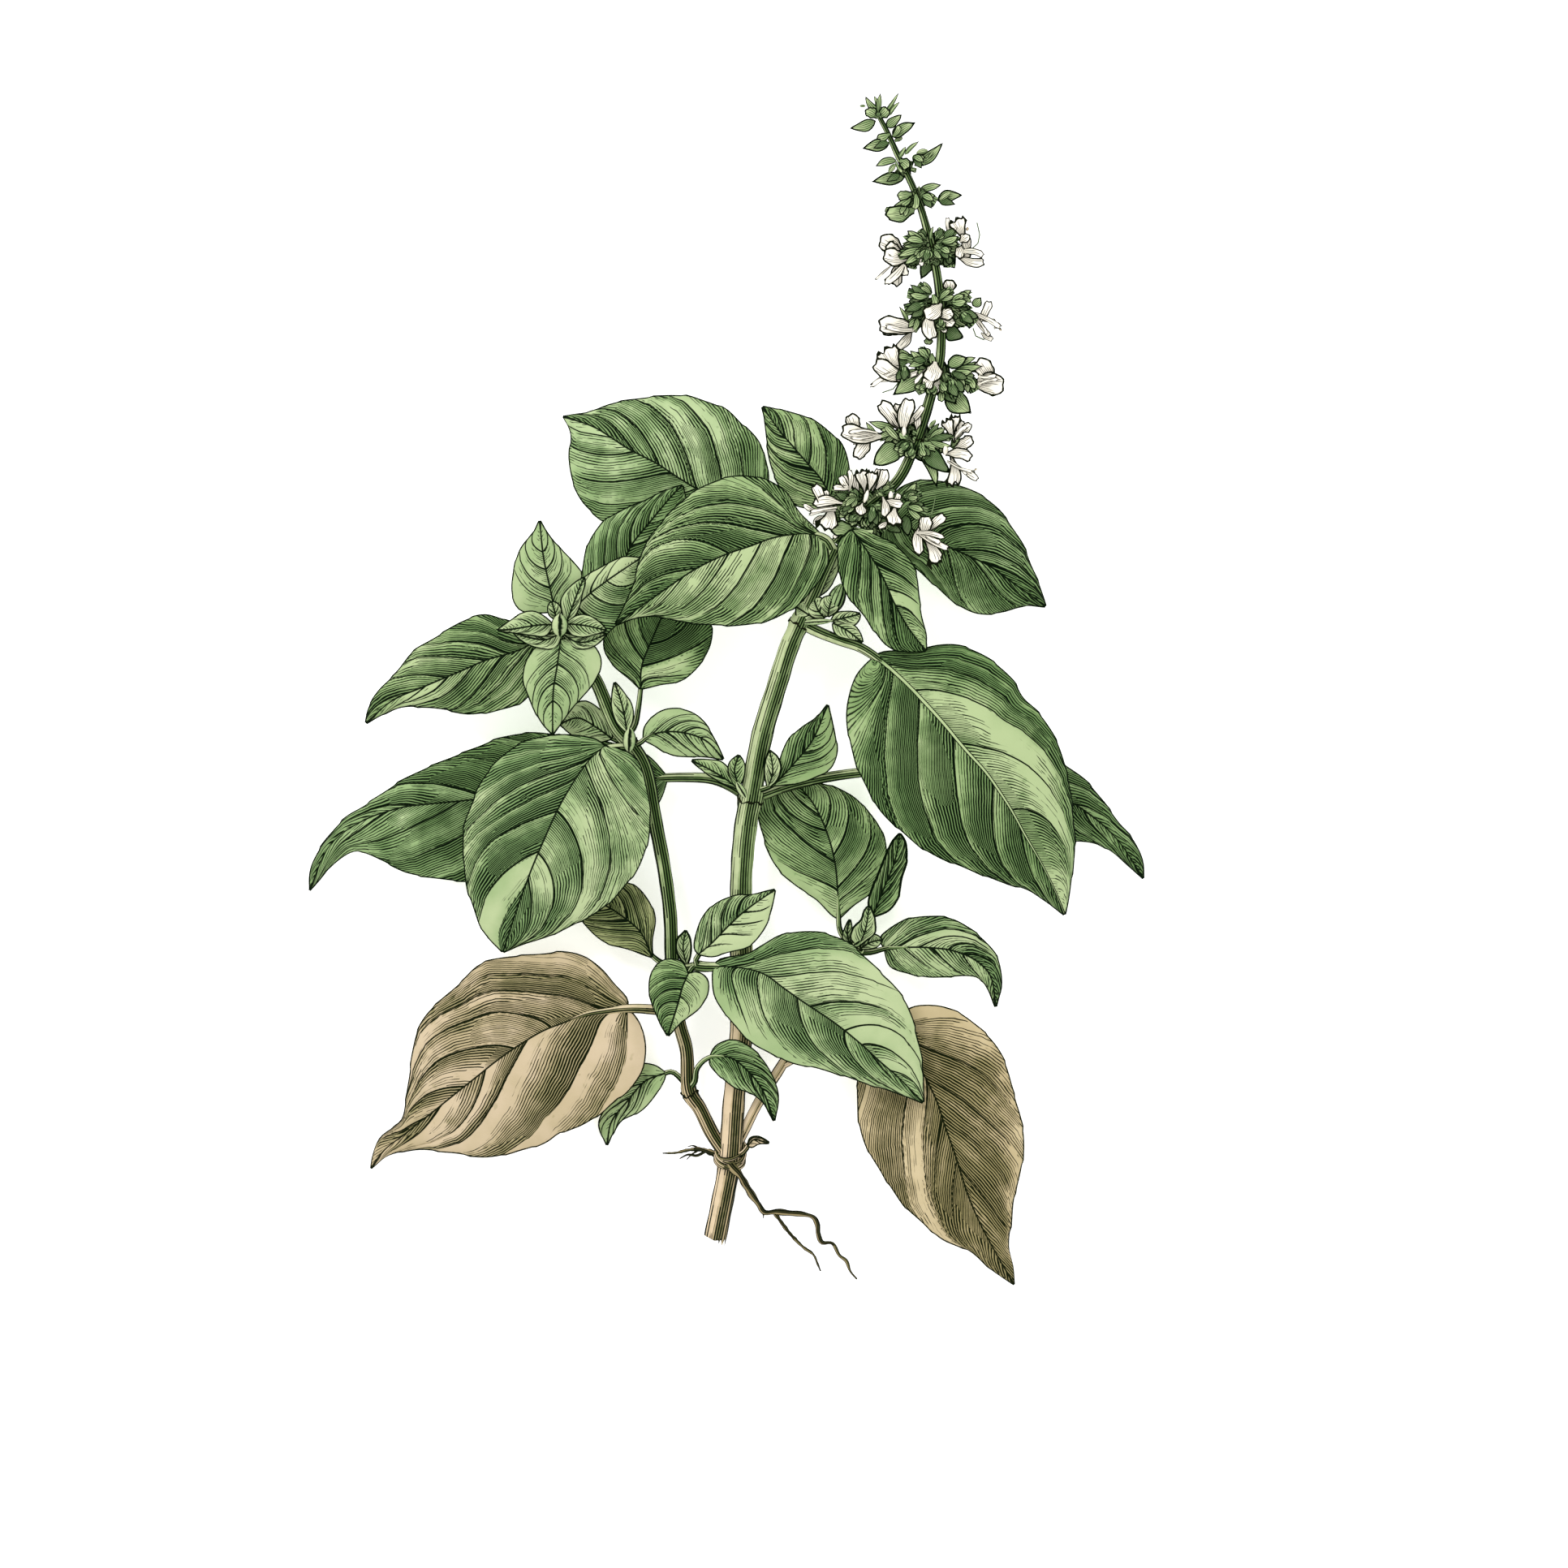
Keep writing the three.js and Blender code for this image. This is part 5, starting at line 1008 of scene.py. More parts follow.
def thicken(mesh, form=leafForm):
    # Gives a blade its thickness, with the underside in the next material.
    sheet = bpy.data.objects.new("sheet", mesh)
    bpy.context.scene.collection.objects.link(sheet)
    solid = sheet.modifiers.new("thickness", "SOLIDIFY")
    solid.thickness = form["thickness"]
    solid.offset = 0
    solid.material_offset = 1
    thick = bpy.data.meshes.new_from_object(sheet.evaluated_get(bpy.context.evaluated_depsgraph_get()))
    bpy.data.objects.remove(sheet)
    return thick


def addBlade(bm, name, shape, materials, marksName=None):
    blade, ribLength = leafMesh(name, shape, marksName)
    for material in materials:
        blade.materials.append(material)
    solid = thicken(blade)
    bm.from_mesh(solid)
    bpy.data.meshes.remove(solid)
    return ribLength


def addStalk(bm, name, shape, ribLength, form):
    thin, thick = form["stalkRadius"]
    radius = min(max(ribLength / form["ribLengthPerRadius"], thin), thick)
    rib = Curve(shape["rib"])
    sunk = form["stalkOver"] if name in form["stalkAbove"] else form["stalkUnder"]
    under = [rib.at(share) - (0, 0, 0.1 + radius * depth) for share, depth in sunk]
    path = [*shape["stalk"], *under]
    atBlade = Curve([*shape["stalk"], under[0]]).length / Curve(path).length
    stages = (0, atBlade, atBlade + (1 - atBlade) * 0.25, 1)
    tube(bm, path, lambda share: radius * np.interp(share, stages, form["stalkSizes"]), sides=10, material=2)


def leafPiece(name, tint, shape, form=leafForm):
    stalkSkin = tanStem if tint in ("tan", "brown") else greenStem
    materials = (*leafMaterials[tint], stalkSkin)
    bm = bmesh.new()
    ribLength = addBlade(bm, name + "_blade", shape, materials, name)
    addStalk(bm, name, shape, ribLength, form)
    addPiece(bm, name, materials)


for name, (tint, *droop, outlines) in leafShapes.items():
    leafPiece(name, tint, readShape(outlines, *droop))
print("leaves made:", len(leafShapes))


# Stems: a path, the radius along it, and the joints where leaves and branches leave it.
stems = {
    "main_stem": dict(
        path="-2.5 -121.7 2.4, 0.4 -107 3.9, 0.8 -104.5 4.4, 1.8 -90 6.5, 3.2 -77 8.5, 3.3 -60 10.5,"
        "3.3 -42 12.5, 4.3 -30 14, 5.3 -24.5 14.5, 8 -10 17, 11 0 19.2, 14.2 10 22, 16.3 14.7 23,"
        "19.4 21.5 24, 23.8 31.2 24.9",
        radii=(2.4, 2.4, 2.6, 2.4, 2.45, 2.4, 2.45, 2.45, 2.55, 2.35, 2.3, 2.2, 2.15, 1.75, 1.45),
        joints="0.8 -104.5, 5.3 -24.5, 16.3 14.7", paint="tan", sides=28, ragged=1),
    "flower_spike_stem": dict(
        path="24.3 32.2 25, 31 40.3 25, 37.9 46.1 24.2, 42.1 54.9 23, 45.1 64.3 21, 47.4 73.5 18.5,"
        "47.2 88.4 14, 45.1 99.5 10.8, 42.2 109.5 7.6, 37.8 119.1 4.6, 35.6 124 3.8, 34.2 126.6 3.7,"
        "33.3 128.4 3.8",
        radii=(1.3, 1.25, 1.2, 1.2, 1.1, 1.05, 1, 0.9, 0.8, 0.7, 0.5),
        joints="31.1 40.4, 42.3 55.5, 46.4 69.5, 47.3 84, 45.4 98.5", paint="spike", sides=20, ragged=0),
    "left_branch": dict(
        path="0.8 -104.5 4.4, -3 -99 5.4, -6 -93 6.4, -8.2 -89.5 7, -8.9 -80 8, -10.5 -74 8.7, -12 -62 10,"
        "-12.5 -50 11, -13.8 -40 11.7, -15.7 -30 12.5, -18.4 -17 13.9, -21.5 -12 14.5, -24.5 -8.4 15.2,"
        "-29.2 2.3 16.4, -34.6 9.8 17, -36.8 13.2 18.2, -37.3 14.4 21, -37.2 14.3 22.6",
        radii=(1.5, 1.6, 1.5, 1.5, 1.5, 1.6, 1.65, 1.65, 1.4, 1.2),
        joints="-8.2 -89.5, -12 -62, -21.5 -12", paint="branch", sides=20, ragged=0),
    "right_branch": dict(
        path="0.8 -104.5 4.4, 3.5 -99 4.4, 7 -92 5.4, 12 -84 6.4, 17 -76 7.6, 24 -66 9, 30 -57 10,"
        "31.2 -54.8 10.6",
        radii=(1.15, 1.15, 1.1, 1.1),
        joints="30 -57", paint="pale", sides=18, ragged=0),
    "front_shoot": dict(
        path="-12 -62 10, -10.4 -62 11.8, -8.6 -61.8 13, -7.1 -61.5 14.2, -6.3 -61.2 16.3",
        radii=(1.05, 1, 1),
        joints="", paint="green", sides=16, ragged=0),
}
stemSkins = dict(tan=tanStem, pale=paleStem, branch=branchSkin, green=greenStem, spike=spikeSkin)
stemForm = dict(
    cell=0.9,
    samples=2000,
    squareness=0.055,
    ridges=(11, 0.012),       # how many and how high
    jointSwell=0.26,
    jointLength=1.5,
    jointGroove=0.12,
    grooveLength=0.35,
    grooveShift=0.2,
    tanStems=("main_stem", "right_branch"),
)
seamForm = dict(
    proud=1.015,              # the seam lies just outside the stem
    waves=((3, 0.3), (8, 0.2)),
    lean=0.5,
    thickness=(0.2, 0.1, 40),
    steps=41,
    cell=0.35,
    sides=6,
)
ringPlan = dict(
    centre=(0.8, -104.2, 4.4),
    radius=3.2,
    flatness=0.97,
    thickness=(0.52, 0.32),
    tilts=((0.2, -2.2, 2.0), (-0.12, -2.6, 1.5), (0.04, -2.9, 1.0), (-0.2, -2.4, 0.2), (0.1, -2.3, 0.1)),
    steps=25,
    cell=0.5,
    sides=8,
)


def addSeam(bm, curve, share, radius, form=seamForm):
    # A drawn line round a joint.
    centre, way, right, up = curve.frame(share)
    joint = share * curve.length
    (first, firstHeight), (second, secondHeight) = form["waves"]
    ring = []
    for turn in np.linspace(0, fullTurn, form["steps"]):
        slide = firstHeight * math.sin(first * turn + joint) + secondHeight * math.sin(second * turn)
        slide -= form["lean"] * math.sin(turn)
        out = math.cos(turn) * right + math.sin(turn) * up
        ring.append(centre + radius * form["proud"] * out + way * slide)
    middle, change, waves = form["thickness"]

    def uneven(share):
        return middle + change * math.sin(share * waves + joint)

    tube(bm, ring, uneven, form["cell"], form["sides"], material=2)


def addRings(bm, plan=ringPlan):
    # Thin old scars wound round the joint that the branches and roots leave.
    thick, thin = plan["thickness"]
    for tilt, lean, slide in plan["tilts"]:
        ring = []
        for turn in np.linspace(0, fullTurn, plan["steps"]):
            across, up = math.cos(turn) * plan["radius"], math.sin(turn) * plan["radius"] * plan["flatness"]
            offset = (across, slide + tilt * across + lean * math.sin(turn), up)
            ring.append(np.array(plan["centre"]) + offset)

        def uneven(share):
            return thin + (thick - thin) * math.sin(share * 9 + slide) ** 2

        tube(bm, ring, uneven, plan["cell"], plan["sides"], material=1)


def stemPiece(name, plan, form=stemForm):
    curve = Curve(points(plan["path"]))
    joints = [curve.nearestShare(place, form["samples"]) for place in points(plan["joints"])]
    base = listed(plan["radii"])
    ridges, ridgeHeight = form["ridges"]

    def radius(share):
        swell = 0
        for joint in joints:
            gap = abs(share - joint) * curve.length
            toGroove = (gap - form["grooveShift"]) / form["grooveLength"]
            swell += form["jointSwell"] * math.exp(-(gap / form["jointLength"]) ** 2)
            swell -= form["jointGroove"] * math.exp(-toGroove ** 2)
        return base(share) * (1 + swell) * (1 + 0.02 * math.sin(share * curve.length * 0.9))

    def section(share, turn):
        twist = turn + 0.5 * math.sin(share * 9)
        ridge = ridgeHeight * math.sin(ridges * turn + share * 40)
        return 1 + form["squareness"] * math.cos(4 * twist) + ridge

    def raggedEnd(row, rows, turn):
        if row > 0:
            return 0
        fibres = 0.9 * math.sin(7 * turn) + 0.6 * math.sin(13 * turn + 1)
        return plan["ragged"] * (fibres - 0.5 * math.cos(turn))

    bm = bmesh.new()
    tube(bm, points(plan["path"]), radius, form["cell"], plan["sides"], section, finishEnd=raggedEnd)
    if name == "main_stem":
        addRings(bm)
    for joint in joints:
        addSeam(bm, curve, joint, radius(joint))
    addPiece(bm, name, (stemSkins[plan["paint"]], ringSkin, seamSkin))


for name, plan in stems.items():
    stemPiece(name, plan)
print("stems made:", len(stems))


# Roots: each is a few strands that start inside one another, a path and the radius along it.
roots = {
    "long_root": (
        ("0.6 -105.2 6.6, 1.4 -106.2 7.1, 2.9 -107.8 6.2, 4.2 -110 4, 5.6 -112.3 1.9, 7.1 -114.4 1,"
        "8.4 -116.2 0.8, 11 -116.1 0.75, 14.1 -116.4 0.7, 17.4 -116.7 0.7, 19.4 -117.4 0.7, 20.2 -119 0.7,"
        "20.4 -121 0.7, 21.2 -122.9 0.65, 23.5 -123.1 0.6, 25.1 -125.8 0.6, 26.6 -127 0.6, 27.5 -129.3 0.6,"
        "29 -131.1 0.6", (1.05, 0.85, 0.7, 0.62, 0.64, 0.55, 0.45, 0.38, 0.2)),
        ("10.8 -116.5 0.7, 13.9 -120.7 0.6, 17.1 -124 0.6, 19.3 -125.6 0.6, 20.2 -127.6 0.6,"
        "20.9 -129.3 0.6", (0.45, 0.4, 0.34, 0.18)),
        ("8.2 -115.9 0.8, 8.2 -117.6 0.6", (0.3, 0.08)),
    ),
    "rootlet_left": (
        ("-0.6 -104 4.4, -3.5 -102.9 4, -6 -102.2 3, -8.6 -102.4 2.2, -11.2 -103 1.5, -14.2 -103.1 1",
        (0.95, 0.62, 0.42, 0.32, 0.16)),
        ("-4.6 -102.6 3.5, -6.6 -103.6 2.6, -8.6 -103.4 2, -10.4 -104.3 1.4", (0.35, 0.3, 0.12)),
        ("-6.2 -102.3 3, -8 -103.6 2.1, -8.8 -104.5 1.6", (0.3, 0.2, 0.08)),
        ("-5.4 -102.4 3.2, -7.4 -101.4 2.6, -8.6 -101.6 2.4", (0.3, 0.2, 0.08)),
    ),
}
rootForm = dict(
    cell=0.45,
    sides=8,
    knobs=(0.25, 47, 19),     # how high, and how close together in two waves
)


def rootPiece(name, strands, form=rootForm):
    height, first, second = form["knobs"]
    bm = bmesh.new()
    for path, radii in strands:
        base = listed(radii)

        def knobbly(share):
            return base(share) * (1 + height * math.sin(share * first) * math.sin(share * second))

        tube(bm, points(path), knobbly, form["cell"], form["sides"])
    addPiece(bm, name, (rootSkin,))


for name, strands in roots.items():
    rootPiece(name, strands)
print("roots made:", len(roots))


# Flowers, calyxes and bracts: the height of each piece, then its parts. A part is its kind, where that
# changes, then from x, y to x, y, its width, and how high it lies, 0 to 3.
# The darker bract, calyx and sepal kinds take the painted-shade copies of their paints.
flowerParts = {
    "corolla_1_left": (27.7, "petal 21.7 40.8 19.6 45.3 2 2, 22.7 42 21.8 44 1.2 2,"
        "24.1 41.1 19.1 41.2 2.2 2, 19.6 39.6 17 40.8 1 1, strap 23 39.9 18.5 39.2 0.7 3,"
        "22.8 39.3 18.3 38.6 0.6 2, fan 22.9 39.6 21.7 34.5 4.1 1, petal 21.2 37.9 19.3 36.5 1.2 0"),
    "corolla_1_right": (25.6, "petal 43.8 35.2 44.5 38.4 2.7 2, 45.7 35.8 48.4 38.6 2 2,"
        "43.1 35.1 42.5 29.6 2.1 1, strap 43.8 34.3 48.3 33.5 1 3, 44 33.8 49.2 30.9 1.4 2,"
        "44.6 33.9 47.4 32.3 0.9 3, fan 44 32.7 47.2 26.6 3.3 0, thread 45 37.8 46.1 40.8 0.22 3,"
        "45.4 37.8 46.3 42.4 0.19 3"),
    "whorl_1": (26.2, "petal 26.7 44.4 23.6 44.6 1.2 2, 26.9 44.7 25.1 47.1 1.3 2, 27.2 44.9 27.3 48.6 1 2,"
        "27.6 44.4 26 47.4 1.1 1, fan 30.5 44.4 29.7 49.3 3 1, 31.6 44.5 32.5 48.9 2.6 2,"
        "petal 29.1 44.4 28.5 47.5 1.5 1, 33.8 45.3 35.5 48.6 2 2, 32.7 45.1 33.8 48.8 1.4 1,"
        "bud 31.3 44 30.5 41.2 1.1 3, petal 30 40.4 29.6 38.2 2.6 3, bud 36.4 43.8 36.3 41.8 1.2 3,"
        "petal 37.4 41.5 38.4 43.3 1.3 2, 35.9 41.5 39.2 40.7 1.7 3, 34.8 41.4 35.3 37.9 1.7 3,"
        "fan 37.6 39.8 37.1 35.3 3.4 3, petal 35.3 36.8 33.7 35.6 1.1 2, leaflet 27.6 35.8 23.1 35.3 3.3 2,"
        "petal 25.4 34.3 23.6 33.6 0.9 1, calyx 38 42 42.8 43.8 1.3 1, 39.3 40.7 44.2 39.1 1.2 1,"
        "darkBract 39.6 38.6 40.2 33.8 2.3 1, darkCalyx 28.6 41.9 23.4 43.8 1.2 1,"
        "calyx 28.6 41.5 25.6 39.3 1 2, darkCalyx 28.3 40.2 25.3 38.9 1 1, calyx 33.8 43.3 36.9 45.2 0.9 1,"
        "29.4 42.7 26.4 40.5 0.9 2, darkCalyx 32.7 41.5 31.6 36.5 1.4 2, 33.8 40.5 33.8 36.5 1.3 1,"
        "32.5 37.2 35.5 37.2 1.3 1, 24.5 45.5 27.2 42.7 1 0, leaflet 28.3 35.6 32.7 34.7 1.2 2,"
        "darkBract 35.5 35.8 38.8 34.7 1.9 0, calyx 35.2 42.5 33.3 43.8 0.8 1, 39.6 42.2 42.5 42.5 0.9 2"),
    "corolla_2_left": (23, "petal 28.5 57.7 27.5 61 2.7 1, 32.5 56.2 25.4 57.2 3.3 2,"
        "strap 31.9 56.7 27 56.8 0.7 3, 31.6 56 27.5 55.6 0.6 3, petal 31.2 54.6 28.5 51.1 2.7 2,"
        "strap 32.7 55.5 28 54.3 0.7 1"),
    "whorl_2": (23, "petal 38 58.6 34.2 63.7 2.7 1, 39.5 58.3 40.5 64.4 2.9 2, 38.6 58.4 37.7 63.3 2.3 1,"
        "38.9 58.2 36.6 62.3 1.7 1, 41.1 59.4 43.8 62.7 1.3 1, 42.2 58.3 42.4 60.9 1.5 1,"
        "bud 39.3 58.2 39.3 56 1.1 3, bloom 38 55.4 35.2 58.3 1.6 3, bract 33.8 55.3 30.9 59.2 1.3 2,"
        "37.4 57.9 31.5 59.2 1.7 1, calyx 38.2 57.3 33.8 55.7 1 1, darkCalyx 41.1 55 37.8 52.5 1.5 2,"
        "41 55.4 40.2 52.1 1.3 1, bract 38.4 53.9 32.7 49.6 4.5 2, bloom 44.9 57.8 46.4 59.6 0.9 1,"
        "calyx 43.8 55.1 50.2 56 1 2, 43.8 55.4 47.9 57.3 0.9 1, leaflet 43.8 54.5 47.5 53.3 2.4 2,"
        "darkBract 43.9 53.6 49.4 48 3.6 2, bract 43.1 53.1 46.6 44.7 2.5 1,"
        "calyx 49.3 53.2 52.3 55.4 0.9 1, bud 48.5 53.9 48.4 51.8 1.3 3, calyx 47.9 56.5 49.9 55.4 0.8 2"),
    "corolla_2_right": (23, "fan 50.1 55.9 48.4 60.5 2.4 2, 50.4 55.9 50.7 61.5 2.4 1,"
        "petal 51.2 56.2 52.1 59.7 1.7 1, strap 51 55.8 53.3 58.4 0.9 2, petal 52.6 57.3 54.2 58.8 1.8 2,"
        "51.7 54 54.7 55.5 2.4 2, 50 51.9 54.5 51.5 2.2 2, strap 50.4 49.9 55.1 48 0.6 2,"
        "50.6 49.8 53.3 47.4 0.6 2, petal 53.1 47.9 55.8 46.4 1.4 2, anther 54.9 48.4 55.5 48.8 0.4 3,"
        "fan 49.8 50.2 50.4 44 3.1 1"),
    "corolla_3_left": (19.7, "fan 37.7 70.6 34.6 76.4 4.6 1, petal 38.5 69.4 32.7 72.2 3.3 2,"
        "strap 38.4 69.9 31.9 67 0.9 2, 38.1 69.4 33.7 68.3 0.7 2, thread 38.4 68.3 37 66.5 0.24 1,"
        "37 66.5 34.6 65.7 0.24 1"),
    "whorl_3": (19.7, "calyx 41.7 73.1 37.2 73.8 1.2 1, darkCalyx 39.4 72.4 39.2 68.1 1.3 2,"
        "calyx 45.1 73.1 42.7 75.4 1.3 1, 45.1 72.5 40.4 73.2 1.1 2, bract 43.8 69.7 36.9 65.2 3.6 2,"
        "petal 44.4 70.4 39.7 69 1.1 2, 46 71.4 45.1 67.9 3.5 3, 45.4 68.7 43.8 66.5 2.6 3,"
        "46.9 67.7 45.4 65.4 2.6 2, bract 49 71.5 53.4 73.5 2.8 2, calyx 49.8 71 56.1 71.4 1.2 1,"
        "49.2 70.4 54 68.5 1.3 2, 52.8 70 55.1 66.2 1.3 1, darkCalyx 49.2 69.4 51.1 64.8 1.6 2,"
        "48 70.4 49.2 67.1 1.4 1, bract 49 66.3 54.2 61.1 4.6 1, darkBract 48 66.5 51 63.1 2.7 2,"
        "leaflet 47.7 66.2 47.6 63.6 1.6 2, 45.4 74.4 46.3 71.2 1.5 1, calyx 42.6 66.5 44.3 67.4 0.8 3,"
        "strap 44.9 70.7 41.6 67.7 0.8 3"),
    "corolla_3_right": (19.7, "petal 58.3 69.4 55.7 73.1 3.4 1, 56.5 67.5 61.7 67.4 4.3 1,"
        "strap 56.7 69.3 59.9 69.4 0.9 2, 56.8 67.7 60.2 68.7 0.8 2, 56.5 68.5 58.9 68.5 0.6 2"),
    "corolla_4_left": (15.5, "petal 40.2 80.1 33.7 81.1 3.4 2, strap 40.4 79.8 35.3 80.3 1 3,"
        "40.3 79.4 35.8 78.6 0.9 1, petal 40.4 78.6 37.9 75.2 1.8 1, 38.8 80.2 34.3 79.5 2.7 1"),
    "whorl_4": (15.5, "calyx 46 87.3 42.6 89.4 1 1, 45.7 86.8 40.4 87.7 1.2 2,"
        "darkCalyx 45.1 85.9 39.9 84 1.4 2, calyx 43.5 82.9 40.9 80.2 1.2 1, 42.6 82.9 41.4 79.4 1 2,"
        "bract 40.3 81.5 38.3 84.8 1 1, petal 46.8 84.6 44 82.2 3.2 3, 45.2 82.1 45.2 77.3 2.8 3,"
        "48 82.7 50.5 83.7 2.6 3, 48.5 81.7 50.8 80.8 2.3 3, 47.9 80.5 48.7 78.9 1.3 2,"
        "leaflet 45.8 87.5 46.3 85 1.5 3, calyx 46.7 85.9 49.9 88.5 1 2, 49.2 85.6 53.1 85.9 1.3 2,"
        "50.7 87.3 54.4 87.1 1 1, bract 54.6 84.9 56.5 86.8 2 2, darkCalyx 51.5 84 54.8 81.1 1.5 2,"
        "51 85 54 83.5 1.3 1, darkBract 48.6 79.8 52.5 77.9 3.2 2, leaflet 44.9 77.9 44.6 76.3 1.9 1,"
        "petal 49.5 88.6 49.2 90.9 2.6 1, calyx 48.6 84.4 51.6 82.6 1 1, darkCalyx 44 84.4 41.6 82.3 1.2 1"),
    "corolla_4_right": (15.5, "petal 56.9 82.5 58.5 86 1.6 2, strap 55.2 82.7 60.9 80.2 1 2,"
        "56.2 82.4 59.7 81.7 0.7 1, anther 60.4 80.2 61 79.4 0.5 2, strap 55.6 81.8 58.4 78.2 1 2,"
        "petal 57.1 78.6 59.1 77.4 1.1 1, thread 54.7 80 55.3 78.3 0.24 1, 55.3 78.3 57.2 77.4 0.24 1,"
        "petal 59.7 80.2 60.7 81.1 1 1, strap 56.5 80.8 57.8 78.6 0.6 3"),
    "corolla_5_left": (11.2, "petal 37.8 98 34 100 3.5 1, 39 95.6 34.7 96.4 3.3 2,"
        "38.7 93.9 37.5 89.3 2.2 1, 38.8 93.9 35.2 89.8 1.6 2, strap 35.6 93.1 33 90.8 0.5 0,"
        "petal 39.2 94.2 39.9 91.6 1.5 2, 37.9 97.5 35.3 98.3 2.6 2"),
    "whorl_5": (11.2, "calyx 44.8 98.9 39.3 99.9 1.3 2, 44.5 99.3 42.6 101.5 1 1,"
        "44.4 98.1 38.4 96.2 1.2 2, darkCalyx 44 97.8 39.9 94.6 1.4 1, calyx 43.8 97.6 42.1 95.6 1 3,"
        "strap 44.4 96.7 43 93.8 1.1 3, bract 45.3 99.9 45.9 102.6 0.9 1, calyx 46.4 99.6 47.9 101.9 1 2,"
        "46.7 98.9 51.7 100.4 1.2 2, 47 98.1 49.9 96.4 1.2 3, 48 98.1 51.7 97.6 1.3 1,"
        "darkBract 48 96.7 50.6 93.4 2.9 1, 45.8 96 43.2 91 2.8 1, darkCalyx 46.4 96.4 46.8 93.8 1.5 1,"
        "41.4 95.5 40.9 93.4 1.3 1, calyx 44.9 98.1 44 94.8 1.1 3, 45.8 97.8 47.6 95.4 0.9 3,"
        "darkCalyx 49.2 96.3 49.5 93.8 1.3 1"),
    "corolla_5_right": (11.2, "fan 52.4 100.7 50.6 105.1 3.4 2, strap 49.6 101.3 49 104.6 0.9 1,"
        "anther 53.3 101.6 53.6 102.5 0.6 3, petal 52.3 99.5 54 100.7 1.9 3, 53 97.8 53.7 100.4 1.8 2,"
        "52.2 97.8 51.4 95.5 2 2, strap 53.7 96.9 57.1 96.3 1.3 3, petal 52.8 95.5 57.2 94.3 1.8 2,"
        "53.1 98.1 53.3 95.4 2.1 1, thread 55.6 103.5 56.2 100.8 0.24 1, 56.2 100.8 55.8 98.9 0.24 1,"
        "55.8 98.9 54.6 97.8 0.24 1"),
    "bud_whorl_1": (7.7, "leaflet 41.1 109.9 37.9 109.3 2 2, bract 41.1 109.1 36.5 106.5 1.8 2,"
        "darkBract 40.6 108.8 38.2 105.8 1.8 1, leaflet 41.6 106.4 35.3 105.2 3.4 2,"
        "36.5 107 35.3 105.8 1.2 1, calyx 40.2 107.8 38.6 105.4 0.9 2, leaflet 42 109.8 41.9 106.4 1.5 3,"
        "calyx 41 108 41.1 105.8 0.7 1, bract 42.9 110.7 47.7 111.9 1.7 1, calyx 42.7 110 46.3 108.1 1.2 2,"
        "greenBud 47.3 108.5 49.7 110.2 1.2 2, bract 46.7 108.5 52.3 109.6 2.5 1,"
        "darkBract 47 109 50.8 107.6 1.8 2, bract 42.8 110.4 42.7 111.7 0.6 1"),
    "bud_whorl_2": (5.4, "bract 38.4 118.1 39.8 120.4 1 1, 39.6 118.7 42.7 121.6 1 1,"
        "37.7 117.5 33.2 116.1 1.7 1, greenBud 37.5 116.6 36 114.7 1.1 3,"
        "bract 39.6 113.6 32.3 112.7 2.6 2, darkBract 38.6 114.2 35.5 112.6 1.4 3,"
        "leaflet 38.5 117.4 40.6 115.7 2.4 2, 37.6 117.2 39 114.6 0.7 3,"
        "greenBud 42.2 119 44.7 119.6 1.2 2, calyx 40.9 118.6 44 116.8 1.1 2,"
        "bract 41.7 116.2 47.9 121.2 2.2 1, 44.8 117.8 46 119.2 0.6 2, calyx 39 116.8 39.4 114.6 0.8 1"),
    "spike_tip_buds": (3.9, "bract 35.5 124.8 38.9 127.5 2 2, 36.8 122.6 41.9 125.8 2.5 2,"
        "leaflet 37 122.7 38.5 125.1 1.3 3, 36.3 123.3 33.4 122.2 1.7 2, bract 36.2 121.1 30.2 120.1 2.5 2,"
        "darkBract 36.1 121.4 32.7 120.1 1.4 3, bract 33.6 128.2 30.9 131.5 1.5 2,"
        "33.7 128.4 32.8 131.7 1 1, 33.8 127.9 34.2 132.3 1.2 2, greenBud 30.9 129.5 29.6 129.5 0.6 2,"
        "leaflet 33.6 127 30.8 128.6 2.3 3, bract 33.2 126.2 27.5 124.6 2.3 1,"
        "leaflet 34.1 127.1 35.9 129 2.4 2, bract 35.2 127.8 38.2 132.4 0.9 1, 36.1 127.4 38.4 130.3 0.9 2,"
        "calyx 33.8 128.1 33.6 127.1 0.8 3, leaflet 37.4 121.7 39 122.7 1.2 1"),
}
# Flower colours: pale, mid and deep are the wash from painted light to painted shade; the darker greens are
# a painted-shade copy of the greens.
petalTint = dict(pale=(252, 247, 234), mid=(247, 241, 222), deep=(226, 222, 190), ink=(14, 20, 4))
greens = dict(pale=(190, 207, 154), mid=(150, 176, 120), deep=(106, 137, 84), ink=(4, 18, 2))
shadedGreens = dict(pale=(152, 176, 124), mid=(108, 138, 86), deep=(64, 94, 48), ink=(4, 18, 2))
petalInk = dict(
    grainScale=900,
    outline=0.4,              # the widest edge line, mm
    outlineShare=0.13,        # of the petal's width
    outlineShake=0.12,
    fullWidth=2.4,            # a petal this wide has all its lines
    lineEdge=(0.1, 0.2),      # the half width of a line and where it ends, mm
    lineDarkness=0.9,
    lineChange=0.5,
    washStops=(0.0, 0.6, 0.6, 1.2),
    bumpDepth=0.00008,
)


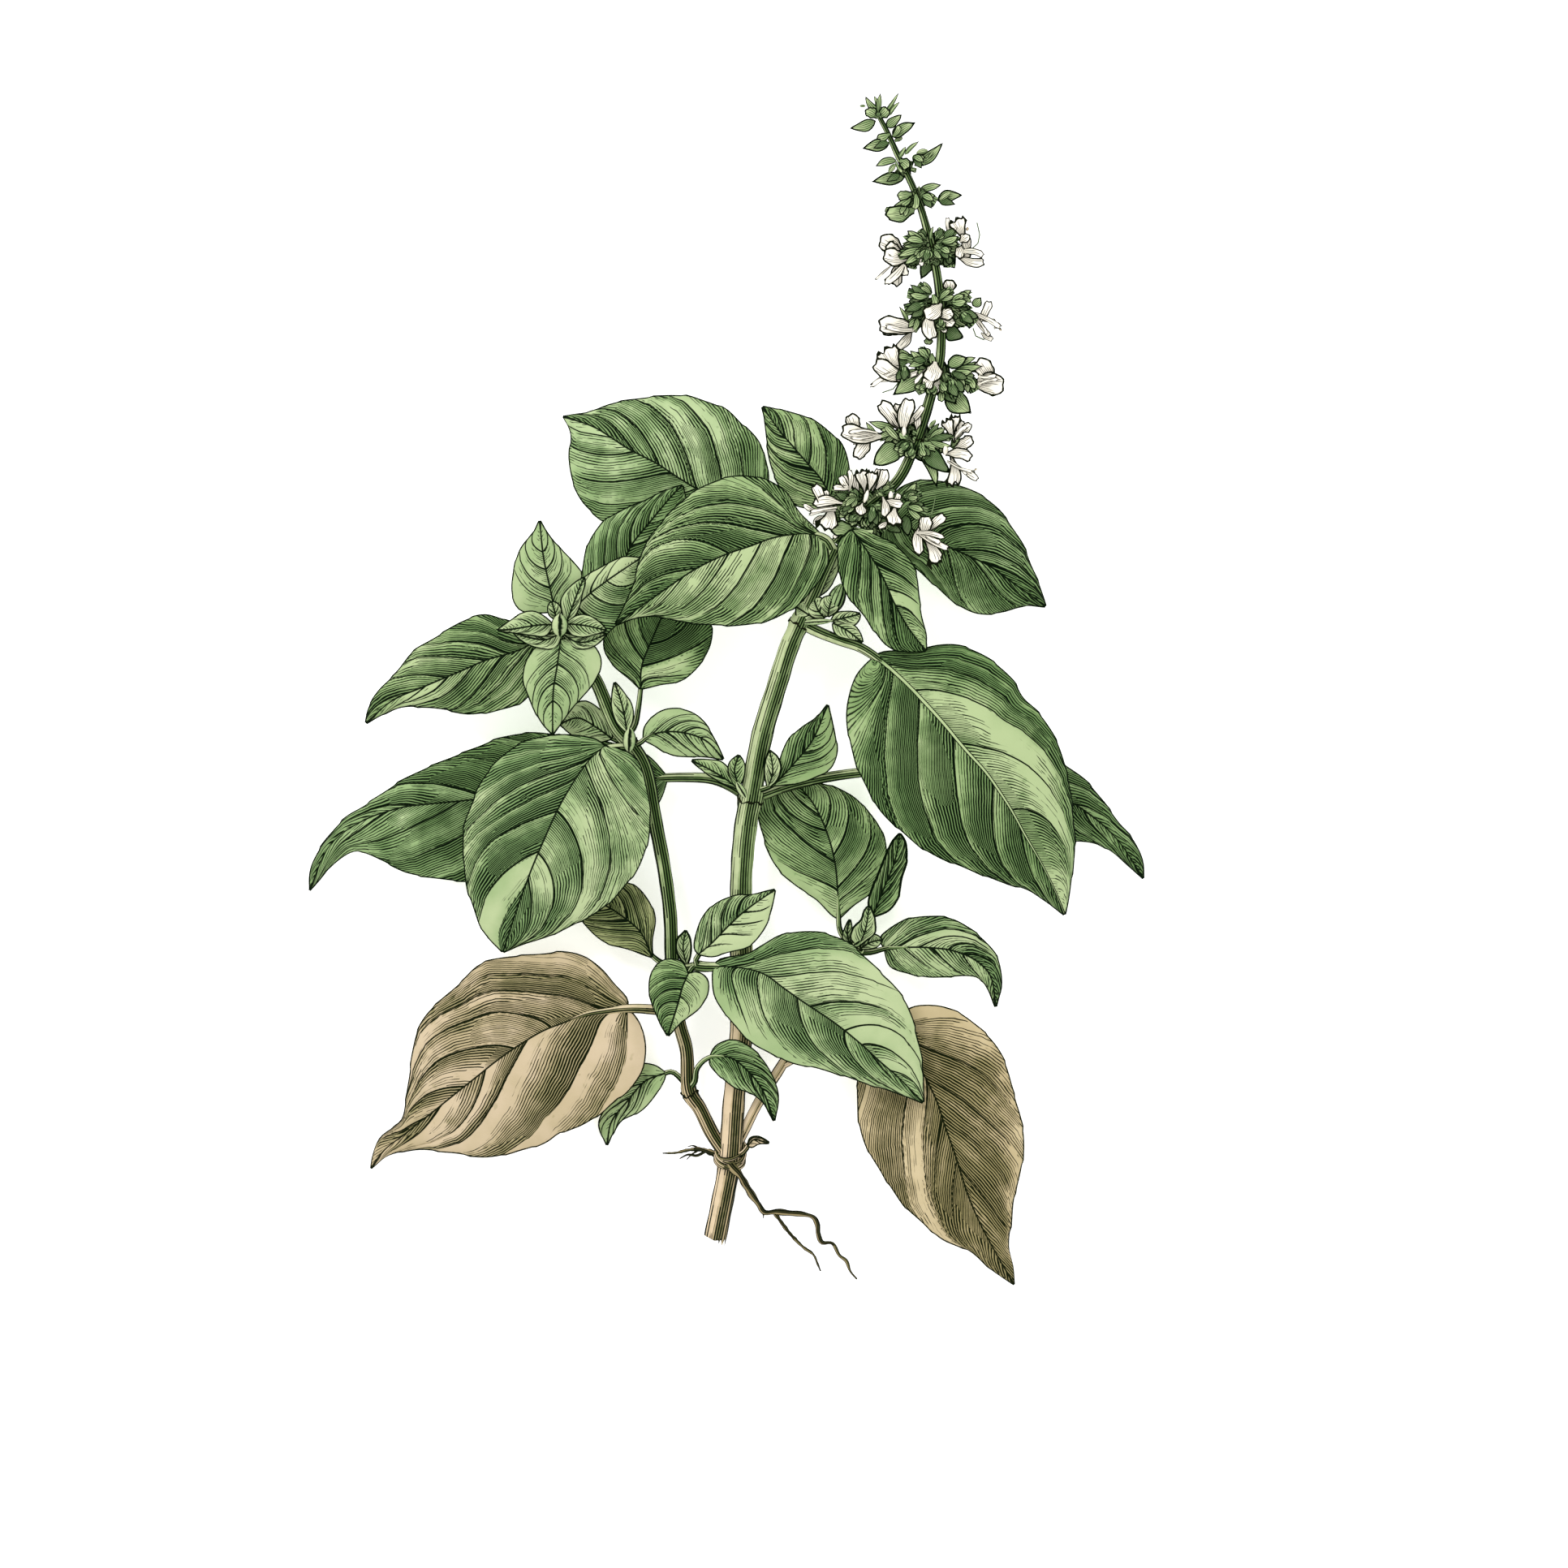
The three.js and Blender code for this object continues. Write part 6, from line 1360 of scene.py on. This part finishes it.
def petalPaint(name, tint, lineCount, lineReach, lift=lightShare, look=petalInk):
    # A drawn edge line and a few fine lines that run in from the base.
    paint = Paint(name)
    grain = paint.noise(look["grainScale"], 2.0, paint.place())
    across, run, width = (paint.read(value) for value in ("acrossPart", "runPart", "widthPart"))
    band = (width * look["outlineShare"]).maths("MINIMUM", look["outline"])
    edge = (paint.read("edge") + (grain - 0.5) * look["outlineShake"]).inside(band)
    count = (width * (lineCount / look["fullWidth"])).maths("ROUND").maths("MAXIMUM", 1.0)
    lines = across * count + 0.5
    number = lines.rounded()
    near = abs(lines - number) * width / count
    reach = lineReach + (paint.chance(number) - 0.5) * look["lineChange"]
    drawn = (1 - near.between(*look["lineEdge"])) * (1 - (run - reach).between(-0.05, 0.1))
    ink = edge.maths("MAXIMUM", drawn * look["lineDarkness"])
    # The wash is painted shade, deeper towards the base and the sides of the part, with random grain.
    wash = (1 - run) * 0.6 + (grain - 0.5) * 0.5 + abs(across) * 0.25
    colour = paint.washed(wash, tint, look["washStops"], lift)
    colour = paint.mix(ink, colour, rgb(tint["ink"]))
    return paint.finish(colour, grain * 0.4 - ink * 0.3, look["bumpDepth"])


calyxInk = dict(
    grainScale=800,
    shake=0.3,
    lineWidth=(0.06, 0.22),   # on the light side, and how much more on the shaded one
    lineSoftness=0.14,
    rim=(0.82, 0.92),         # how far out the dark sides start
    grainStops=(0.45, 0.8),
    bumpDepth=0.0001,
)


def calyxPaint(name, tint, lineCount, look=calyxInk):
    # Ribs drawn along the cup, heavier on its side with painted shade, which is also painted a deeper green,
    # and a dark line down each side.
    paint = Paint(name)
    grain = paint.noise(look["grainScale"], 2.0, paint.place())
    _, around, toRight = paint.lay()
    lines = around * lineCount + (grain - 0.5) * look["shake"]
    near = abs(lines - lines.rounded())
    # Painted shade on the right side of the cup.
    dark = toRight.between(-0.2, 1.0)
    thin, more = look["lineWidth"]
    drawn = 1 - (near - dark * more - thin).between(0.0, look["lineSoftness"])
    ink = drawn.maths("MAXIMUM", abs(toRight).between(*look["rim"]))
    colour = paint.mix(dark, rgb(tint["pale"]), rgb(tint["mid"]))
    colour = paint.mix(grain.between(*look["grainStops"]), colour, rgb(tint["deep"]))
    colour = paint.mix(ink, colour, rgb(tint["ink"]))
    return paint.finish(colour, grain - ink * 0.5, look["bumpDepth"])


# The darker bract and calyx paints are painted-shade copies, for parts that lie under others or in shade.
flowerPaints = dict(
    petal=petalPaint("petal", petalTint, 3.0, 0.72, lift=0.68),
    bract=petalPaint("bract", greens, 3.0, 0.85),
    darkBract=petalPaint("bract_shaded", shadedGreens, 4.5, 1.1),
    calyx=calyxPaint("calyx", greens, 10),
    darkCalyx=calyxPaint("calyx_shaded", shadedGreens, 12),
    petalBud=calyxPaint("petal_bud", petalTint, 2),
    anther=calyxPaint("anther", leafTints["tan"], 3),
)
paintOrder = list(flowerPaints)
partForm = dict(
    levels=(-0.9, 0.5, 1.8, 2.9),   # of the four layers of parts, from the whorl's own height, mm
    petalThickness=0.14,
    fuller=1.22,              # petals are a little wider than their marks
    petalRoot=0.32,           # and start this much of their length further back
    bractThickness=0.22,
    bractFuller=1.1,
    lowest=0.2,
    sharpAngle=60,
    cells=(10, 8),            # along and across
    smallCells=(7, 4),
    smallWidth=0.9,
    outlineSteps=16,
    cup=0.35,
    arch=0.12,
    bend=0.08,
    ripple=0.035,
    tipRise=0.15,
    threadRadius=0.14,
    kinds=dict(
        petal=dict(paint="petal", base=0.34, shoulder=0.5, roundEnd=1.0, lift=0.7),
        fan=dict(paint="petal", base=0.22, shoulder=0.95, roundEnd=0.55, notch=0.17, lift=0.8),
        strap=dict(paint="petal", base=0.7, shoulder=0.4, roundEnd=0.9, lift=0.6),
        leaflet=dict(paint="bract", base=0.5, shoulder=0.5, roundEnd=0.9, lift=0.5),
        bract=dict(paint="bract", point=0.75, lift=0.1),
        darkBract=dict(paint="darkBract", point=0.75, lift=-0.1),
        sepal=dict(paint="bract", point=1.0, small=True, lift=0.6),
        shadedSepal=dict(paint="darkBract", point=1.0, small=True, lift=0.5),
    ),
    cupKinds=dict(bud="petalBud", bloom="calyx", greenBud="calyx", anther="anther"),
)


def flatPart(bm, kind, start, end, width, index, form=partForm):
    # A petal or bract: a cupped sheet from start to end, closed into a thin solid.
    look = form["kinds"][kind]
    rows, columns = form["smallCells"] if width < form["smallWidth"] or "small" in look else form["cells"]
    names = ("edge", "acrossPart", "runPart", "widthPart")
    edge, acrossPart, runPart, widthPart = (layer(bm, name) for name in names)
    verts = bmesh.ops.create_grid(bm, x_segments=rows, y_segments=columns, size=1)["verts"]
    faces = list({face for vert in verts for face in vert.link_faces})
    start, end = Vector(start), Vector(end)
    length = (end - start).to_2d().length
    way = (end - start).normalized()
    side = Vector((-way.y, way.x, 0)).normalized()

    def halfWidth(run):
        if "point" in look:
            return math.sin(math.pi * min(run, 0.999) ** look["point"]) ** 0.8 * 0.5 + 0.02
        return (look["base"] + (1 - look["base"]) * float(smooth(run, 0, look["shoulder"]))) * 0.5

    def spot(run, across):
        rounding = look.get("roundEnd", 0) * width / 2 * (1 - math.sqrt(1 - across * across * 0.99))
        ripple = form["ripple"] * length * math.sin(6 * across + index * 1.7)
        notch = look.get("notch", 0) * length * abs(math.sin(1.5 * math.pi * across + 0.4))
        pull = rounding * run ** 2 + ripple * run ** 3 + notch * run ** 4
        aside = across * halfWidth(run) * (1 + 0.07 * math.sin(run * 8 + index)) * width
        aside += form["bend"] * math.sin(index * 2.4) * length * math.sin(math.pi * run)
        place = start + way * (run * length - pull) + side * aside
        place.z += form["arch"] * length * math.sin(math.pi * run)
        place.z += form["cup"] * across * across * width * 0.5 * run + look["lift"] * run
        return place

    count = form["outlineSteps"]
    outline = [spot(run, -1) for run in np.linspace(0, 1, count)]
    outline += [spot(1, across) for across in np.linspace(-1, 1, count)]
    outline += [spot(run, 1) for run in np.linspace(1, 0, count)] + [spot(0, 1)]
    outline = np.array([place.to_2d() for place in outline])
    places = [((vert.co.x + 1) / 2, vert.co.y) for vert in verts]
    spots = [spot(*place) for place in places]
    away = nearest(np.array([place.to_2d() for place in spots]), outline)
    for vert, (run, across), place, distance in zip(verts, places, spots, away):
        vert.co = (place.x, place.y, max(place.z, form["lowest"]))
        vert[edge] = distance if run > 0.12 else max(distance, 0.1 + run)   # the base has no edge line
        vert[acrossPart] = across
        vert[runPart] = run
        vert[widthPart] = width
    for face in faces:
        face.material_index = paintOrder.index(look["paint"])
    thickness = form["petalThickness"] if look["paint"] == "petal" else form["bractThickness"]
    bmesh.ops.solidify(bm, geom=faces, thickness=thickness)


cupForm = dict(
    widths=(0.2, 0.48, 0.56, 0.52, 0.47, 0.56),   # a calyx from its base to its mouth
    budCurve=0.55,
    leastWidth=0.08,
    tooth=0.3,
    ribs=0.08,
    rise=0.06,
    cellsPerLength=7,
    leastCell=0.2,
)


def cupPart(bm, start, end, width, material, teeth=0, sides=10, form=cupForm):
    # A calyx with a toothed mouth, or a closed round bud.
    start, end = Vector(start), Vector(end)
    length = (end - start).length
    middle = start.lerp(end, 0.5) + Vector((0, 0, length * form["rise"]))
    cell = max(length / form["cellsPerLength"], form["leastCell"])
    if not teeth:
        def budRadius(share):
            swell = math.sin(math.pi * min(max(share, 0.02), 0.98)) ** form["budCurve"]
            return width * 0.5 * max(form["leastWidth"], swell)

        tube(bm, (start, middle, end), budRadius, cell, sides, material=material)
        return

    def mouth(row, rows, turn):
        return form["tooth"] * length * max(0, math.cos(teeth * turn)) if row == rows else 0

    def ribbed(share, turn):
        return 1 + form["ribs"] * math.cos(teeth * 2 * turn) * share

    tube(bm, (start, middle, end), listed([width * share for share in form["widths"]]), cell, sides, ribbed,
         material, mouth)


calyxForm = dict(
    cupLength=0.8,
    cupWidth=0.9,
    teeth=5,
    sepalTurns=(-0.42, 0.42, 0.02),
    sepalLength=(0.98, 0.14),
    sepalWidth=0.72,
    sepalLifts=(0.2, 0.2, 0.34),
    lowest=0.6,
)


def calyx(bm, start, end, width, dark, index, form=calyxForm):
    # A ribbed cup with three pointed sepals fanned over it.
    start, end = Vector(start), Vector(end)
    # The cup, under its sepals, takes the painted-shade calyx paint.
    cupPart(bm, start, start.lerp(end, form["cupLength"]), width * form["cupWidth"],
            paintOrder.index("darkCalyx"), form["teeth"])
    run = end - start
    length, change = form["sepalLength"]
    for place, (turn, lift) in enumerate(zip(form["sepalTurns"], form["sepalLifts"])):
        reach = Matrix.Rotation(turn, 3, "Z") @ run
        lift = Vector((0, 0, width * lift))
        tip = start + reach * (length + change * math.sin(index * 2.3 + place * 1.9)) + lift
        tip.z = max(tip.z, form["lowest"])
        # Sepals of a shaded calyx, and one in four of the others, take the painted-shade copy.
        kind = "shadedSepal" if dark or (index + place) % 4 == 1 else "sepal"
        flatPart(bm, kind, start + lift, tip, width * form["sepalWidth"], index + place)


# Round each whorl more calyxes stand out from the stem: where, how many, how far out, how far down the stem.
clusters = {
    "whorl_1": dict(centre=(31.8, 40.0), count=22, bracts=16, reach=7.2, spread=4.2, width=3.0),
    "whorl_2": dict(centre=(42.2, 55.2), count=15, bracts=13, reach=6.2, spread=2.6, width=2.6),
    "whorl_3": dict(centre=(46.2, 69.2), count=15, bracts=13, reach=6.2, spread=2.6, width=2.6),
    "whorl_4": dict(centre=(47.2, 83.8), count=14, bracts=12, reach=5.8, spread=2.4, width=2.4),
    "whorl_5": dict(centre=(45.6, 98.3), count=13, bracts=12, reach=5.0, spread=2.2, width=2.1),
    "bud_whorl_1": dict(centre=(42.4, 109.2), count=9, bracts=8, reach=3.2, spread=1.1, width=1.5),
    "bud_whorl_2": dict(centre=(39.6, 115.2), count=8, bracts=7, reach=2.7, spread=0.9, width=1.3),
}
clusterForm = dict(
    samples=400,
    turnStep=2.4,             # radians from one calyx to the next
    onTopEvery=3,             # one calyx in three lies over the stem
    base=0.34,                # calyxes start this far out
    lowest=1.0,
    bractWidth=1.5,           # as a share of a calyx
    bractDrop=(0.7, 1.2),
    bractLowest=0.5,
)
spike = Curve(points(stems["flower_spike_stem"]["path"]))


def addCluster(bm, name, plan, form=clusterForm):
    centre, way, side, up = spike.frame(spike.nearestShare(plan["centre"], form["samples"]))
    for number in range(plan["count"]):
        turn = number * form["turnStep"] + len(name)
        wobble = math.sin(number * 5.1)
        onTop = number % form["onTopEvery"] == 0
        if onTop:
            out = side * math.cos(turn) - way * math.sin(turn) * 0.8 + up * 0.1
        else:
            out = side * math.cos(turn) + up * math.sin(turn) * 0.36 - up * 0.05
        start = centre + way * (plan["spread"] * 0.5 * math.sin(number * 1.9)) + out * 0.9
        start += up * (1.3 if onTop else -0.3)
        size = plan["reach"] * (0.86 + 0.14 * wobble) * (0.75 if onTop else 1.0)
        end = start + out * size * 0.86 - way * size * (0.3 + 0.3 * math.sin(number * 3.3))
        end.z = max(end.z, form["lowest"])
        width = plan["width"] * (0.9 + 0.12 * wobble)
        # Calyxes turned one way round the stem, beneath it for most, take the painted-shade copy.
        calyx(bm, start.lerp(end, form["base"]), end, width, math.sin(turn) < -0.5, number)
    startDrop, endDrop = form["bractDrop"]
    for number in range(plan["bracts"]):
        turn = number * fullTurn / plan["bracts"] + 0.5 * math.sin(number * 2.7 + len(name))
        out = side * math.cos(turn) - way * math.sin(turn) * 0.72
        size = plan["reach"] * (0.98 + 0.16 * math.sin(number * 4.3))
        start, end = centre + out * 0.4, centre + out * size
        start.z = max(start.z - startDrop, form["bractLowest"])
        end.z = max(end.z - endDrop, form["bractLowest"])
        # Two bracts in three take the painted-shade copy.
        kind = "darkBract" if number % 3 else "bract"
        flatPart(bm, kind, start, end, plan["width"] * form["bractWidth"], number)


def addPart(bm, kind, start, end, width, index, form=partForm):
    if kind in form["kinds"]:
        if form["kinds"][kind]["paint"] == "petal":
            root = start.lerp(end, -form["petalRoot"])
            flatPart(bm, kind, root, end, width * form["fuller"], index)
        else:
            flatPart(bm, kind, start, end, width * form["bractFuller"], index)
    elif kind in ("calyx", "darkCalyx"):
        calyx(bm, start.lerp(end, 0.15), end, width * 2, kind == "darkCalyx", index)
    elif kind in form["cupKinds"]:
        cupPart(bm, start, end, width * 1.15, paintOrder.index(form["cupKinds"][kind]))
    else:
        middle = start.lerp(end, 0.5)
        middle.z = start.z + 0.2
        tube(bm, (start, middle, end), lambda share: form["threadRadius"], 0.5, 6,
             material=paintOrder.index("darkCalyx"))


def flowerPiece(name, base, parts, form=partForm):
    bm = bmesh.new()
    if name in clusters:
        addCluster(bm, name, clusters[name])
    for index, part in enumerate(parts.split(",")):
        *kinds, x0, y0, x1, y1, width, level = part.split()
        kind = kinds[0] if kinds else kind
        height = base + form["levels"][int(level)]
        start = Vector((float(x0), float(y0), height))
        end = Vector((float(x1), float(y1), height + form["tipRise"] * math.sin(index)))
        addPart(bm, kind, start, end, float(width), index)
    addPiece(bm, name, flowerPaints.values(), sharpAngle=form["sharpAngle"])


for name, (base, parts) in flowerParts.items():
    flowerPiece(name, base, parts)
print("flower pieces made:", len(flowerParts))


# Young shoots: lobes are buds, from point to point, with a radius and a paint; leaflets are small blades:
# how far the margins hang below the midrib, and the midrib / the left margin / the right margin.
shoots = {
    "side_shoot_bud": dict(
        tint="fresh", lobes=[("-36.9 11.7 23.4, -36.9 16.6 24", 1.95, "bloom")],
        leaflets=[
            (0.6, "-38.4 14.2 21.8, -41 14.2 23.4, -44 13.8 24, -47 13.3 23.6, -50.6 13 21.8 / -40.1 11.9,"
            "-43.2 12.1, -46.6 12.6 / -40.5 16, -42.7 17, -45.4 16.6, -47.3 15.3"),
            (0.6, "-35.7 14.4 21.8, -33.6 14.3 23.2, -31.1 14 23.9, -26.6 13 22.2 / -33.3 16, -31.9 16.3,"
            "-29.7 15.7, -27.9 14.4 / -34.2 12.2, -32.4 11.7, -29.7 12.1"),
            (0.5, "-35.6 14.2 21.4, -34.4 17.4 23.2, -32.9 21.4 23.9, -31.5 24.7 22.6 / -36.2 17.1,"
            "-36.5 19.3, -35.6 21.4, -33.7 23.2 / -33.5 16.6, -32.6 18.9, -32 21.4, -31.5 23.2"),
            (0.3, "-37.6 15.3 23, -38.2 17.8 23.6, -38.7 19.4 23.4 / -39.1 16.4, -39.4 18.2 / -36.7 17.3,"
            "-37.3 18.7"),
            (0.4, "-36.5 12.5 20.2, -40.1 10.9 22, -43.6 11.4 22, -47.3 12.6 20.6 / -37.8 9.4, -41.4 9.2,"
            "-44.5 10.4 / -38.7 11.9, -43.2 12.1"),
            (0.4, "-36.5 12.4 20.2, -33.4 10.5 21.7, -31.1 10.4 21.9, -26.5 12.2 20.4 / -32.9 11.7,"
            "-28.8 12.2 / -33.3 9.2, -29.7 9.5"),
        ]),
    "left_axil_bud": dict(
        tint="fresh", lobes=[("-21.6 -14 17.6, -21.4 -8.6 17.8", 1.5, "bloom")],
        leaflets=[
            (0.5, "-22 -9.8 17.8, -23 -4 18.2, -24.8 1.5 17.6 / -24.4 -7, -25.3 -3 / -20.9 -6.8, -21 -4,"
            "-22.6 -1.2"),
        ]),
    "middle_node_leaves_left": dict(
        tint="mid", lobes=[("4.4 -24.2 17, 2.2 -20.6 17.6", 0.9, "bloom")],
        leaflets=[
            (0.5, "3 -22.2 17.3, -2 -18.8 17.9, -7.7 -15.8 17.3 / -1 -20.6, -5 -18 / 1 -18.6, -1 -16.4,"
            "-4 -15.8"),
            (0.3, "2.8 -21.6 17.4, 1.8 -18 18, 2.8 -14.6 17.6 / 0.9 -19.4, 0.7 -16.6 / 3.8 -19.4,"
            "3.9 -16.6"),
        ]),
    "upper_node_shoot": dict(
        tint="fresh", lobes=[("16.4 14.6 24.4, 23.6 15.1 26.6", 0.7, "bloom"),
            ("23.2 16.6 23.6, 25.6 23.2 24.2", 2, "dark")],
        leaflets=[
            (0.4, "19.8 20.2 22.6, 21.8 25.4 23.2, 24.3 31.9 22.8 / 20 22.9, 21.4 26.8, 22.7 30.1 /"
            "22.1 21.8, 24.3 25.4, 25 29"),
            (0.5, "22.5 16 25, 22.9 18.4 25.8, 23.8 20.7 25.6 / 20.7 17.5, 21.4 20 / 24.5 17.5, 24.8 19.3"),
            (0.5, "21.8 15.7 24.8, 20.3 17.5 25.5, 19.3 20.2 25.2 / 19.3 16, 18 17.8 / 21.8 17.8, 21.1 20"),
            (0.5, "20 15.3 24.6, 17.8 16.7 25.2, 15.5 18.2 24.8 / 18.2 14.6, 15.8 15.8 / 19.6 18.2,"
            "17.5 19.6"),
            (0.4, "23.2 15.1 26.3, 26.1 15.7 26.8, 29.7 16.6 26.4 / 24.3 16.6, 27.2 17 / 26.1 14.6,"
            "28.3 14.2, 29.3 15.3"),
            (0.4, "23.6 14.6 26.3, 26.5 13.1 26.8, 30.2 10.3 26.4 / 26.1 14.9, 28.3 13.9, 29.5 12.4 /"
            "23.8 13.3, 24.7 11.9, 27 11.2, 29.3 10.8"),
        ]),
    "right_axil_bracts": dict(
        tint="fresh", lobes=[("28.2 -56.8 12.9, 29.8 -55.6 13.5", 0.9, "bloom")],
        leaflets=[
            (-0.5, "29.3 -57.1 13.1, 30.8 -53.5 14.6, 31.7 -48.1 15.2 / 27.7 -55.4, 28.3 -52.9, 30.1 -51.1,"
            "30.8 -48.8 / 31.1 -55.6, 32.8 -54.2, 32.9 -51.7, 32.4 -49.5"),
            (0.2, "27.2 -56.3 13, 26.8 -53.8 13.4, 27.4 -51.1 13.1 / 25.9 -55.3, 26.3 -53.3 / 27.7 -54.5,"
            "27.7 -52.7"),
            (0.3, "29.7 -57.6 12.6, 31.9 -56.2 13.2, 34.6 -55.6 12.8 / 30.8 -55.4, 32.8 -54.5 / 31.5 -57.6,"
            "33.3 -57.1"),
        ]),
}
# Small bud leaves that belong to a stem or a leaf.
budLeaves = {
    "front_shoot": (-0.6, "-8.8 -61.4 13.2, -9.6 -57.5 13.8, -9 -53.5 13.6 / -10.7 -58.8, -10.9 -55.8 /"
        "-8 -58.8, -8.1 -55.6"),
    "middle_node_leaf_right": (-0.6, "9.2 -22 16.3, 10.3 -18.2 18.6, 9.6 -13.6 18.8 / 8.6 -19.4, 8.7 -16 /"
        "11 -20.4, 12 -17.2, 11.2 -15"),
}
# A dark lobe takes the painted-shade calyx paint.
lobeForm = dict(
    sides=14,
    paints=dict(bloom=2, dark=3),
)


budSkin = calyxPaint("shoot_bud", leafTints["fresh"], 4)


def shootPiece(name, plan, form=lobeForm):
    blade = leafMaterials[plan["tint"]]
    bm = bmesh.new()
    for number, (droop, outlines) in enumerate(plan["leaflets"]):
        addBlade(bm, name + str(number), readShape(outlines, droop, droop), blade)
    for path, radius, kind in plan["lobes"]:
        start, end = points(path)
        cupPart(bm, start, end, radius * 2, form["paints"][kind], sides=form["sides"])
    addPiece(bm, name, (*blade, budSkin, flowerPaints["darkCalyx"]))


def budLeafPiece(name, droop, outlines):
    bm = bmesh.new()
    blade = leafMaterials["fresh"]
    addBlade(bm, name + "_bud", readShape(outlines, droop, droop), blade)
    addPiece(bm, name + "_bud_leaf", blade, node=name)


for name, plan in shoots.items():
    shootPiece(name, plan)
for name, (droop, outlines) in budLeaves.items():
    budLeafPiece(name, droop, outlines)
print("shoots made:", len(shoots))
